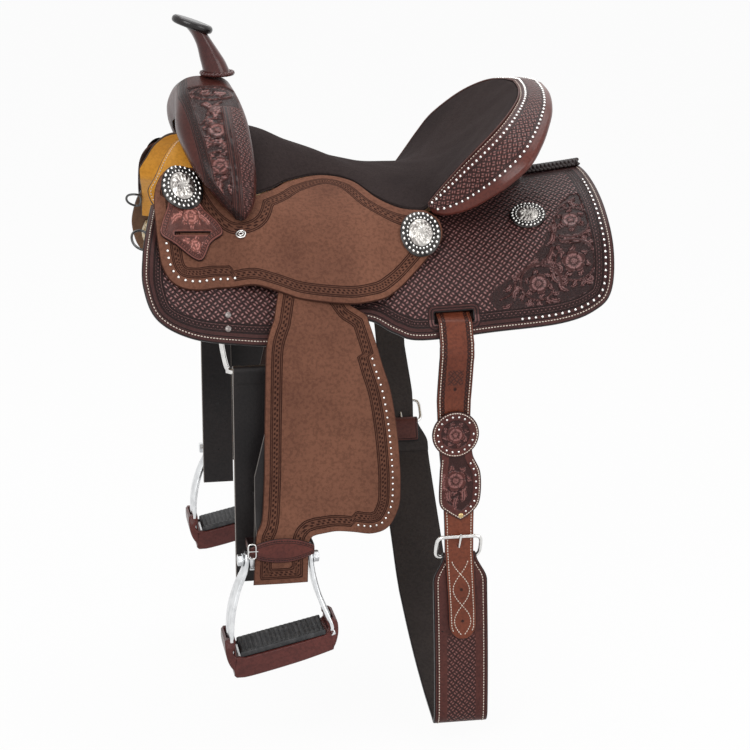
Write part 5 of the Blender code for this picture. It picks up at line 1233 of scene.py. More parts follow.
def build_lining():
    halves = {side: curve([np.array([*p, a, b]) for p, a, b in zip(LINER_PATH, LINER_FRONT[side],
        LINER_REAR)], 0.004) for side in (NEAR, OFF)}
    path = np.concatenate([halves[NEAR], halves[OFF][-2::-1] * np.array([-1, 1, 1, 1])])
    way = unit(np.gradient(path[:, :2], axis=0))
    normal = np.stack([-way[:, 1], way[:, 0]], 1)
    flip = ((normal * path[:, :2]).sum(1) < 0) & (path[:, 1] > 0.05)
    normal = np.where(flip[:, None], -normal, normal)
    follow = smooth_step(0.06 - path[:, 1], 0.0, 0.045)
    t = spread(26)[None, :]
    x = path[:, 2:3] + (path[:, 3:4] - path[:, 2:3]) * t
    more = RISE_FRONT * (x * x - 0.25 ** 2) * follow[:, None]
    sides = []
    for out in (LINER_THICK / 2, -LINER_THICK / 2):
        spot = path[:, None, :2] + normal[:, None] * out
        sides.append(np.stack([x, np.broadcast_to(spot[..., 0], x.shape), spot[..., 1] + more], -1))
    golden = leather("golden_lining", (222, 160, 62), (206, 142, 50), (160, 98, 34), 0.48, None,
        (52, 34, 22), 0.0016, gloss=0.1, mottle=0.9)
    shell("golden_gullet_lining", sides[0], sides[1], [golden], "saddle", soften=0.0011,
        stands_for="gullet_liner", slot="golden_lining")
    for word, side in SIDES.items():
        half = len(halves[NEAR])
        rows = np.arange(2, half - 2) if side == NEAR else np.arange(len(path) - 3, half, -1)
        face = sides[0]
        inner_way = unit(face[rows, 8] - face[rows, 0])
        line = face[rows, 0] + inner_way * 0.0042
        steps = lengths(line)
        at = np.arange(0.004, steps[-1], 0.0042)
        spots = at_lengths(at, steps, line)
        ways = unit(at_lengths(at + 0.001, steps, line) - at_lengths(at - 0.001, steps, line))
        out = unit(at_lengths(at, steps, unit(face[rows, 3] - sides[1][rows, 3])))
        make_piece(f"{word}_lining_stitching", set_in_rows(THREAD, (spots + out * ON_FACE, ways,
            np.cross(out, ways), out)), [thread], "saddle", slot="golden_lining", sharp=80)


build_lining()

# The fork's cover: dark red-brown leather formed wet over the swell and carved with flowers and leaves. A
# smooth strip wraps the front edge beside a stamped line, and a double welt seam runs down to each foot.
COVER_THICK, FORK_WIDTH, FORK_TOP, SQUARENESS = 0.0035, 0.336, 0.187, 2 / 2.9
FORK_OUTER = [(-0.487, 0.0205), (-0.4965, 0.0295), (-0.5, 0.04), (-0.491, 0.065), (-0.452, 0.092),
    (-0.381, 0.12), (-0.274, 0.15), (-0.149, 0.174), (0.0, FORK_TOP)]
FORK_FRONT = [-0.2135, -0.2235, -0.2325, -0.25, -0.264, -0.273, -0.278, -0.276, -0.273]
FORK_REAR = [-0.194, -0.1875, -0.1835, -0.181, -0.181, -0.182, -0.184, -0.189, -0.194]
GULLET = [(-0.104, 0.046), (-0.103, 0.0515), (-0.102, 0.057), (-0.097, 0.069), (-0.086, 0.084),
    (-0.068, 0.099), (-0.045, 0.1095), (-0.022, 0.115), (0.0, 0.1165)]


def normals_of(grid):
    """Unit normals of a grid of points."""
    return unit(np.cross(np.gradient(grid, axis=1), np.gradient(grid, axis=0)))


def fork_grid(step, columns):
    """The swell's surface, its stations' distance from the top, and each point's x."""
    half = curve([np.array([share * FORK_WIDTH, z, front, rear, *gullet])
        for (share, z), front, rear, gullet in zip(FORK_OUTER, FORK_FRONT, FORK_REAR, GULLET)], step)
    st = np.concatenate([half, half[-2::-1] * np.array([-1, 1, 1, 1, -1, 1])])
    outer, inner = st[:, :2], st[:, 4:6]
    depth = np.linalg.norm(inner - outer, axis=1)
    down = (inner - outer) / depth[:, None]
    wrap = np.radians(58 + 66 * smooth_step(st[:, 1], 0.015, 0.1))
    rows = []
    for i in range(len(st)):
        turn = wrap[i] * np.linspace(-1, 1, 500)
        c, s = np.cos(turn), np.sin(turn)
        x = (st[i, 2] + st[i, 3]) / 2 + (st[i, 3] - st[i, 2]) / 2 * np.copysign(np.abs(s) ** SQUARENESS, s)
        r = depth[i] / 2 * (1 - np.copysign(np.abs(c) ** SQUARENESS, c))
        line = np.stack([x, outer[i, 0] + down[i, 0] * r, outer[i, 1] + down[i, 1] * r], 1)
        reach = lengths(line)
        rows.append(at_lengths(spread(columns) * reach[-1], reach, line))
    steps = lengths(outer)
    far = np.abs(steps - steps[len(half) - 1])
    return np.stack(rows), np.broadcast_to(far[:, None], (len(st), rows[0].shape[0]))


def fork_carving(flat):
    """Flowers, leaves, stems and the oval frame under the horn, 0 on the ground to 1 on the crests."""
    ring = np.abs(np.hypot((flat[:, 0] + 0.229) / 0.027, (flat[:, 1] - 0.056) / 0.015) - 1.0)
    shapes = [0.9 * smooth_step(0.11 - ring, 0.0, 0.05), vine(flat, [(-0.218, 0.076), (-0.233, 0.09),
        (-0.24, 0.113), (-0.239, 0.14), (-0.224, 0.155), (-0.217, 0.173), (-0.221, 0.199), (-0.235, 0.208)],
        0.0044)]
    for base, tip, wide, curl in (((-0.227, 0.056), (-0.208, 0.054), 0.013, 0.2),
            ((-0.232, 0.09), (-0.248, 0.079), 0.011, 0.2), ((-0.229, 0.108), (-0.215, 0.088), 0.012, -0.2),
            ((-0.233, 0.098), (-0.222, 0.078), 0.009, 0.1), ((-0.226, 0.143), (-0.214, 0.158), 0.01, 0.2),
            ((-0.239, 0.14), (-0.252, 0.158), 0.011, -0.2), ((-0.242, 0.176), (-0.25, 0.19), 0.01, 0.2),
            ((-0.224, 0.178), (-0.212, 0.193), 0.01, 0.2), ((-0.23, 0.2), (-0.226, 0.224), 0.011, 0.2),
            ((-0.221, 0.21), (-0.212, 0.234), 0.009, -0.1), ((-0.216, 0.142), (-0.212, 0.114), 0.007, 0.1)):
        shapes.append(leaf(flat, base, tip, wide, curl))
    return bouquet(flat, [(-0.2285, 0.129, 0.014, 0.4, 7), (-0.229, 0.184, 0.014, 1.1, 7),
        (-0.237, 0.056, 0.0085, 0.2, 4)], shapes + [vine(flat, scroll(-0.23, 0.129, 0.0205, 1.5, 0.8, 0.3),
        0.0036), vine(flat, scroll(-0.229, 0.184, 0.019, -1.5, -0.8, 0.3), 0.0036)])


def fork_tooling(tree):
    along, front = places(tree, "edge")
    rails = line_at(front, 0.0, 0.0022, 0.0094, 0.0116, half=0.0008)
    stamps = scallops(along, front, 0.0058, 0.005, 0.0028)
    border = most(rails, stamps)
    seam = line_at(mark_of(tree, "seam"), 0.001, 0.0036, 0.0062, half=0.0008)
    weave = (1.0 - basket(tree, 0.0058)) * mark_of(tree, "woven")
    carved = mark_of(tree, "carved")
    ground = figure("MULTIPLY", carved, 0.35 + pores(tree, 600.0), clamp=True)
    dark = most(border, seam, weave * 0.85, ground)
    cut = most(border, weave) * 0.0009
    cut = cut + carved * pores(tree, 600.0) * 0.0006
    # Painted highlight: the carving's crests and the basket's crowns are lightened in colour.
    crest_glint = mark_of(tree, "crest_glint") * 0.24
    return dark, cut, most(crest_glint, glints(1.0 - weave, mark_of(tree, "woven") * 0.5))


def build_cover():
    outer, far = fork_grid(0.0016, 80)
    normal = normals_of(outer)
    middle = outer.shape[0] // 2
    normal = normal * np.sign(normal[middle, 40, 2])
    flat = np.stack([outer[..., 0], far], -1).reshape(-1, 2)
    own_front = np.interp(flat[:, 1], far[:middle + 1, 0][::-1], outer[:middle + 1, :, 0].min(1)[::-1])
    own_rear = np.interp(flat[:, 1], far[:middle + 1, 0][::-1], outer[:middle + 1, :, 0].max(1)[::-1])
    front = flat[:, 0] - np.maximum(-0.27 + 0.14 * (flat[:, 1] - 0.06), own_front + 0.0045)
    seam_x = -0.214 + 0.035 * (flat[:, 1] - 0.085)
    seam = np.abs(flat[:, 0] - seam_x) + 0.05 * smooth_step(0.088 - flat[:, 1], 0, 0.003)
    ahead = front - 0.0122
    behind = np.where(flat[:, 1] > 0.086, seam_x - 0.0068 - flat[:, 0], own_rear - 0.006 - flat[:, 0])
    facing = (normal[..., 1:] ** 2).sum(-1).ravel() > 0.1
    panel = smooth_step(ahead, 0, 0.0012) * smooth_step(behind, 0, 0.0012) * facing
    panel *= smooth_step(flat[:, 1], 0.036, 0.0375)
    shapes = fork_carving(flat)
    ground = panel * (1 - shapes)
    woven = smooth_step(flat[:, 0] - seam_x, 0.0072, 0.008) * smooth_step(flat[:, 1], 0.088, 0.091)
    woven *= smooth_step(own_rear - 0.0045 - flat[:, 0], 0, 0.0012)
    welt = 0.0011 * smooth_step(0.006 - seam, 0, 0.0015) - 0.001 * smooth_step(0.0011 - seam, 0, 0.0009)
    depth = (0.0018 * ground - welt).reshape(far.shape)
    red = leather("carved_fork_leather", (82, 42, 36), (62, 31, 28), (26, 11, 11), 0.34, fork_tooling,
        (24, 13, 13), 0.0012, gloss=0.1)
    shell("carved_fork_cover", outer - normal * depth[..., None], outer - normal * COVER_THICK, [red],
        "saddle", soften=0.0012, maps={"edge": np.stack([flat[:, 1], front], -1)},
        marks={"carved": ground, "woven": woven, "seam": seam, "crest_glint": panel * crests(shapes)},
        stands_for="fork_cover", slot="red_leather")


build_cover()

# The horn: a steel horn covered in smooth red-brown leather, with a stamped collar round its foot. The oval
# cap is wrapped in polished black leather and tilts up to the front.
HORN_HEIGHT, HORN_PITCH = 0.06, math.radians(20)
NECK_FOOT = FORK_TOP + 0.0008
smooth_red = leather("polished_horn_leather", (86, 43, 39), (64, 31, 30), (34, 16, 16), 0.2, gloss=0.35,
    depth=4e-05)
black_gloss = leather("polished_black_leather", (44, 38, 38), (28, 25, 26), (10, 9, 9), 0.26, gloss=0.35,
    depth=6e-05)


def build_horn():
    lean = curve([(0.0, -0.215, 0.019, 0.021), (0.1, -0.2165, 0.0178, 0.0195),
        (0.35, -0.2215, 0.0165, 0.0175), (0.62, -0.228, 0.014, 0.015), (0.85, -0.2355, 0.0135, 0.0145),
        (1.0, -0.242, 0.015, 0.0165)], 0.045)
    t = np.arange(40) * 2 * math.pi / 40
    tilt = math.tan(HORN_PITCH)
    share, x, half_x, half_y = lean.T[:, :, None]
    px = x + half_x * np.cos(t)
    height = NECK_FOOT + HORN_HEIGHT * share - (px - x) * tilt * smooth_step(share, 0.1, 1.0)
    make_piece("horn_neck_leather", of_rings(np.stack([px, half_y * np.sin(t) + 0 * share, height], -1)),
        [smooth_red], "saddle", stands_for="horn_neck", slot="red_leather", sharp=70)
    collar = [(-0.2152 + 0.0208 * math.cos(a), 0.023 * math.sin(a), NECK_FOOT + 0.0022
        + 0.0004 * math.cos(22 * a)) for a in np.linspace(0, 2 * math.pi, 132, endpoint=False)]
    wire = 0.0026 + 0.0005 * np.abs(np.cos(11 * np.linspace(0, 2 * math.pi, 132, endpoint=False)))
    make_piece("horn_collar", sweep(collar, wire, 8, closed=True), [smooth_red], "saddle",
        slot="red_leather", sharp=80)
    centre = np.array([-0.249, 0.0, NECK_FOOT + HORN_HEIGHT + 0.0004 + (0.249 - 0.242) * tilt])
    along = np.array([-math.cos(HORN_PITCH), 0.0, math.sin(HORN_PITCH)])
    up = np.array([math.sin(HORN_PITCH), 0.0, math.cos(HORN_PITCH)])
    rim = [(0.7, 0.0), (0.86, 0.01), (0.95, 0.12), (0.99, 0.3), (1.0, 0.5), (0.985, 0.7), (0.945, 0.85),
        (0.915, 0.875), (0.9, 0.94), (0.84, 0.97), (0.6, 0.99), (0.35, 1.0), (0.12, 1.0)]
    rings = []
    for wide, high in rim:
        rings.append(centre + along * 0.0285 * wide * np.cos(t)[:, None] + up * 0.011 * high
            + np.array([0, 0.025, 0]) * wide * np.sin(t)[:, None])
    make_piece("horn_cap_leather", of_rings(rings), [black_gloss], "saddle", stands_for="horn_cap",
        slot="black_leather", sharp=70)


build_horn()

# The seat: dark suede over foam, glued to the ground seat and drawn up over the cantle's face. Its edge is
# turned under. A short slit in front, that lets a strap through, is a dark line of painted shade.
SEAT_PAD, SEAT_LIFT = 0.01, 0.031
RIM = [(0.0535, -0.1345, 0.0385), (0.069, -0.138, 0.058), (0.087, -0.144, 0.08), (0.106, -0.149, 0.101),
    (0.13, -0.143, 0.122), (0.149, -0.13, 0.138), (0.166, -0.108, 0.151), (0.179, -0.08, 0.16)]
CREST = [(-0.18, 0.1185), (-0.155, 0.111), (-0.125, 0.098), (-0.084, 0.082), (-0.046, 0.068),
    (-0.012, 0.061), (0.018, 0.0585), (0.045, 0.0595), (0.065, 0.0635), (0.083, 0.07), (0.105, 0.084),
    (0.127, 0.102), (0.147, 0.122), (0.164, 0.14), (0.179, 0.156), (0.191, 0.169)]


def build_seat():
    edge = np.concatenate([on_back(*np.array(SEAT_LINE).T, SEAT_LIFT), np.array(RIM)])
    rows = curve(np.concatenate([edge, np.array(CREST)], 1), 0.0055)
    a = np.sign(np.linspace(-1, 1, 79)) * np.abs(np.linspace(-1, 1, 79)) ** 0.86
    share = np.abs(a)[None, :]
    sx, sy, sz, cx, cz = (rows[:, k:k + 1] for k in range(5))
    top = np.stack([cx + (sx - cx) * share ** 2.0, -sy * a[None, :], cz + (sz - cz) * share ** 2.2], -1)
    normal = normals_of(top)
    normal = normal * np.sign(normal[30, 39, 2])
    end = smooth_step(np.arange(len(rows)), len(rows) - 6, len(rows) - 1)[:, None]
    pad = SEAT_PAD - 0.0075 * np.maximum(smooth_step(share, 0.75, 1.0), end)
    crease = 0.0005 * np.sin(top[..., 0] * 95 + 3 * np.sin(top[..., 1] * 38)) * smooth_step(0.9 - share, 0,
        0.3)
    slit_shade = np.abs(top[..., 0] + 0.16 - 0.5 * (np.abs(top[..., 1])
        - 0.034)) + 0.05 * np.maximum(np.abs(np.abs(top[..., 1]) - 0.034) - 0.0085, 0)
    low = top - normal * pad[..., None]
    # The slit is a dark line of painted shade with a faint bump, not a cut.
    suede = leather("brushed_suede", (54, 45, 44), (42, 35, 35), (30, 24, 24), 0.95,
        lambda tree: (line_at(mark_of(tree, "slit_shade"), 0.0, half=0.0016), grain(tree, 700.0, 2.0) * 0.0003,
        None), nap=0.35, mottle=0.7, depth=0.0002)
    seat = shell("padded_seat", top - normal * crease[..., None], low, [suede], "saddle", soften=0.0035,
        marks={"slit_shade": slit_shade}, stands_for="seat_cover", slot="suede")


build_seat()

# The cantle roll: a flat band of red-brown leather with a basket stamp, sewn along the seat and bound round
# its outer edge with plain leather. A row of studs runs along each border of the stamp.
ROLL_THICK = 0.011
ROLL_INNER = [(0.046, -0.135, 0.0305), *RIM, (0.188, -0.04, 0.1655), (0.191, 0.0, 0.169)]
ROLL_OUTER = [(0.052, -0.144, 0.0175), (0.068, -0.155, 0.0175), (0.09, -0.168, 0.025), (0.11, -0.181, 0.038),
    (0.138, -0.199, 0.062), (0.168, -0.201, 0.09), (0.19, -0.18, 0.114), (0.207, -0.15, 0.134),
    (0.221, -0.112, 0.15), (0.231, -0.058, 0.162), (0.235, 0.0, 0.167)]


def roll_frames(step):
    half = curve(np.concatenate([np.array(ROLL_INNER), np.array(ROLL_OUTER)], 1), step)
    st = np.concatenate([half, half[-2::-1] * np.array([1, -1, 1, 1, -1, 1])])
    start, across = st[:, :3], st[:, 3:] - st[:, :3]
    wide = np.linalg.norm(across, axis=1)
    along = np.gradient(st[:, :3] + st[:, 3:], axis=0)
    normal = unit(np.cross(along, across))
    normal = np.where(normal[:, 2:] > 0, normal, -normal)
    return start, wide[:, None], across / wide[:, None], normal


def roll_face(frames, share):
    start, wide, across, normal = frames
    half = ROLL_THICK / 2
    swell = 0.0038 * np.sin(math.pi * min(max(share, 0.0), 1.0)) ** 0.8
    return start + across * (0.003 + (wide - half - 0.003) * share) + normal * swell


def roll_tooling(tree):
    _, share = places(tree, "edge")
    weave = 1.0 - basket(tree, 0.0078)
    sunk = weave * between(share, 0.29, 0.76, 0.008)
    rails = line_at(share, 0.115, 0.265, 0.295, 0.755, 0.785, half=0.011)
    dark = most(sunk, rails)
    # The basket's crowns get a painted highlight in the colour.
    return dark, dark * 0.001, glints(1.0 - weave, between(share, 0.29, 0.76, 0.008) * 0.6)


def out_beside(path, outs, spots, ways):
    """The outward direction at each place on a line, square to the line."""
    out = outs[np.argmin(np.linalg.norm(spots[:, None] - path[None], axis=2), 1)]
    return unit(out - ways * (out * ways).sum(-1, keepdims=True))


def build_roll():
    frames = roll_frames(0.0035)
    start, wide, across, normal = frames
    half = ROLL_THICK / 2
    shares = np.linspace(0, 1, 28)
    ring = [roll_face(frames, share) for share in shares]
    middle = start + across * (wide - half) - normal * half
    for turn in np.radians([68, 45, 22, 0, -22, -45, -68, -90]):
        ring.append(middle + (across * math.cos(turn) + normal * math.sin(turn)) * half)
    for share in (0.66, 0.33):
        ring.append(start + across * (wide - half) * share - normal * ROLL_THICK * (0.55 + 0.45 * share))
    ring.append(start + across * 0.003 - normal * ROLL_THICK * 0.55)
    rings = np.stack(ring, 1)
    points, faces = of_rings(rings)
    around = rings.shape[1]
    length = lengths(middle)
    value = np.concatenate([shares, np.full(around - len(shares), 1.2)])
    flat = np.stack(np.broadcast_arrays(length[:, None], np.minimum(value, 1.0)[None] * wide),
        -1).reshape(-1, 2)
    edge = np.stack(np.broadcast_arrays(length[:, None], value[None]), -1).reshape(-1, 2)
    red = leather("basket_stamped_roll", (92, 52, 46), (70, 38, 35), (26, 12, 12), 0.38, roll_tooling,
        gloss=0.08)
    binding = leather("plain_binding", (104, 54, 44), (82, 40, 35), (46, 22, 20), 0.3, gloss=0.2)
    piping = leather("seat_piping", (96, 64, 58), (76, 48, 44), (44, 26, 25), 0.45)
    make_piece("roll_piping", sweep(roll_face(frames, -0.012)[1:-1] + normal[1:-1] * 0.0012, 0.0013, 8),
        [piping], "saddle", slot="red_leather", sharp=80)
    column = np.array([min(f) % around for f in faces])
    make_piece("cantle_roll_leather", (points, faces), [red, binding], "saddle",
        maps={"flat": flat, "edge": edge}, finish_of=((column >= 24) & (column < around - 4)).astype(int),
        stands_for="cantle_roll", slot="red_leather", sharp=50)
    for word, share, template, pitch, finish, trim in (("inner_studs", 0.2, STUD, 0.0074, silver, 2),
            ("outer_studs", 0.835, STUD, 0.009, silver, 3), ("stitching", 0.05, THREAD, 0.0044, thread, 2)):
        path = roll_face(frames, share)[trim:-trim]
        spots, ways = stations(path, pitch)
        out = out_beside(path, normal[trim:-trim], spots, ways)
        make_piece(f"roll_{word}", set_in_rows(template, (spots, ways, np.cross(out, ways), out)), [finish],
            "saddle", slot="silver", sharp=80)


build_roll()

# Behind the cantle: one dark leather, sewn up under the roll and down on the skirts, that closes the back
# of the seat.
BACK_FOOT = [(0.074, 0.114), (0.1, 0.103), (0.13, 0.086), (0.158, 0.066), (0.182, 0.043), (0.197, 0.022),
    (0.203, 0.0)]


def build_cantle_back():
    frames = roll_frames(10.0)
    _, wide, across, normal = (part[:len(ROLL_INNER)] for part in frames)
    half = []
    for (x, s), part, k in zip(BACK_FOOT, [0.62, 0.6, 0.56, 0.5, 0.45, 0.42, 0.4], [1, 3, 4, 5, 7, 9, 10]):
        j = min(k, len(ROLL_INNER) - 2)
        top = np.array(ROLL_INNER[k]) + across[j] * wide[j] * part - normal[j] * (ROLL_THICK + 0.003)
        half.append(np.array([*top, *on_back(x, s, 0.0016)]))
    half[-1][1] = 0.0
    near = curve(half, 0.006)
    st = np.concatenate([near, near[-2::-1] * np.array([1, -1, 1, 1, -1, 1])])
    top, low = st[:, None, :3], st[:, None, 3:]
    inward = unit(np.stack([-np.ones(len(st)), -st[:, 4] * 9.0, np.zeros(len(st))], 1))[:, None]
    t = spread(12)[None, :, None]
    outer = top * (1 - t) + low * t + inward * 0.012 * t * (1 - t)
    back = leather("cantle_back_leather", (92, 56, 50), (68, 40, 37), (26, 14, 14), 0.42,
        lambda tree: (1.0 - basket(tree, 0.008), basket(tree, 0.008) * -0.0006, None), (22, 14, 14), 0.0016,
        gloss=0.15)
    shell("cantle_back_leather", outer, outer + inward * 0.0034, [back], "saddle", soften=0.001,
        stands_for="cantle_back", slot="dark_leather")


build_cantle_back()

# The fenders: one leather from under the jockey down to the neck that covers the stirrup leather's loop. The
# rough side is out, with the jockey's chain border, and studs follow the rear edge.
STACK_LIFT, LEATHER_THICK, FENDER_LIFT = 0.0045, 0.0035, 0.0083
HINGE_HEIGHT, BOLT_HEIGHT = -0.097, -0.413
NECK_OUT, ROLLER_RADIUS, BOLT_OUT = 0.0162, 0.014, BARREL_HALF_WIDTH + 0.0055


def hinge_s(x):
    drop = HINGE_HEIGHT - barrel_level(x)
    return np.where(drop >= 0, np.arccos(np.clip(drop / (BARREL_DROP + STACK_TOP), -1, 1)) * GIRTH,
        QUARTER - drop)


def low_s(x, z):
    return QUARTER + barrel_level(x) - z


def at_height(*spots):
    """(x, height over the bolt) as places on the side."""
    return [(x, float(low_s(x, BOLT_HEIGHT + z))) for x, z in spots]


FENDER_FRONT = [(-0.182, 0.304), (-0.186, 0.338), (-0.189, 0.4), (-0.191, 0.482), (-0.195, 0.53),
    *at_height((-0.203, 0.041), (-0.2055, 0.018), (-0.2065, 0.0), (-0.2085, -0.028))]
NECK_REAR = at_height((-0.137, -0.028), (-0.1362, 0.0), (-0.1352, 0.0245), (-0.129, 0.0335),
    (-0.1175, 0.0355))
FENDER_REAR = [NECK_REAR[-1], *at_height((-0.098, 0.036), (-0.073, 0.0315), (-0.048, 0.028), (-0.027, 0.036),
    (-0.0135, 0.062), (-0.011, 0.09), (-0.012, 0.124), (-0.0166, 0.174), (-0.024, 0.218)), (-0.033, 0.33),
    (-0.041, 0.3), (-0.05, float(hinge_s(-0.05)))]
UPPER_END = [(-0.05, float(hinge_s(-0.05))), (-0.07, 0.256), (-0.098, 0.215), (-0.104, 0.205),
    (-0.155, 0.205), (-0.1715, float(hinge_s(-0.1715)))]


def neck_bulge(x, s):
    top, low = low_s(-0.2, BOLT_HEIGHT + 0.095), low_s(-0.2, BOLT_HEIGHT + 0.015)
    return NECK_OUT * smooth_step(s, top, low) * (1 - smooth_step(x, -0.125, -0.07))


def fender_over(x, s):
    return STACK_TOP + neck_bulge(x, s) - 0.0009 * smooth_step(SWING_S - s, 0.0, 0.035)


def beside_studs(flat):
    x, s = flat.T
    lean = 0.016 * smooth_step(low_s(-0.08, -0.23) - s, 0.0, 0.02)
    return smooth_step(x + lean, -0.076, -0.071) * smooth_step(s - low_s(x, -0.15), 0.0, 0.003)


def bend_at_hinge(piece):
    """Bakes the piece's placement into its points; the leather does not bend."""
    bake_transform(piece)


fender_outline = joined(*(curve(pair, 0.005) for pair in zip(UPPER_END, UPPER_END[1:])),
    curve([UPPER_END[-1], *FENDER_FRONT], 0.005), curve([FENDER_FRONT[-1], NECK_REAR[0]], 0.005),
    curve(NECK_REAR, 0.005), curve(FENDER_REAR, 0.005))
for word, side in SIDES.items():
    fender = cut_leather(f"{word}_fender_leather", fender_outline, lambda x, s: fender_over(x, s)
        - LEATHER_THICK, fender_over, on_side(side), 0.0052, [roughout, smooth_back], f"{word}_fender",
        shift=lambda p: 0.0078 * beside_studs(p), stands_for=(f"{word}_fender", f"{word}_leather_top"),
        slot="roughout", free=True)
    bend_at_hinge(fender)
    line = inset(fender_outline, 0.0108, 0.98)
    line = line[beside_studs(line) > 0.9]
    make_piece(f"{word}_fender_studs", set_in_rows(SMALL_STUD, stand_on(on_side(side), fender_over,
        *stations(line, 0.008))), [silver], f"{word}_fender", slot="silver", sharp=80)

# The stirrup leathers: strong black straps behind the fenders, from the tree's bar down, round the stirrup's
# roller and up again behind.
black_strap = leather("black_strap_leather", (38, 34, 34), (27, 24, 25), (10, 9, 9), 0.4, None,
    (104, 98, 94), 0.0008, gloss=0.12)


PLAY, LOOP_END = 0.0004, 0.113


def loop_path():
    """Distance out and height of the strap's middle, from behind the fender round the roller and up."""
    radius = ROLLER_RADIUS + PLAY + LEATHER_THICK / 2
    behind = BARREL_HALF_WIDTH + STACK_LIFT - 0.0007 + LEATHER_THICK / 2
    path = [(behind, BOLT_HEIGHT + LOOP_END), (behind, BOLT_HEIGHT + 0.078),
        (behind + 0.0025, BOLT_HEIGHT + 0.061), (BOLT_OUT + radius - 0.005, BOLT_HEIGHT + 0.031)]
    path += [(BOLT_OUT + radius * math.cos(t), BOLT_HEIGHT - radius * math.sin(t))
        for t in np.radians(np.arange(0, 181, 15))]
    inner = behind - LEATHER_THICK - 0.0006
    path += [(BOLT_OUT - radius + 0.0015, BOLT_HEIGHT + 0.021), (BOLT_OUT - radius + 0.0075,
        BOLT_HEIGHT + 0.045), (inner, BOLT_HEIGHT + 0.073), (inner, BOLT_HEIGHT + 0.091)]
    return curve(path, 0.005)


def band(rows, columns=10, place=None, face=1):
    """A strap's two faces from (a, b, thickness, low, high) rows, a and b being its middle line."""
    line = rows[:, :2]
    way = unit(np.gradient(line, axis=0))
    normal = np.stack([-way[:, 1], way[:, 0]], 1) * face * rows[:, 2:3] / 2
    across = rows[:, 3:4] + (rows[:, 4:5] - rows[:, 3:4]) * spread(columns)[None]
    sides = []
    for p in (line + normal, line - normal):
        a, b = (np.broadcast_to(v[:, None], across.shape) for v in p.T)
        sides.append(np.stack(place(across, a, b) if place else (across, a, b), -1))
    return sides


for word, side in SIDES.items():
    down = np.linspace(-0.24, 0.97, 60)[:, None]
    t = spread(8)[None]
    x = (-0.155 - 0.048 * down) * (1 - t) + (-0.09 - 0.0455 * down) * t
    s = hinge_s(x) + (low_s(x, BOLT_HEIGHT + LOOP_END) - hinge_s(x)) * down
    loop = loop_path()
    flat = np.full(len(loop), LEATHER_THICK)
    low_part = band(np.column_stack([side * loop[:, 0], loop[:, 1], flat, flat * 0 - 0.203,
        flat * 0 - 0.1355]), 8, face=side)
    upper = [on_back(x, s, STACK_LIFT - 0.0007 + lift, side) for lift in (LEATHER_THICK, 0.0)]
    outer, inner = (np.concatenate(pair) for pair in zip(upper, low_part))
    strap = shell(f"{word}_stirrup_strap", outer, inner, [black_strap], f"{word}_fender", soften=0.0009,
        stands_for=f"{word}_stirrup_leather", slot="black_leather", free=True)
    bend_at_hinge(strap)

# The hobble straps: a red-brown belt just above each stirrup that holds the fender to the stirrup leather.
# Its face is cut as a leaf and sewn round with dark thread, and a small buckle closes it in front.
nickel = bright_metal("polished_nickel", (0.78, 0.77, 0.75, 1), (0.62, 0.61, 0.6, 1), 0.1, 0.26)


def hobble_tooling(tree):
    along, depth = places(tree, "edge")
    line = line_at(depth, 0.0032, half=0.0009)
    dashes = abs(figure("SINE", along * 900.0))
    beads = line * ease(dashes, 0.2, 0.5)
    groove = line_at(depth, 0.0056, half=0.0005)
    dark = most(beads, groove)
    return dark, dark * 0.0005, None


hobble_leather = leather("sewn_hobble_leather", (100, 51, 43), (76, 37, 34), (22, 12, 12), 0.38,
    hobble_tooling, (34, 20, 20), 0.0009, gloss=0.1)


def build_hobble(word, side):
    loop = loop_path()
    inner_out = loop[:, 0].min() - LEATHER_THICK / 2 - 0.0006
    outer_out = BARREL_HALF_WIDTH + FENDER_LIFT + LEATHER_THICK + NECK_OUT + 0.0006
    left, right = -0.2115, -0.1302
    corners = np.array([(left, inner_out), (left, outer_out), (right, outer_out), (right, inner_out)])
    belt, buckle = BOLT_HEIGHT + 0.0185, BOLT_HEIGHT + 0.0205
    rings, along, reach = [], [], 0.0
    centre = corners.mean(0)
    half = (corners[2] - corners[0]) / 2
    for a, b, count in ((0, 1, 8), (1, 2, 44), (2, 3, 8), (3, 0, 20)):
        for t in np.linspace(0, 1, count, endpoint=False):
            p = corners[a] * (1 - t) + corners[b] * t
            face = math.sin(math.pi * t) if a == 1 else 0.0
            high = 0.0055 + 0.011 * face ** 0.7
            pull = np.abs(p - centre) / np.abs(half)
            way = np.sign(p - centre) * pull ** 14
            way = way / max(np.linalg.norm(way), 1e-06)
            ring = []
            for v, lift in ((1.0, 0.0004), (1.0, 0.0014), (0.93, 0.0022), (0.62, 0.0025), (0.31, 0.0025),
                    (0.0, 0.0025), (-0.31, 0.0025), (-0.62, 0.0025), (-0.93, 0.0022), (-1.0, 0.0014),
                    (-1.0, 0.0004), (-0.5, 0.0), (0.0, 0.0), (0.5, 0.0)):
                q = p + way * lift
                ring.append((q[0], side * q[1], belt + high * v))
                along.append((reach, high * (1 - abs(v)) if lift > 0.0021 else 0.0))
            rings.append(ring)
            reach += np.linalg.norm(corners[b] - corners[a]) / count
    make_piece(f"{word}_hobble_belt", of_rings(rings, closed=True), [hobble_leather], f"{word}_fender",
        maps={"edge": np.array(along)}, marks={"rim": np.array(along)[:, 1]},
        stands_for=f"{word}_hobble_strap", slot="red_leather", sharp=70)
    out = side * (outer_out + 0.0042)
    ring = [(left + 0.0012 + u, out, buckle + v) for u, v in ((-0.004, -0.009), (0.004, -0.009),
        (0.005, 0.0), (0.004, 0.009), (-0.004, 0.009), (-0.005, 0))]
    wire = sweep(curve(ring, 0.002, closed=True), 0.0009, 8, closed=True, up=(0, 1, 0))
    pin = sweep([(left - 0.0035, out, buckle), (left + 0.009, out, buckle)], 0.0007, 8)
    make_piece(f"{word}_hobble_buckle", put_together(wire, pin), [nickel], f"{word}_fender", slot="nickel",
        sharp=80)


for word, side in SIDES.items():
    build_hobble(word, side)

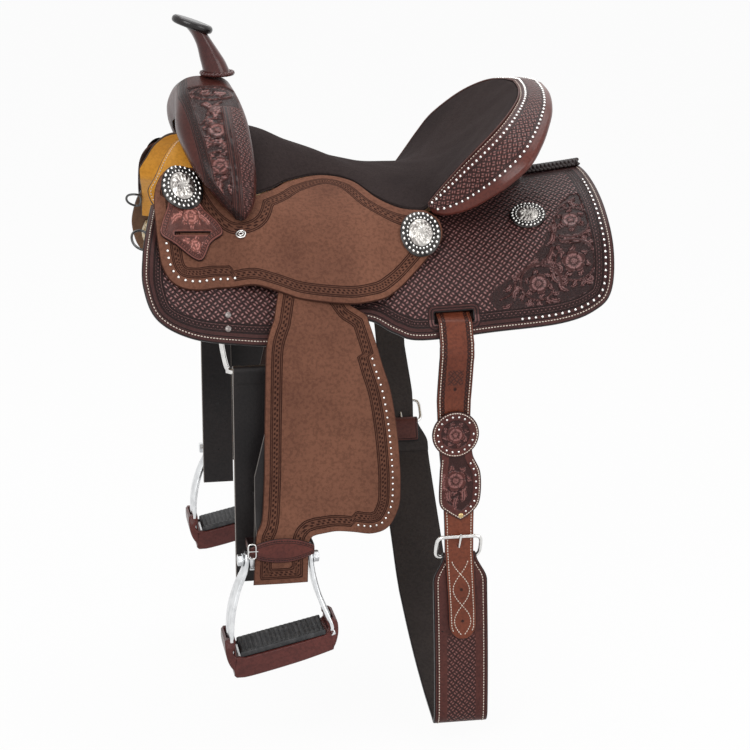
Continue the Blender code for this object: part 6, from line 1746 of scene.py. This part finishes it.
# The stirrups: cast aluminium bows with a rib along their middle. A bolt with hexagon nuts carries the
# roller, and the foot plate is wrapped in burgundy leather under a ribbed rubber pad.
STIRRUP_LEFT, STIRRUP_RIGHT, TREAD_DEPTH, PAD_THICK = -0.2155, -0.131, 0.062, 0.007
PAD_FRONT, PAD_REAR, RIB_PITCH = -0.227, -0.115, 0.0062
aluminium = bright_metal("brushed_aluminium", (0.78, 0.79, 0.8, 1), (0.62, 0.63, 0.64, 1), 0.24, 0.42, 700.0)
tread_leather = leather("burgundy_tread_leather", (96, 50, 45), (74, 37, 35), (34, 16, 16), 0.3,
    lambda tree: (line_at(mark_of(tree, "rim"), 0.0045, half=0.0006),
    line_at(mark_of(tree, "rim"), 0.0045, half=0.0006) * 0.0005, None), gloss=0.12)


def tread_line(x):
    return -0.13 + (x + 0.231) * math.tan(math.radians(12.5))


def black_rubber():
    finish, tree, shader = new_finish("ribbed_black_rubber")
    dust = ease(grain(tree, 120.0, 4.0), 0.42, 0.7)
    plug(shader, {"Base Color": mixed(dust * 0.6, dyed(34, 34, 36), dyed(72, 71, 72)),
        "Normal": bump(grain(tree, 900.0, 2.0), 0.0002), "Roughness": 0.62})
    return finish


rubber = black_rubber()


def build_stirrup(word, side):
    body = f"{word}_stirrup"
    middle = side * BOLT_OUT
    path = [(STIRRUP_LEFT, 0.0095), (STIRRUP_LEFT, 0.0), (-0.2185, -0.015), (-0.2285, -0.039),
        (-0.2365, -0.071), (-0.239, -0.107), (-0.237, -0.1265), (-0.229, tread_line(-0.229)),
        (-0.113, tread_line(-0.113)), (-0.106, tread_line(-0.106) + 0.0065), (-0.1065, -0.088),
        (-0.112, -0.075), (-0.1215, -0.051), (-0.1285, -0.022), (STIRRUP_RIGHT, 0.0),
        (STIRRUP_RIGHT, 0.0095)]
    line = curve(path, 0.004)
    deep = 0.014 + 0.01 * smooth_step(-line[:, 1], -0.0115, -0.002) + 0.03 * smooth_step(0.008 - line[:, 1],
        0, 0.11)
    rows = np.column_stack([line, np.full(len(line), 0.006), -deep / 2, deep / 2])
    outer, inner = band(rows, 14, lambda c, a, b: (a, middle + c, BOLT_HEIGHT + b), face=-1)
    share = np.abs(np.linspace(-1, 1, outer.shape[1]))[None, :, None]
    out = unit(outer - inner)
    rib = 0.0012 * smooth_step(0.3 - share, 0, 0.16) - 0.0008 * smooth_step(share, 0.3, 0.9)
    shell(f"{word}_stirrup_bow", outer + out * rib, inner, [aluminium], body, soften=0.0016,
        stands_for=f"{word}_stirrup_frame", slot="aluminium")
    a, b, half = STIRRUP_LEFT, STIRRUP_RIGHT, 0.004
    turned = []
    for lows, highs, radius, sides in ((a - 0.009, b + 0.009, 0.0046, 20),
            (a + half, b - half, ROLLER_RADIUS, 36), (a - 0.0115, a - 0.005, 0.0078, 6),
            (b + 0.005, b + 0.0115, 0.0078, 6), (a - 0.0054, a - 0.0042, 0.0088, 28),
            (b + 0.0042, b + 0.0054, 0.0088, 28)):
        t = np.arange(sides) * 2 * math.pi / sides
        bevel = min(0.0008, (highs - lows) / 3)
        rings = [np.stack([np.full(sides, x), middle + r * np.cos(t), BOLT_HEIGHT + r * np.sin(t)], 1)
            for x, r in ((lows, radius - bevel), (lows + bevel, radius), (highs - bevel, radius),
            (highs, radius - bevel))]
        turned.append(of_rings(rings))
    make_piece(f"{word}_stirrup_pin", put_together(*turned), [aluminium], body,
        stands_for=f"{word}_stirrup_bolt", slot="aluminium", sharp=30)
    half = 0.0034
    over = [(-0.2438, -0.1), (-0.2434, -0.114), (-0.242, -0.1255), (-0.235, -0.1332), (-0.222, -0.1314),
        (-0.116, tread_line(-0.116) - half - 0.0001), (-0.109, -0.106), (-0.1022, -0.0975), (-0.102, -0.088),
        (-0.1048, -0.081)]
    pairs = np.column_stack([[(-0.2478, -0.1), (-0.2474, -0.116), (-0.2442, -0.1305), (-0.237, -0.1425),
        (-0.223, -0.153), (-0.116, tread_line(-0.116) - 0.0225), (-0.1035, -0.12), (-0.0975, -0.104),
        (-0.0975, -0.088), (-0.1008, -0.08)], over])
    pairs = curve(pairs, 0.005)
    wide = TREAD_DEPTH / 2 * (0.8 + 0.2 * smooth_step(-0.097 - pairs[:, 3], 0.0, 0.02))
    across = middle + wide[:, None] * (spread(30)[None] * 2 - 1)
    sides = [np.stack(np.broadcast_arrays(pairs[:, k:k + 1], across, BOLT_HEIGHT + pairs[:, k + 1:k + 2]),
        -1) for k in (0, 2)]
    ends = smooth_step(np.abs(pairs[:, 0] + 0.171), 0.056, 0.059)
    lip = (0.0066 + 0.0034 * ends[:, None]) * smooth_step(np.abs(across - middle) / wide[:, None], 0.72,
        0.79)
    sides[1] = sides[1] + unit(sides[1] - sides[0]) * lip[..., None]
    shell(f"{word}_tread_cover", sides[0], sides[1], [tread_leather], body, soften=0.0028,
        stands_for=f"{word}_tread_leather", slot="red_leather")
    for name, part in (("front", (line[:, 0] < -0.2285) & (line[:, 1] < -0.0985)),
            ("rear", (line[:, 0] > -0.114) & (line[:, 1] < -0.0815))):
        run = line[part]
        way = unit(np.gradient(run, axis=0))
        run = run + np.stack([-way[:, 1], way[:, 0]], 1) * 0.0039
        wide = TREAD_DEPTH / 2 * 0.93
        rows = np.column_stack([run, np.full(len(run), 0.0014), np.full(len(run), -wide),
            np.full(len(run), wide)])
        above, under = band(rows, 14, lambda c, a, b: (a, middle + c, BOLT_HEIGHT + b), face=-1)
        shell(f"{word}_tread_lining_{name}", above, under, [tread_leather], body, slot="red_leather")
    x = np.linspace(PAD_FRONT, PAD_REAR, 150)
    ribs = PAD_THICK - 0.0015 * smooth_step(np.cos((x - PAD_FRONT) * 2 * math.pi / RIB_PITCH), -0.2, 0.5)
    ribs = ribs - 0.003 * (1 - smooth_step(np.minimum(x - PAD_FRONT, PAD_REAR - x), 0, 0.003))
    deep = TREAD_DEPTH / 2 - 0.003
    across = middle + deep * (spread(12)[None] * 2 - 1) + 0 * x[:, None]
    base = BOLT_HEIGHT + tread_line(x)[:, None] + half + PLAY + 0 * across
    frame_rim = smooth_step(np.abs(across - middle), deep - 0.005, deep - 0.0042)
    top = base + np.maximum(ribs[:, None], (PAD_THICK - 0.0003) * frame_rim)
    x = np.broadcast_to(x[:, None], across.shape)
    shell(f"{word}_foot_pad", np.stack([x, across, top], -1), np.stack([x, across, base], -1), [rubber],
        body, soften=0.0012, stands_for=f"{word}_tread_pad", slot="pad_rubber")


for word, side in SIDES.items():
    build_stirrup(word, side)

# The rigging: a steel plate riveted in each skirt carries a wire dee, which hangs under the skirt's edge. Two
# rivets show on the skirt.
DEE_DROP, DEE_WIRE = 0.0488, 0.0033
steel_rivet = bright_metal("steel_rivet", (0.24, 0.21, 0.2, 1), (0.14, 0.12, 0.12, 1), 0.3, 0.5)


def dee_bar(side):
    return np.array(on_back(-0.2, 0.2938, -SKIRT_THICK - 0.0021, side)) + np.array([-0.0025, -side * 0.0028,
        -DEE_DROP])


plate_outline = divided(np.array([(-0.246, 0.262), (-0.154, 0.262), (-0.158, 0.2938), (-0.242, 0.2962)]),
    0.006)
for word, side in SIDES.items():
    cut_leather(f"{word}_rigging_plate", plate_outline, -SKIRT_THICK - 0.0034, -SKIRT_THICK - 0.0008,
        on_side(side), 0.008, [nickel, nickel], "saddle", soften=0.0006, stands_for=f"{word}_rigging_dee",
        slot="nickel")
    pivot = dee_bar(side)
    path = [pivot + np.array([x, 0.0, z]) for x, z in ((-0.037, DEE_DROP + 0.0009), (-0.035, 0.0325),
        (-0.031, 0.0115), (-0.028, 0.0035), (-0.024, 0.0), (0.0235, 0.0), (0.027, 0.0035), (0.03, 0.0115),
        (0.034, 0.0325), (0.036, DEE_DROP - 0.0051))]
    make_piece(f"{word}_rigging_wire", sweep(curve(path, 0.003), DEE_WIRE, 16, up=(0, 1, 0)), [nickel],
        "saddle", slot="nickel", sharp=80)
    spots = np.array([(-0.229, 0.272), (-0.23, 0.29)])
    rivet = ball(5, 18, 0.0042, 0.0042, 0.0013, 0.0004)
    make_piece(f"{word}_rigging_rivets", set_in_rows(rivet, stand_on(on_side(side), ON_FACE, spots,
        np.array([[1.0, 0.0]] * 2))), [steel_rivet], "saddle", slot="nickel", sharp=80)

# The latigos: black straps doubled over the dees' lower bars, punched for the cinch, that hang down with
# grey raw edges. The punched holes are dark marks of painted shade over a shallow bump, not cut through.
LATIGO_WIDTH, LATIGO_LENGTH = 0.0445, 0.2885


# Each punched hole is a dark mark of painted shade over a shallow bump.
def painted_hole_marks(tree):
    hole = line_at(mark_of(tree, "hole"), 0.0, half=0.0026)
    return hole, hole * 0.0015, None


latigo_leather = leather("black_latigo_leather", (37, 33, 33), (26, 23, 24), (9, 8, 8), 0.42, painted_hole_marks,
    (120, 112, 106), 0.0008, gloss=0.1)


def hole_gap(grid, places):
    """Distance of each point from the nearest punched hole."""
    return np.min([np.linalg.norm(grid - np.array(place), axis=-1) for place in places], axis=0)


for word, side in SIDES.items():
    pivot = dee_bar(side)
    radius, ply = DEE_WIRE + PLAY + LEATHER_THICK / 2, LEATHER_THICK / 2 + 0.0003
    half = [(ply, -LATIGO_LENGTH), (ply, -0.1525), (ply, -0.0325), (ply + 0.0012, -0.0145)]
    path = half + [(radius * math.cos(t), radius * math.sin(t)) for t in np.radians(np.arange(-18, 199, 18))]
    path += [(-a, z) for a, z in reversed(half)]
    line = np.array([(pivot[1] + side * a, pivot[2] + z) for a, z in path])
    line = curve(line, 0.004)
    rows = np.column_stack([line, np.full(len(line), LEATHER_THICK), np.full(len(line),
        pivot[0] - LATIGO_WIDTH / 2), np.full(len(line), pivot[0] + LATIGO_WIDTH / 2)])
    outer, inner = band(rows, 26, face=-side)
    gap = hole_gap(outer * np.array([1, 0, 1]), [(pivot[0] + 0.001, 0, pivot[2] - d)
        for d in (0.026, 0.096, 0.166, 0.236)])
    shell(f"{word}_latigo_strap", outer, inner, [latigo_leather], f"{word}_latigo", soften=0.0009,
        marks={"hole": gap}, stands_for=f"{word}_latigo", slot="black_leather")

# The breast collar dees: thin blackened wire loops whose straight bars are caught under the skirts' front
# edges.
black_wire = bright_metal("blackened_wire", (0.1, 0.1, 0.1, 1), (0.05, 0.05, 0.05, 1), 0.3, 0.5)
for word, side in SIDES.items():
    x, s = np.array([(-0.3255, 0.183), (-0.3255, 0.159), (-0.333, 0.1545), (-0.342, 0.16), (-0.345, 0.171),
        (-0.342, 0.182), (-0.333, 0.1875)]).T
    ring = on_back(x + (0.0125 if side == OFF else 0.0), s, -SKIRT_THICK - LINER_THICK - 0.0042, side)
    make_piece(f"{word}_breast_wire", sweep(curve(ring, 0.002, closed=True), 0.0016, 10, closed=True,
        up=(0, 1, 0)), [black_wire], f"{word}_breast_dee", stands_for=f"{word}_breast_dee",
        slot="black_wire", sharp=80)

# The rear billets: chestnut straps that come out through the skirts' slots, with stamped borders, white
# stitching, and punched holes that are dark marks of painted shade. The cinch's buckle closes each one.
STRAP_THICK, BILLET_WIDTH, FOLD_THICK = 0.0045, 0.046, 0.0035
SLOT_FOOT = on_back(BILLET_X, 0.299, STRAP_THICK, OFF)
PIVOT_OUT, PIVOT_HEIGHT = SLOT_FOOT[1] + 0.0061, SLOT_FOOT[2] - 0.0334
BUCKLE_X, BUCKLE_WIDTH, BUCKLE_HEIGHT, BUCKLE_WIRE = 0.071, 0.06, 0.038, 0.0025
BAR_DOWN = {NEAR: 0.2705, OFF: 0.215}
LEAN = {NEAR: 0.0, OFF: math.radians(22)}
BAR_OUT = -STRAP_THICK / 2 - PLAY - FOLD_THICK - PLAY - BUCKLE_WIRE
TOP_BAR_OUT = STRAP_THICK / 2 + PLAY + BUCKLE_WIRE


def along_strap(side, down, out=0.0):
    """(y, z) at a length down the rear strap from its pivot, and a distance outwards."""
    turn, start, bend = LEAN[side], 0.034, 0.04
    down = np.asarray(down, float)
    base = np.array([PIVOT_OUT + 0.0024 + STRAP_THICK / 2, PIVOT_HEIGHT])
    if turn == 0:
        y, z = base[0] + out + 0 * down, base[1] - down
        return np.stack([side * y, z], -1)
    share = np.clip((down - start) / bend, 0, 1)
    angle, radius = turn * share, bend / turn
    rest = np.maximum(down - start - bend, 0)
    y = base[0] - radius * (1 - np.cos(angle)) + np.cos(angle) * out - math.sin(turn) * rest
    z = base[1] - np.minimum(down,
        start) - radius * np.sin(angle) - np.sin(angle) * out - math.cos(turn) * rest
    return np.stack([side * y, z], -1)


def strap_x(down):
    return np.interp(down, [-0.03, 0.05, 0.1, 0.17, 0.26, 0.34, 0.4],
        [BILLET_X, 0.0625, 0.063, 0.07, 0.0715, 0.0765, 0.0785])


def line_on(outer, inner, across):
    """The line on a strap's face at a distance from its first edge, or before its last if negative."""
    reach = np.concatenate([np.zeros((len(outer), 1)), np.cumsum(np.linalg.norm(np.diff(outer, axis=1),
        axis=2), 1)], 1)
    at = np.broadcast_to(across, (len(outer),))
    at = np.where(at < 0, reach[:, -1] + at, at)
    path = np.array([[np.interp(at[i], reach[i], outer[i, :, k]) for k in range(3)]
        for i in range(len(outer))])
    mid = outer.shape[1] // 2
    return path, unit(outer[:, mid] - inner[:, mid])


def sew(name, runs, body, pitch=0.004, slot="chestnut", free=False):
    """Stitches along (path, outward directions) runs."""
    frames = []
    for path, outs in runs:
        spots, ways = stations(path, pitch)
        out = out_beside(path, outs, spots, ways)
        frames.append((spots + out * ON_FACE, ways, np.cross(out, ways), out))
    return make_piece(name, set_in_rows(THREAD, join_frames(*frames)), [thread], body, slot=slot, sharp=80,
        free=free)


def billet_tooling(tree):
    _, down = places(tree, "flat")
    rim = mark_of(tree, "rim")
    arcs = scallops(down, rim, 0.0072, 0.0056, 0.0026)
    rail = line_at(rim, 0.0022, half=0.0005)
    stamped = most(arcs, rail) * mark_of(tree, "border")
    weave = (1.0 - basket(tree, 0.006)) * mark_of(tree, "woven")
    # Punched holes: dark marks of painted shade over a shallow bump.
    hole = line_at(mark_of(tree, "hole"), 0.0, half=0.003)
    dark = most(stamped, hole, weave)
    cut = most(stamped, weave) * 0.0005 + hole * 0.0018
    return dark, cut, None


chestnut = leather("chestnut_strap_leather", (118, 62, 43), (94, 46, 32), (34, 15, 12), 0.36, billet_tooling,
    (40, 22, 20), 0.001, gloss=0.1)
dark_back = leather("dark_strap_back", (58, 51, 49), (43, 38, 37), (22, 18, 18), 0.6, None, (20, 16, 16),
    0.0016, mottle=0.8)


def build_billet(word, side):
    lifts = np.array([(0.238, -0.009, 0.003), (0.26, -0.0088, 0.003), (0.269, -0.0065, 0.003),
        (0.2735, -0.0025, 0.003), (0.278, 0.0015, 0.003), (0.284, 0.0037, 0.0038),
        (0.299, STRAP_THICK, STRAP_THICK)])
    place = on_back(BILLET_X, lifts[:, 0], lifts[:, 1], side)
    bar = BAR_DOWN[side]
    tip = bar + 0.115
    lower = [(down, BILLET_WIDTH / 2 - 0.0015 * smooth_step(down, 0.03, 0.1)
        - 0.002 * smooth_step(down, 0.15, 0.24)) for down in np.arange(-0.012, bar - 0.02, 0.01)]
    lower += [(bar, 0.0192), (bar + 0.025, 0.0191), (bar + 0.05, 0.019), (tip - 0.03, 0.0188),
        (tip - 0.017, 0.0182), (tip - 0.009, 0.015), (tip - 0.004, 0.0105), (tip - 0.001, 0.006),
        (tip, 0.003)]
    gaps = np.linalg.norm(np.diff(place[:, 1:], axis=0), axis=1)
    above = -0.036 - np.concatenate([np.cumsum(gaps[::-1])[::-1], [0.0]])
    rows = [(p[1], p[2], deep, down, BILLET_WIDTH / 2 - 0.0003) for p, deep, down in zip(place, lifts[:, 2],
        above)]
    rows += [(*along_strap(side, down), STRAP_THICK, down, wide) for down, wide in lower]
    y, z, deep, down, wide = curve(rows, 0.0035).T
    middle = np.where(down > -BILLET_WIDTH / 2, strap_x(down), BILLET_X)
    outer, inner = band(np.column_stack([y, z, deep, middle - wide, middle + wide]), 26, face=side)

    def spot(at, out=0.0):
        y, z = along_strap(side, at, out)
        return float(strap_x(at)), y, z

    def hang(piece):
        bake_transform(piece)

    length = np.broadcast_to(down[:, None], outer.shape[:2])
    off = outer[..., 0] - middle[:, None]
    holes = [spot(at, STRAP_THICK / 2) for at in (0.0345, bar - 0.0185, bar + 0.044, bar + 0.089)]
    patch = (length > 0.01) & (length < 0.03) & (np.abs(off) < 0.0105)
    border = smooth_step(bar - 0.03 - length, 0, 0.004) * (length < 0.15 if side == NEAR else 1)
    hang(shell(f"{word}_billet_strap", outer, inner, [chestnut, dark_back], "cinch", soften=0.0012,
        free=True, marks={"border": border, "woven": patch.astype(float), "hole": hole_gap(outer, holes)},
        stands_for=(f"{word}_billet", f"{word}_billet_top"), slot="chestnut"))
    shown = (outer[:, 0, 2] < place[4][2]) & (down < tip - 0.01)
    runs = [line_on(outer[shown], inner[shown], d) for d in (0.0036, -0.0036)]
    wave = (down > bar + 0.002) & (down < tip - 0.006)
    swing = 0.0112 * np.sin((down[wave] - bar - 0.0215) * math.pi / 0.045)
    for sign in (1, -1):
        runs.append(line_on(outer[wave], inner[wave], wide[wave] + sign * swing))
    hang(sew(f"{word}_billet_stitching", runs, "cinch", 0.0038, free=True))


for word, side in SIDES.items():
    build_billet(word, side)

# The overlay on the near billet: a carved round head on a pointed panel, both dark red-brown. White stitching
# and studs follow their edges, and a brass rivet holds the point.
panel_outline = joined(curve([(0.045, -0.165), (0.062, -0.17), (0.083, -0.165), (0.0885, -0.144),
    (0.0985, -0.1205), (0.0985, -0.0855), (0.09, -0.0685), (0.0725, -0.0555)], 0.003),
    curve([(0.0725, -0.0555), (0.054, -0.0675), (0.0435, -0.0805), (0.0435, -0.1205), (0.045, -0.1415),
    (0.045, -0.165)], 0.003))
head_outline = round_points((0.064, -0.1755), 0.0315, 66)
# The carving's crests get a painted highlight in the colour.
overlay_leather = leather("carved_overlay_leather", (88, 47, 42), (66, 34, 32), (24, 11, 11), 0.38,
    lambda tree: (mark_of(tree, "carved") * 0.75, mark_of(tree, "carved") * pores(tree, 600.0) * 0.0005,
    mark_of(tree, "crest_glint") * 0.2), (24, 13, 13), 0.0012, gloss=0.08)


NEAR_BAR = BAR_DOWN[NEAR]


def on_near_strap(x, above, lift):
    place = along_strap(NEAR, NEAR_BAR + above, 0.0)
    return np.stack([x, place[..., 0] + NEAR * lift, place[..., 1]], -1)


def build_overlay():
    base = STRAP_THICK / 2 + PLAY

    def panel_flower(p):
        return bouquet(p, [(0.065, -0.111, 0.015, 0.5, 7)], [leaf(p, (0.056, -0.099), (0.06, -0.08), 0.009),
            leaf(p, (0.074, -0.1), (0.074, -0.079), 0.01, -0.1), leaf(p, (0.053, -0.121), (0.05, -0.101),
            0.007), leaf(p, (0.074, -0.123), (0.082, -0.11), 0.008, 0.1),
            leaf(p, (0.068, -0.09), (0.066, -0.069), 0.008)])

    def head_flower(p):
        return bouquet(p, [(0.064, -0.175, 0.0125, 0.2, 8)], [np.zeros(len(p))])

    for word, outline, shapes, deep, low, high, stands in (("panel", panel_outline, panel_flower, 0.0105,
            base, base + 0.0028, "near_billet_safe"), ("head", head_outline, head_flower, 0.0115,
            base + 0.0024, base + 0.0046, ())):

        def ground(p, outline=outline, shapes=shapes, deep=deep):
            return smooth_step(along_line(p, outline)[0], deep, deep + 0.001) * (1 - shapes(p))

        cut_leather(f"overlay_{word}", outline, low, high, on_near_strap, 0.0011,
            [overlay_leather, smooth_back], "cinch", soften=0.001, carve=lambda p, g=ground: 0.0012 * g(p),
            marks={"carved": ground, "crest_glint": lambda p, f=shapes: crests(f(p))}, stands_for=stands,
            slot="red_leather")
    frames = []
    for outline, high, kept in ((panel_outline, base + 0.0028, lambda p: p[:, 1] > -0.142),
            (head_outline, base + 0.0046, None)):
        line = inset(outline, 0.0026, 0.98)
        line = line[kept(line)] if kept else np.concatenate([line, line[:1]])
        frames.append(stand_on(on_near_strap, high + ON_FACE, *stations(line, 0.0034)))
    make_piece("overlay_stitching", set_in_rows(THREAD, join_frames(*frames)), [thread], "cinch",
        slot="red_leather", sharp=80)
    ring = round_points((0.064, -0.1755), 0.024, 18)[:-1]
    frames = [stand_on(on_near_strap, base + 0.0046, ring, np.tile([[1.0, 0.0]], (len(ring), 1)))]
    line = inset(panel_outline, 0.0072, 0.98)
    line = line[(line[:, 0] > 0.0745) & (line[:, 1] > -0.14) & (line[:, 1] < -0.064)]
    frames.append(stand_on(on_near_strap, base + 0.0028, *stations(line, 0.0088)))
    make_piece("overlay_studs", set_in_rows(SMALL_STUD, join_frames(*frames)), [silver], "cinch",
        slot="silver", sharp=80)
    brass = bright_metal("brass_rivet", (0.52, 0.38, 0.18, 1), (0.34, 0.24, 0.11, 1), 0.25, 0.45)
    rivet = ball(5, 16, 0.0036, 0.0036, 0.0012, 0.0004)
    make_piece("overlay_rivet", set_in_rows(rivet, stand_on(on_near_strap, base + 0.0028,
        np.array([[0.0725, -0.0622]]), np.array([[1.0, 0.0]]))), [brass], "cinch", slot="silver", sharp=80)


build_overlay()

# The cinch buckles: polished nickel frames bent from wire, whose lower bars the cinch's folded ends hold. A
# tongue turns on each bar and rests on the top one.
for word, side in SIDES.items():
    bar = BAR_DOWN[side]
    top, half = bar - BUCKLE_HEIGHT + 2 * BUCKLE_WIRE, BUCKLE_WIDTH / 2
    corners = [(-half + 0.004, bar, BAR_OUT), (half - 0.004, bar, BAR_OUT),
        (half, bar - 0.005, BAR_OUT + 0.002), (half, top + 0.005, TOP_BAR_OUT - 0.002),
        (half - 0.004, top, TOP_BAR_OUT), (-half + 0.004, top, TOP_BAR_OUT),
        (-half, top + 0.005, TOP_BAR_OUT - 0.002), (-half, bar - 0.005, BAR_OUT + 0.002)]
    path = np.array([(BUCKLE_X + x, *along_strap(side, down, out)) for x, down, out in corners])
    path = divided(path, 0.004)
    for _ in range(2):
        path = (path + 0.5 * (np.roll(path, 1, 0) + np.roll(path, -1, 0))) / 2
    make_piece(f"{word}_buckle_frame", sweep(path, BUCKLE_WIRE, 16, closed=True, up=(0, 1, 0)), [nickel],
        "cinch", stands_for=f"{word}_cinch_buckle", slot="nickel", sharp=80)
    start = along_strap(side, bar, BAR_OUT)
    end = along_strap(side, bar - BUCKLE_HEIGHT + 0.0005, TOP_BAR_OUT + BUCKLE_WIRE + 0.0052)
    x = BUCKLE_X + 0.0005
    t = np.linspace(0, 2 * math.pi, 28, endpoint=False)
    eye = sweep(np.stack([np.full(28, x), start[0] + 0.0039 * np.cos(t), start[1] + 0.0039 * np.sin(t)], 1),
        0.0009, 8, 2.0, closed=True, up=(1, 0, 0))
    way = unit(end - start)
    line = [(x, *start + way * d) for d in np.linspace(0.0042, np.linalg.norm(end - start), 12)]
    pin = sweep(line, 0.0018, 14, up=(1, 0, 0))
    make_piece(f"{word}_buckle_tongue", put_together(eye, pin), [nickel], f"{word}_tongue",
        stands_for=f"{word}_cinch_tongue", slot="nickel", sharp=80)

# The flank cinch: one wide strap from the near buckle down under the belly and up to the off one. Red-brown
# outside, stamped with a basket between two sewn edges, with a keeper ply in front, and dark inside.
CINCH_WIDTH, CINCH_THICK = 0.074, 0.006


def cinch_tooling(tree):
    rim = mark_of(tree, "rim")
    weave = 1.0 - basket(tree, 0.0068)
    field = ease(rim, 0.0165, 0.0185) * mark_of(tree, "woven")
    woven = weave * field
    rails = most(line_at(rim, 0.0035, half=0.0006), line_at(mark_of(tree, "hole"), 0.0, half=0.0012))
    dark = most(woven, rails)
    # The basket's crowns get a painted highlight in the colour.
    return dark, dark * 0.0009, glints(1.0 - weave, field * 0.5)


def cinch_line():
    """(y, z, thickness) rows of the strap's middle, from one fold over its buckle's bar to the other."""
    radius = BUCKLE_WIRE + PLAY + FOLD_THICK / 2
    ends = {}
    for side in (NEAR, OFF):
        bar = BAR_DOWN[side]
        spots = [(bar + 0.03, BAR_OUT - radius + 0.0014, FOLD_THICK), (bar + 0.012, BAR_OUT - radius,
            FOLD_THICK)]
        spots += [(bar - radius * math.sin(t), BAR_OUT + radius * math.cos(t), FOLD_THICK)
            for t in np.radians(np.arange(180, -1, -20))]
        spots += [(bar + 0.012, BAR_OUT + radius - 0.0001, FOLD_THICK),
            (bar + 0.04, BAR_OUT + radius - 0.0006, 0.0045), (bar + 0.06, BAR_OUT + radius - 0.0018,
            CINCH_THICK)]
        ends[side] = [(*along_strap(side, d, o), thick) for d, o, thick in spots]
    y = ends[NEAR][-1][0]
    bottom = [(y, -0.56), (y, -0.64), (y + 0.001, -0.664), (y + 0.008, -0.673), (y + 0.02, -0.67),
        (-0.164, -0.656), (-0.11, -0.634), (-0.061, -0.607), (-0.019, -0.578), (0.022, -0.547),
        (0.062, -0.506)]
    return curve(ends[NEAR] + [(*p, CINCH_THICK) for p in bottom] + ends[OFF][::-1], 0.004)


def build_cinch():
    rows = cinch_line()
    reach = lengths(rows[:, :2])
    wide = 0.0225 + (CINCH_WIDTH / 2 - 0.0225) * smooth_step(np.minimum(reach, reach[-1] - reach), 0.04,
        0.078)
    middle = 0.072 + 0.006 * np.sin(math.pi * np.minimum(reach / reach[-1] * 1.6, 1.0))
    rows = np.column_stack([rows, middle - wide, middle + wide])
    outer, inner = band(rows, 26, face=1)
    outside = outer if outer[np.argmin(rows[:, 1]), 13, 2] < inner[np.argmin(rows[:, 1]), 13, 2] else inner
    inside_face = inner if outside is outer else outer
    keeper = PIVOT_HEIGHT - NEAR_BAR - 0.108
    near_run = (outside[..., 1] < -0.15) & (np.arange(len(rows))[:, None] > 25)
    woven = np.where(near_run, smooth_step(keeper - 0.004 - outside[..., 2], 0, 0.002), 1.0)
    woven = np.where(outside[..., 1] > 0.05, 0.0, woven)
    curve_edge = keeper - 0.006 * np.cos((outside[..., 0] - middle[:, None]) / wide[:, None] * math.pi)
    gap = np.where(near_run, np.abs(outside[..., 2] - curve_edge), 1.0)
    red = leather("sewn_cinch_leather", (88, 48, 42), (68, 35, 32), (24, 11, 11), 0.38, cinch_tooling,
        (20, 16, 16), 0.0022, gloss=0.06)
    shell("flank_cinch", outside, inside_face, [red, dark_back], "cinch", soften=0.0014,
        marks={"woven": woven, "hole": gap}, stands_for="cinch", slot="red_leather")
    ends = (reach > 0.05) & (reach < reach[-1] - 0.05)
    sew("cinch_stitching", [line_on(outside[ends], inside_face[ends], d) for d in (0.0062, -0.0062)],
        "cinch", 0.004, slot="red_leather")


build_cinch()
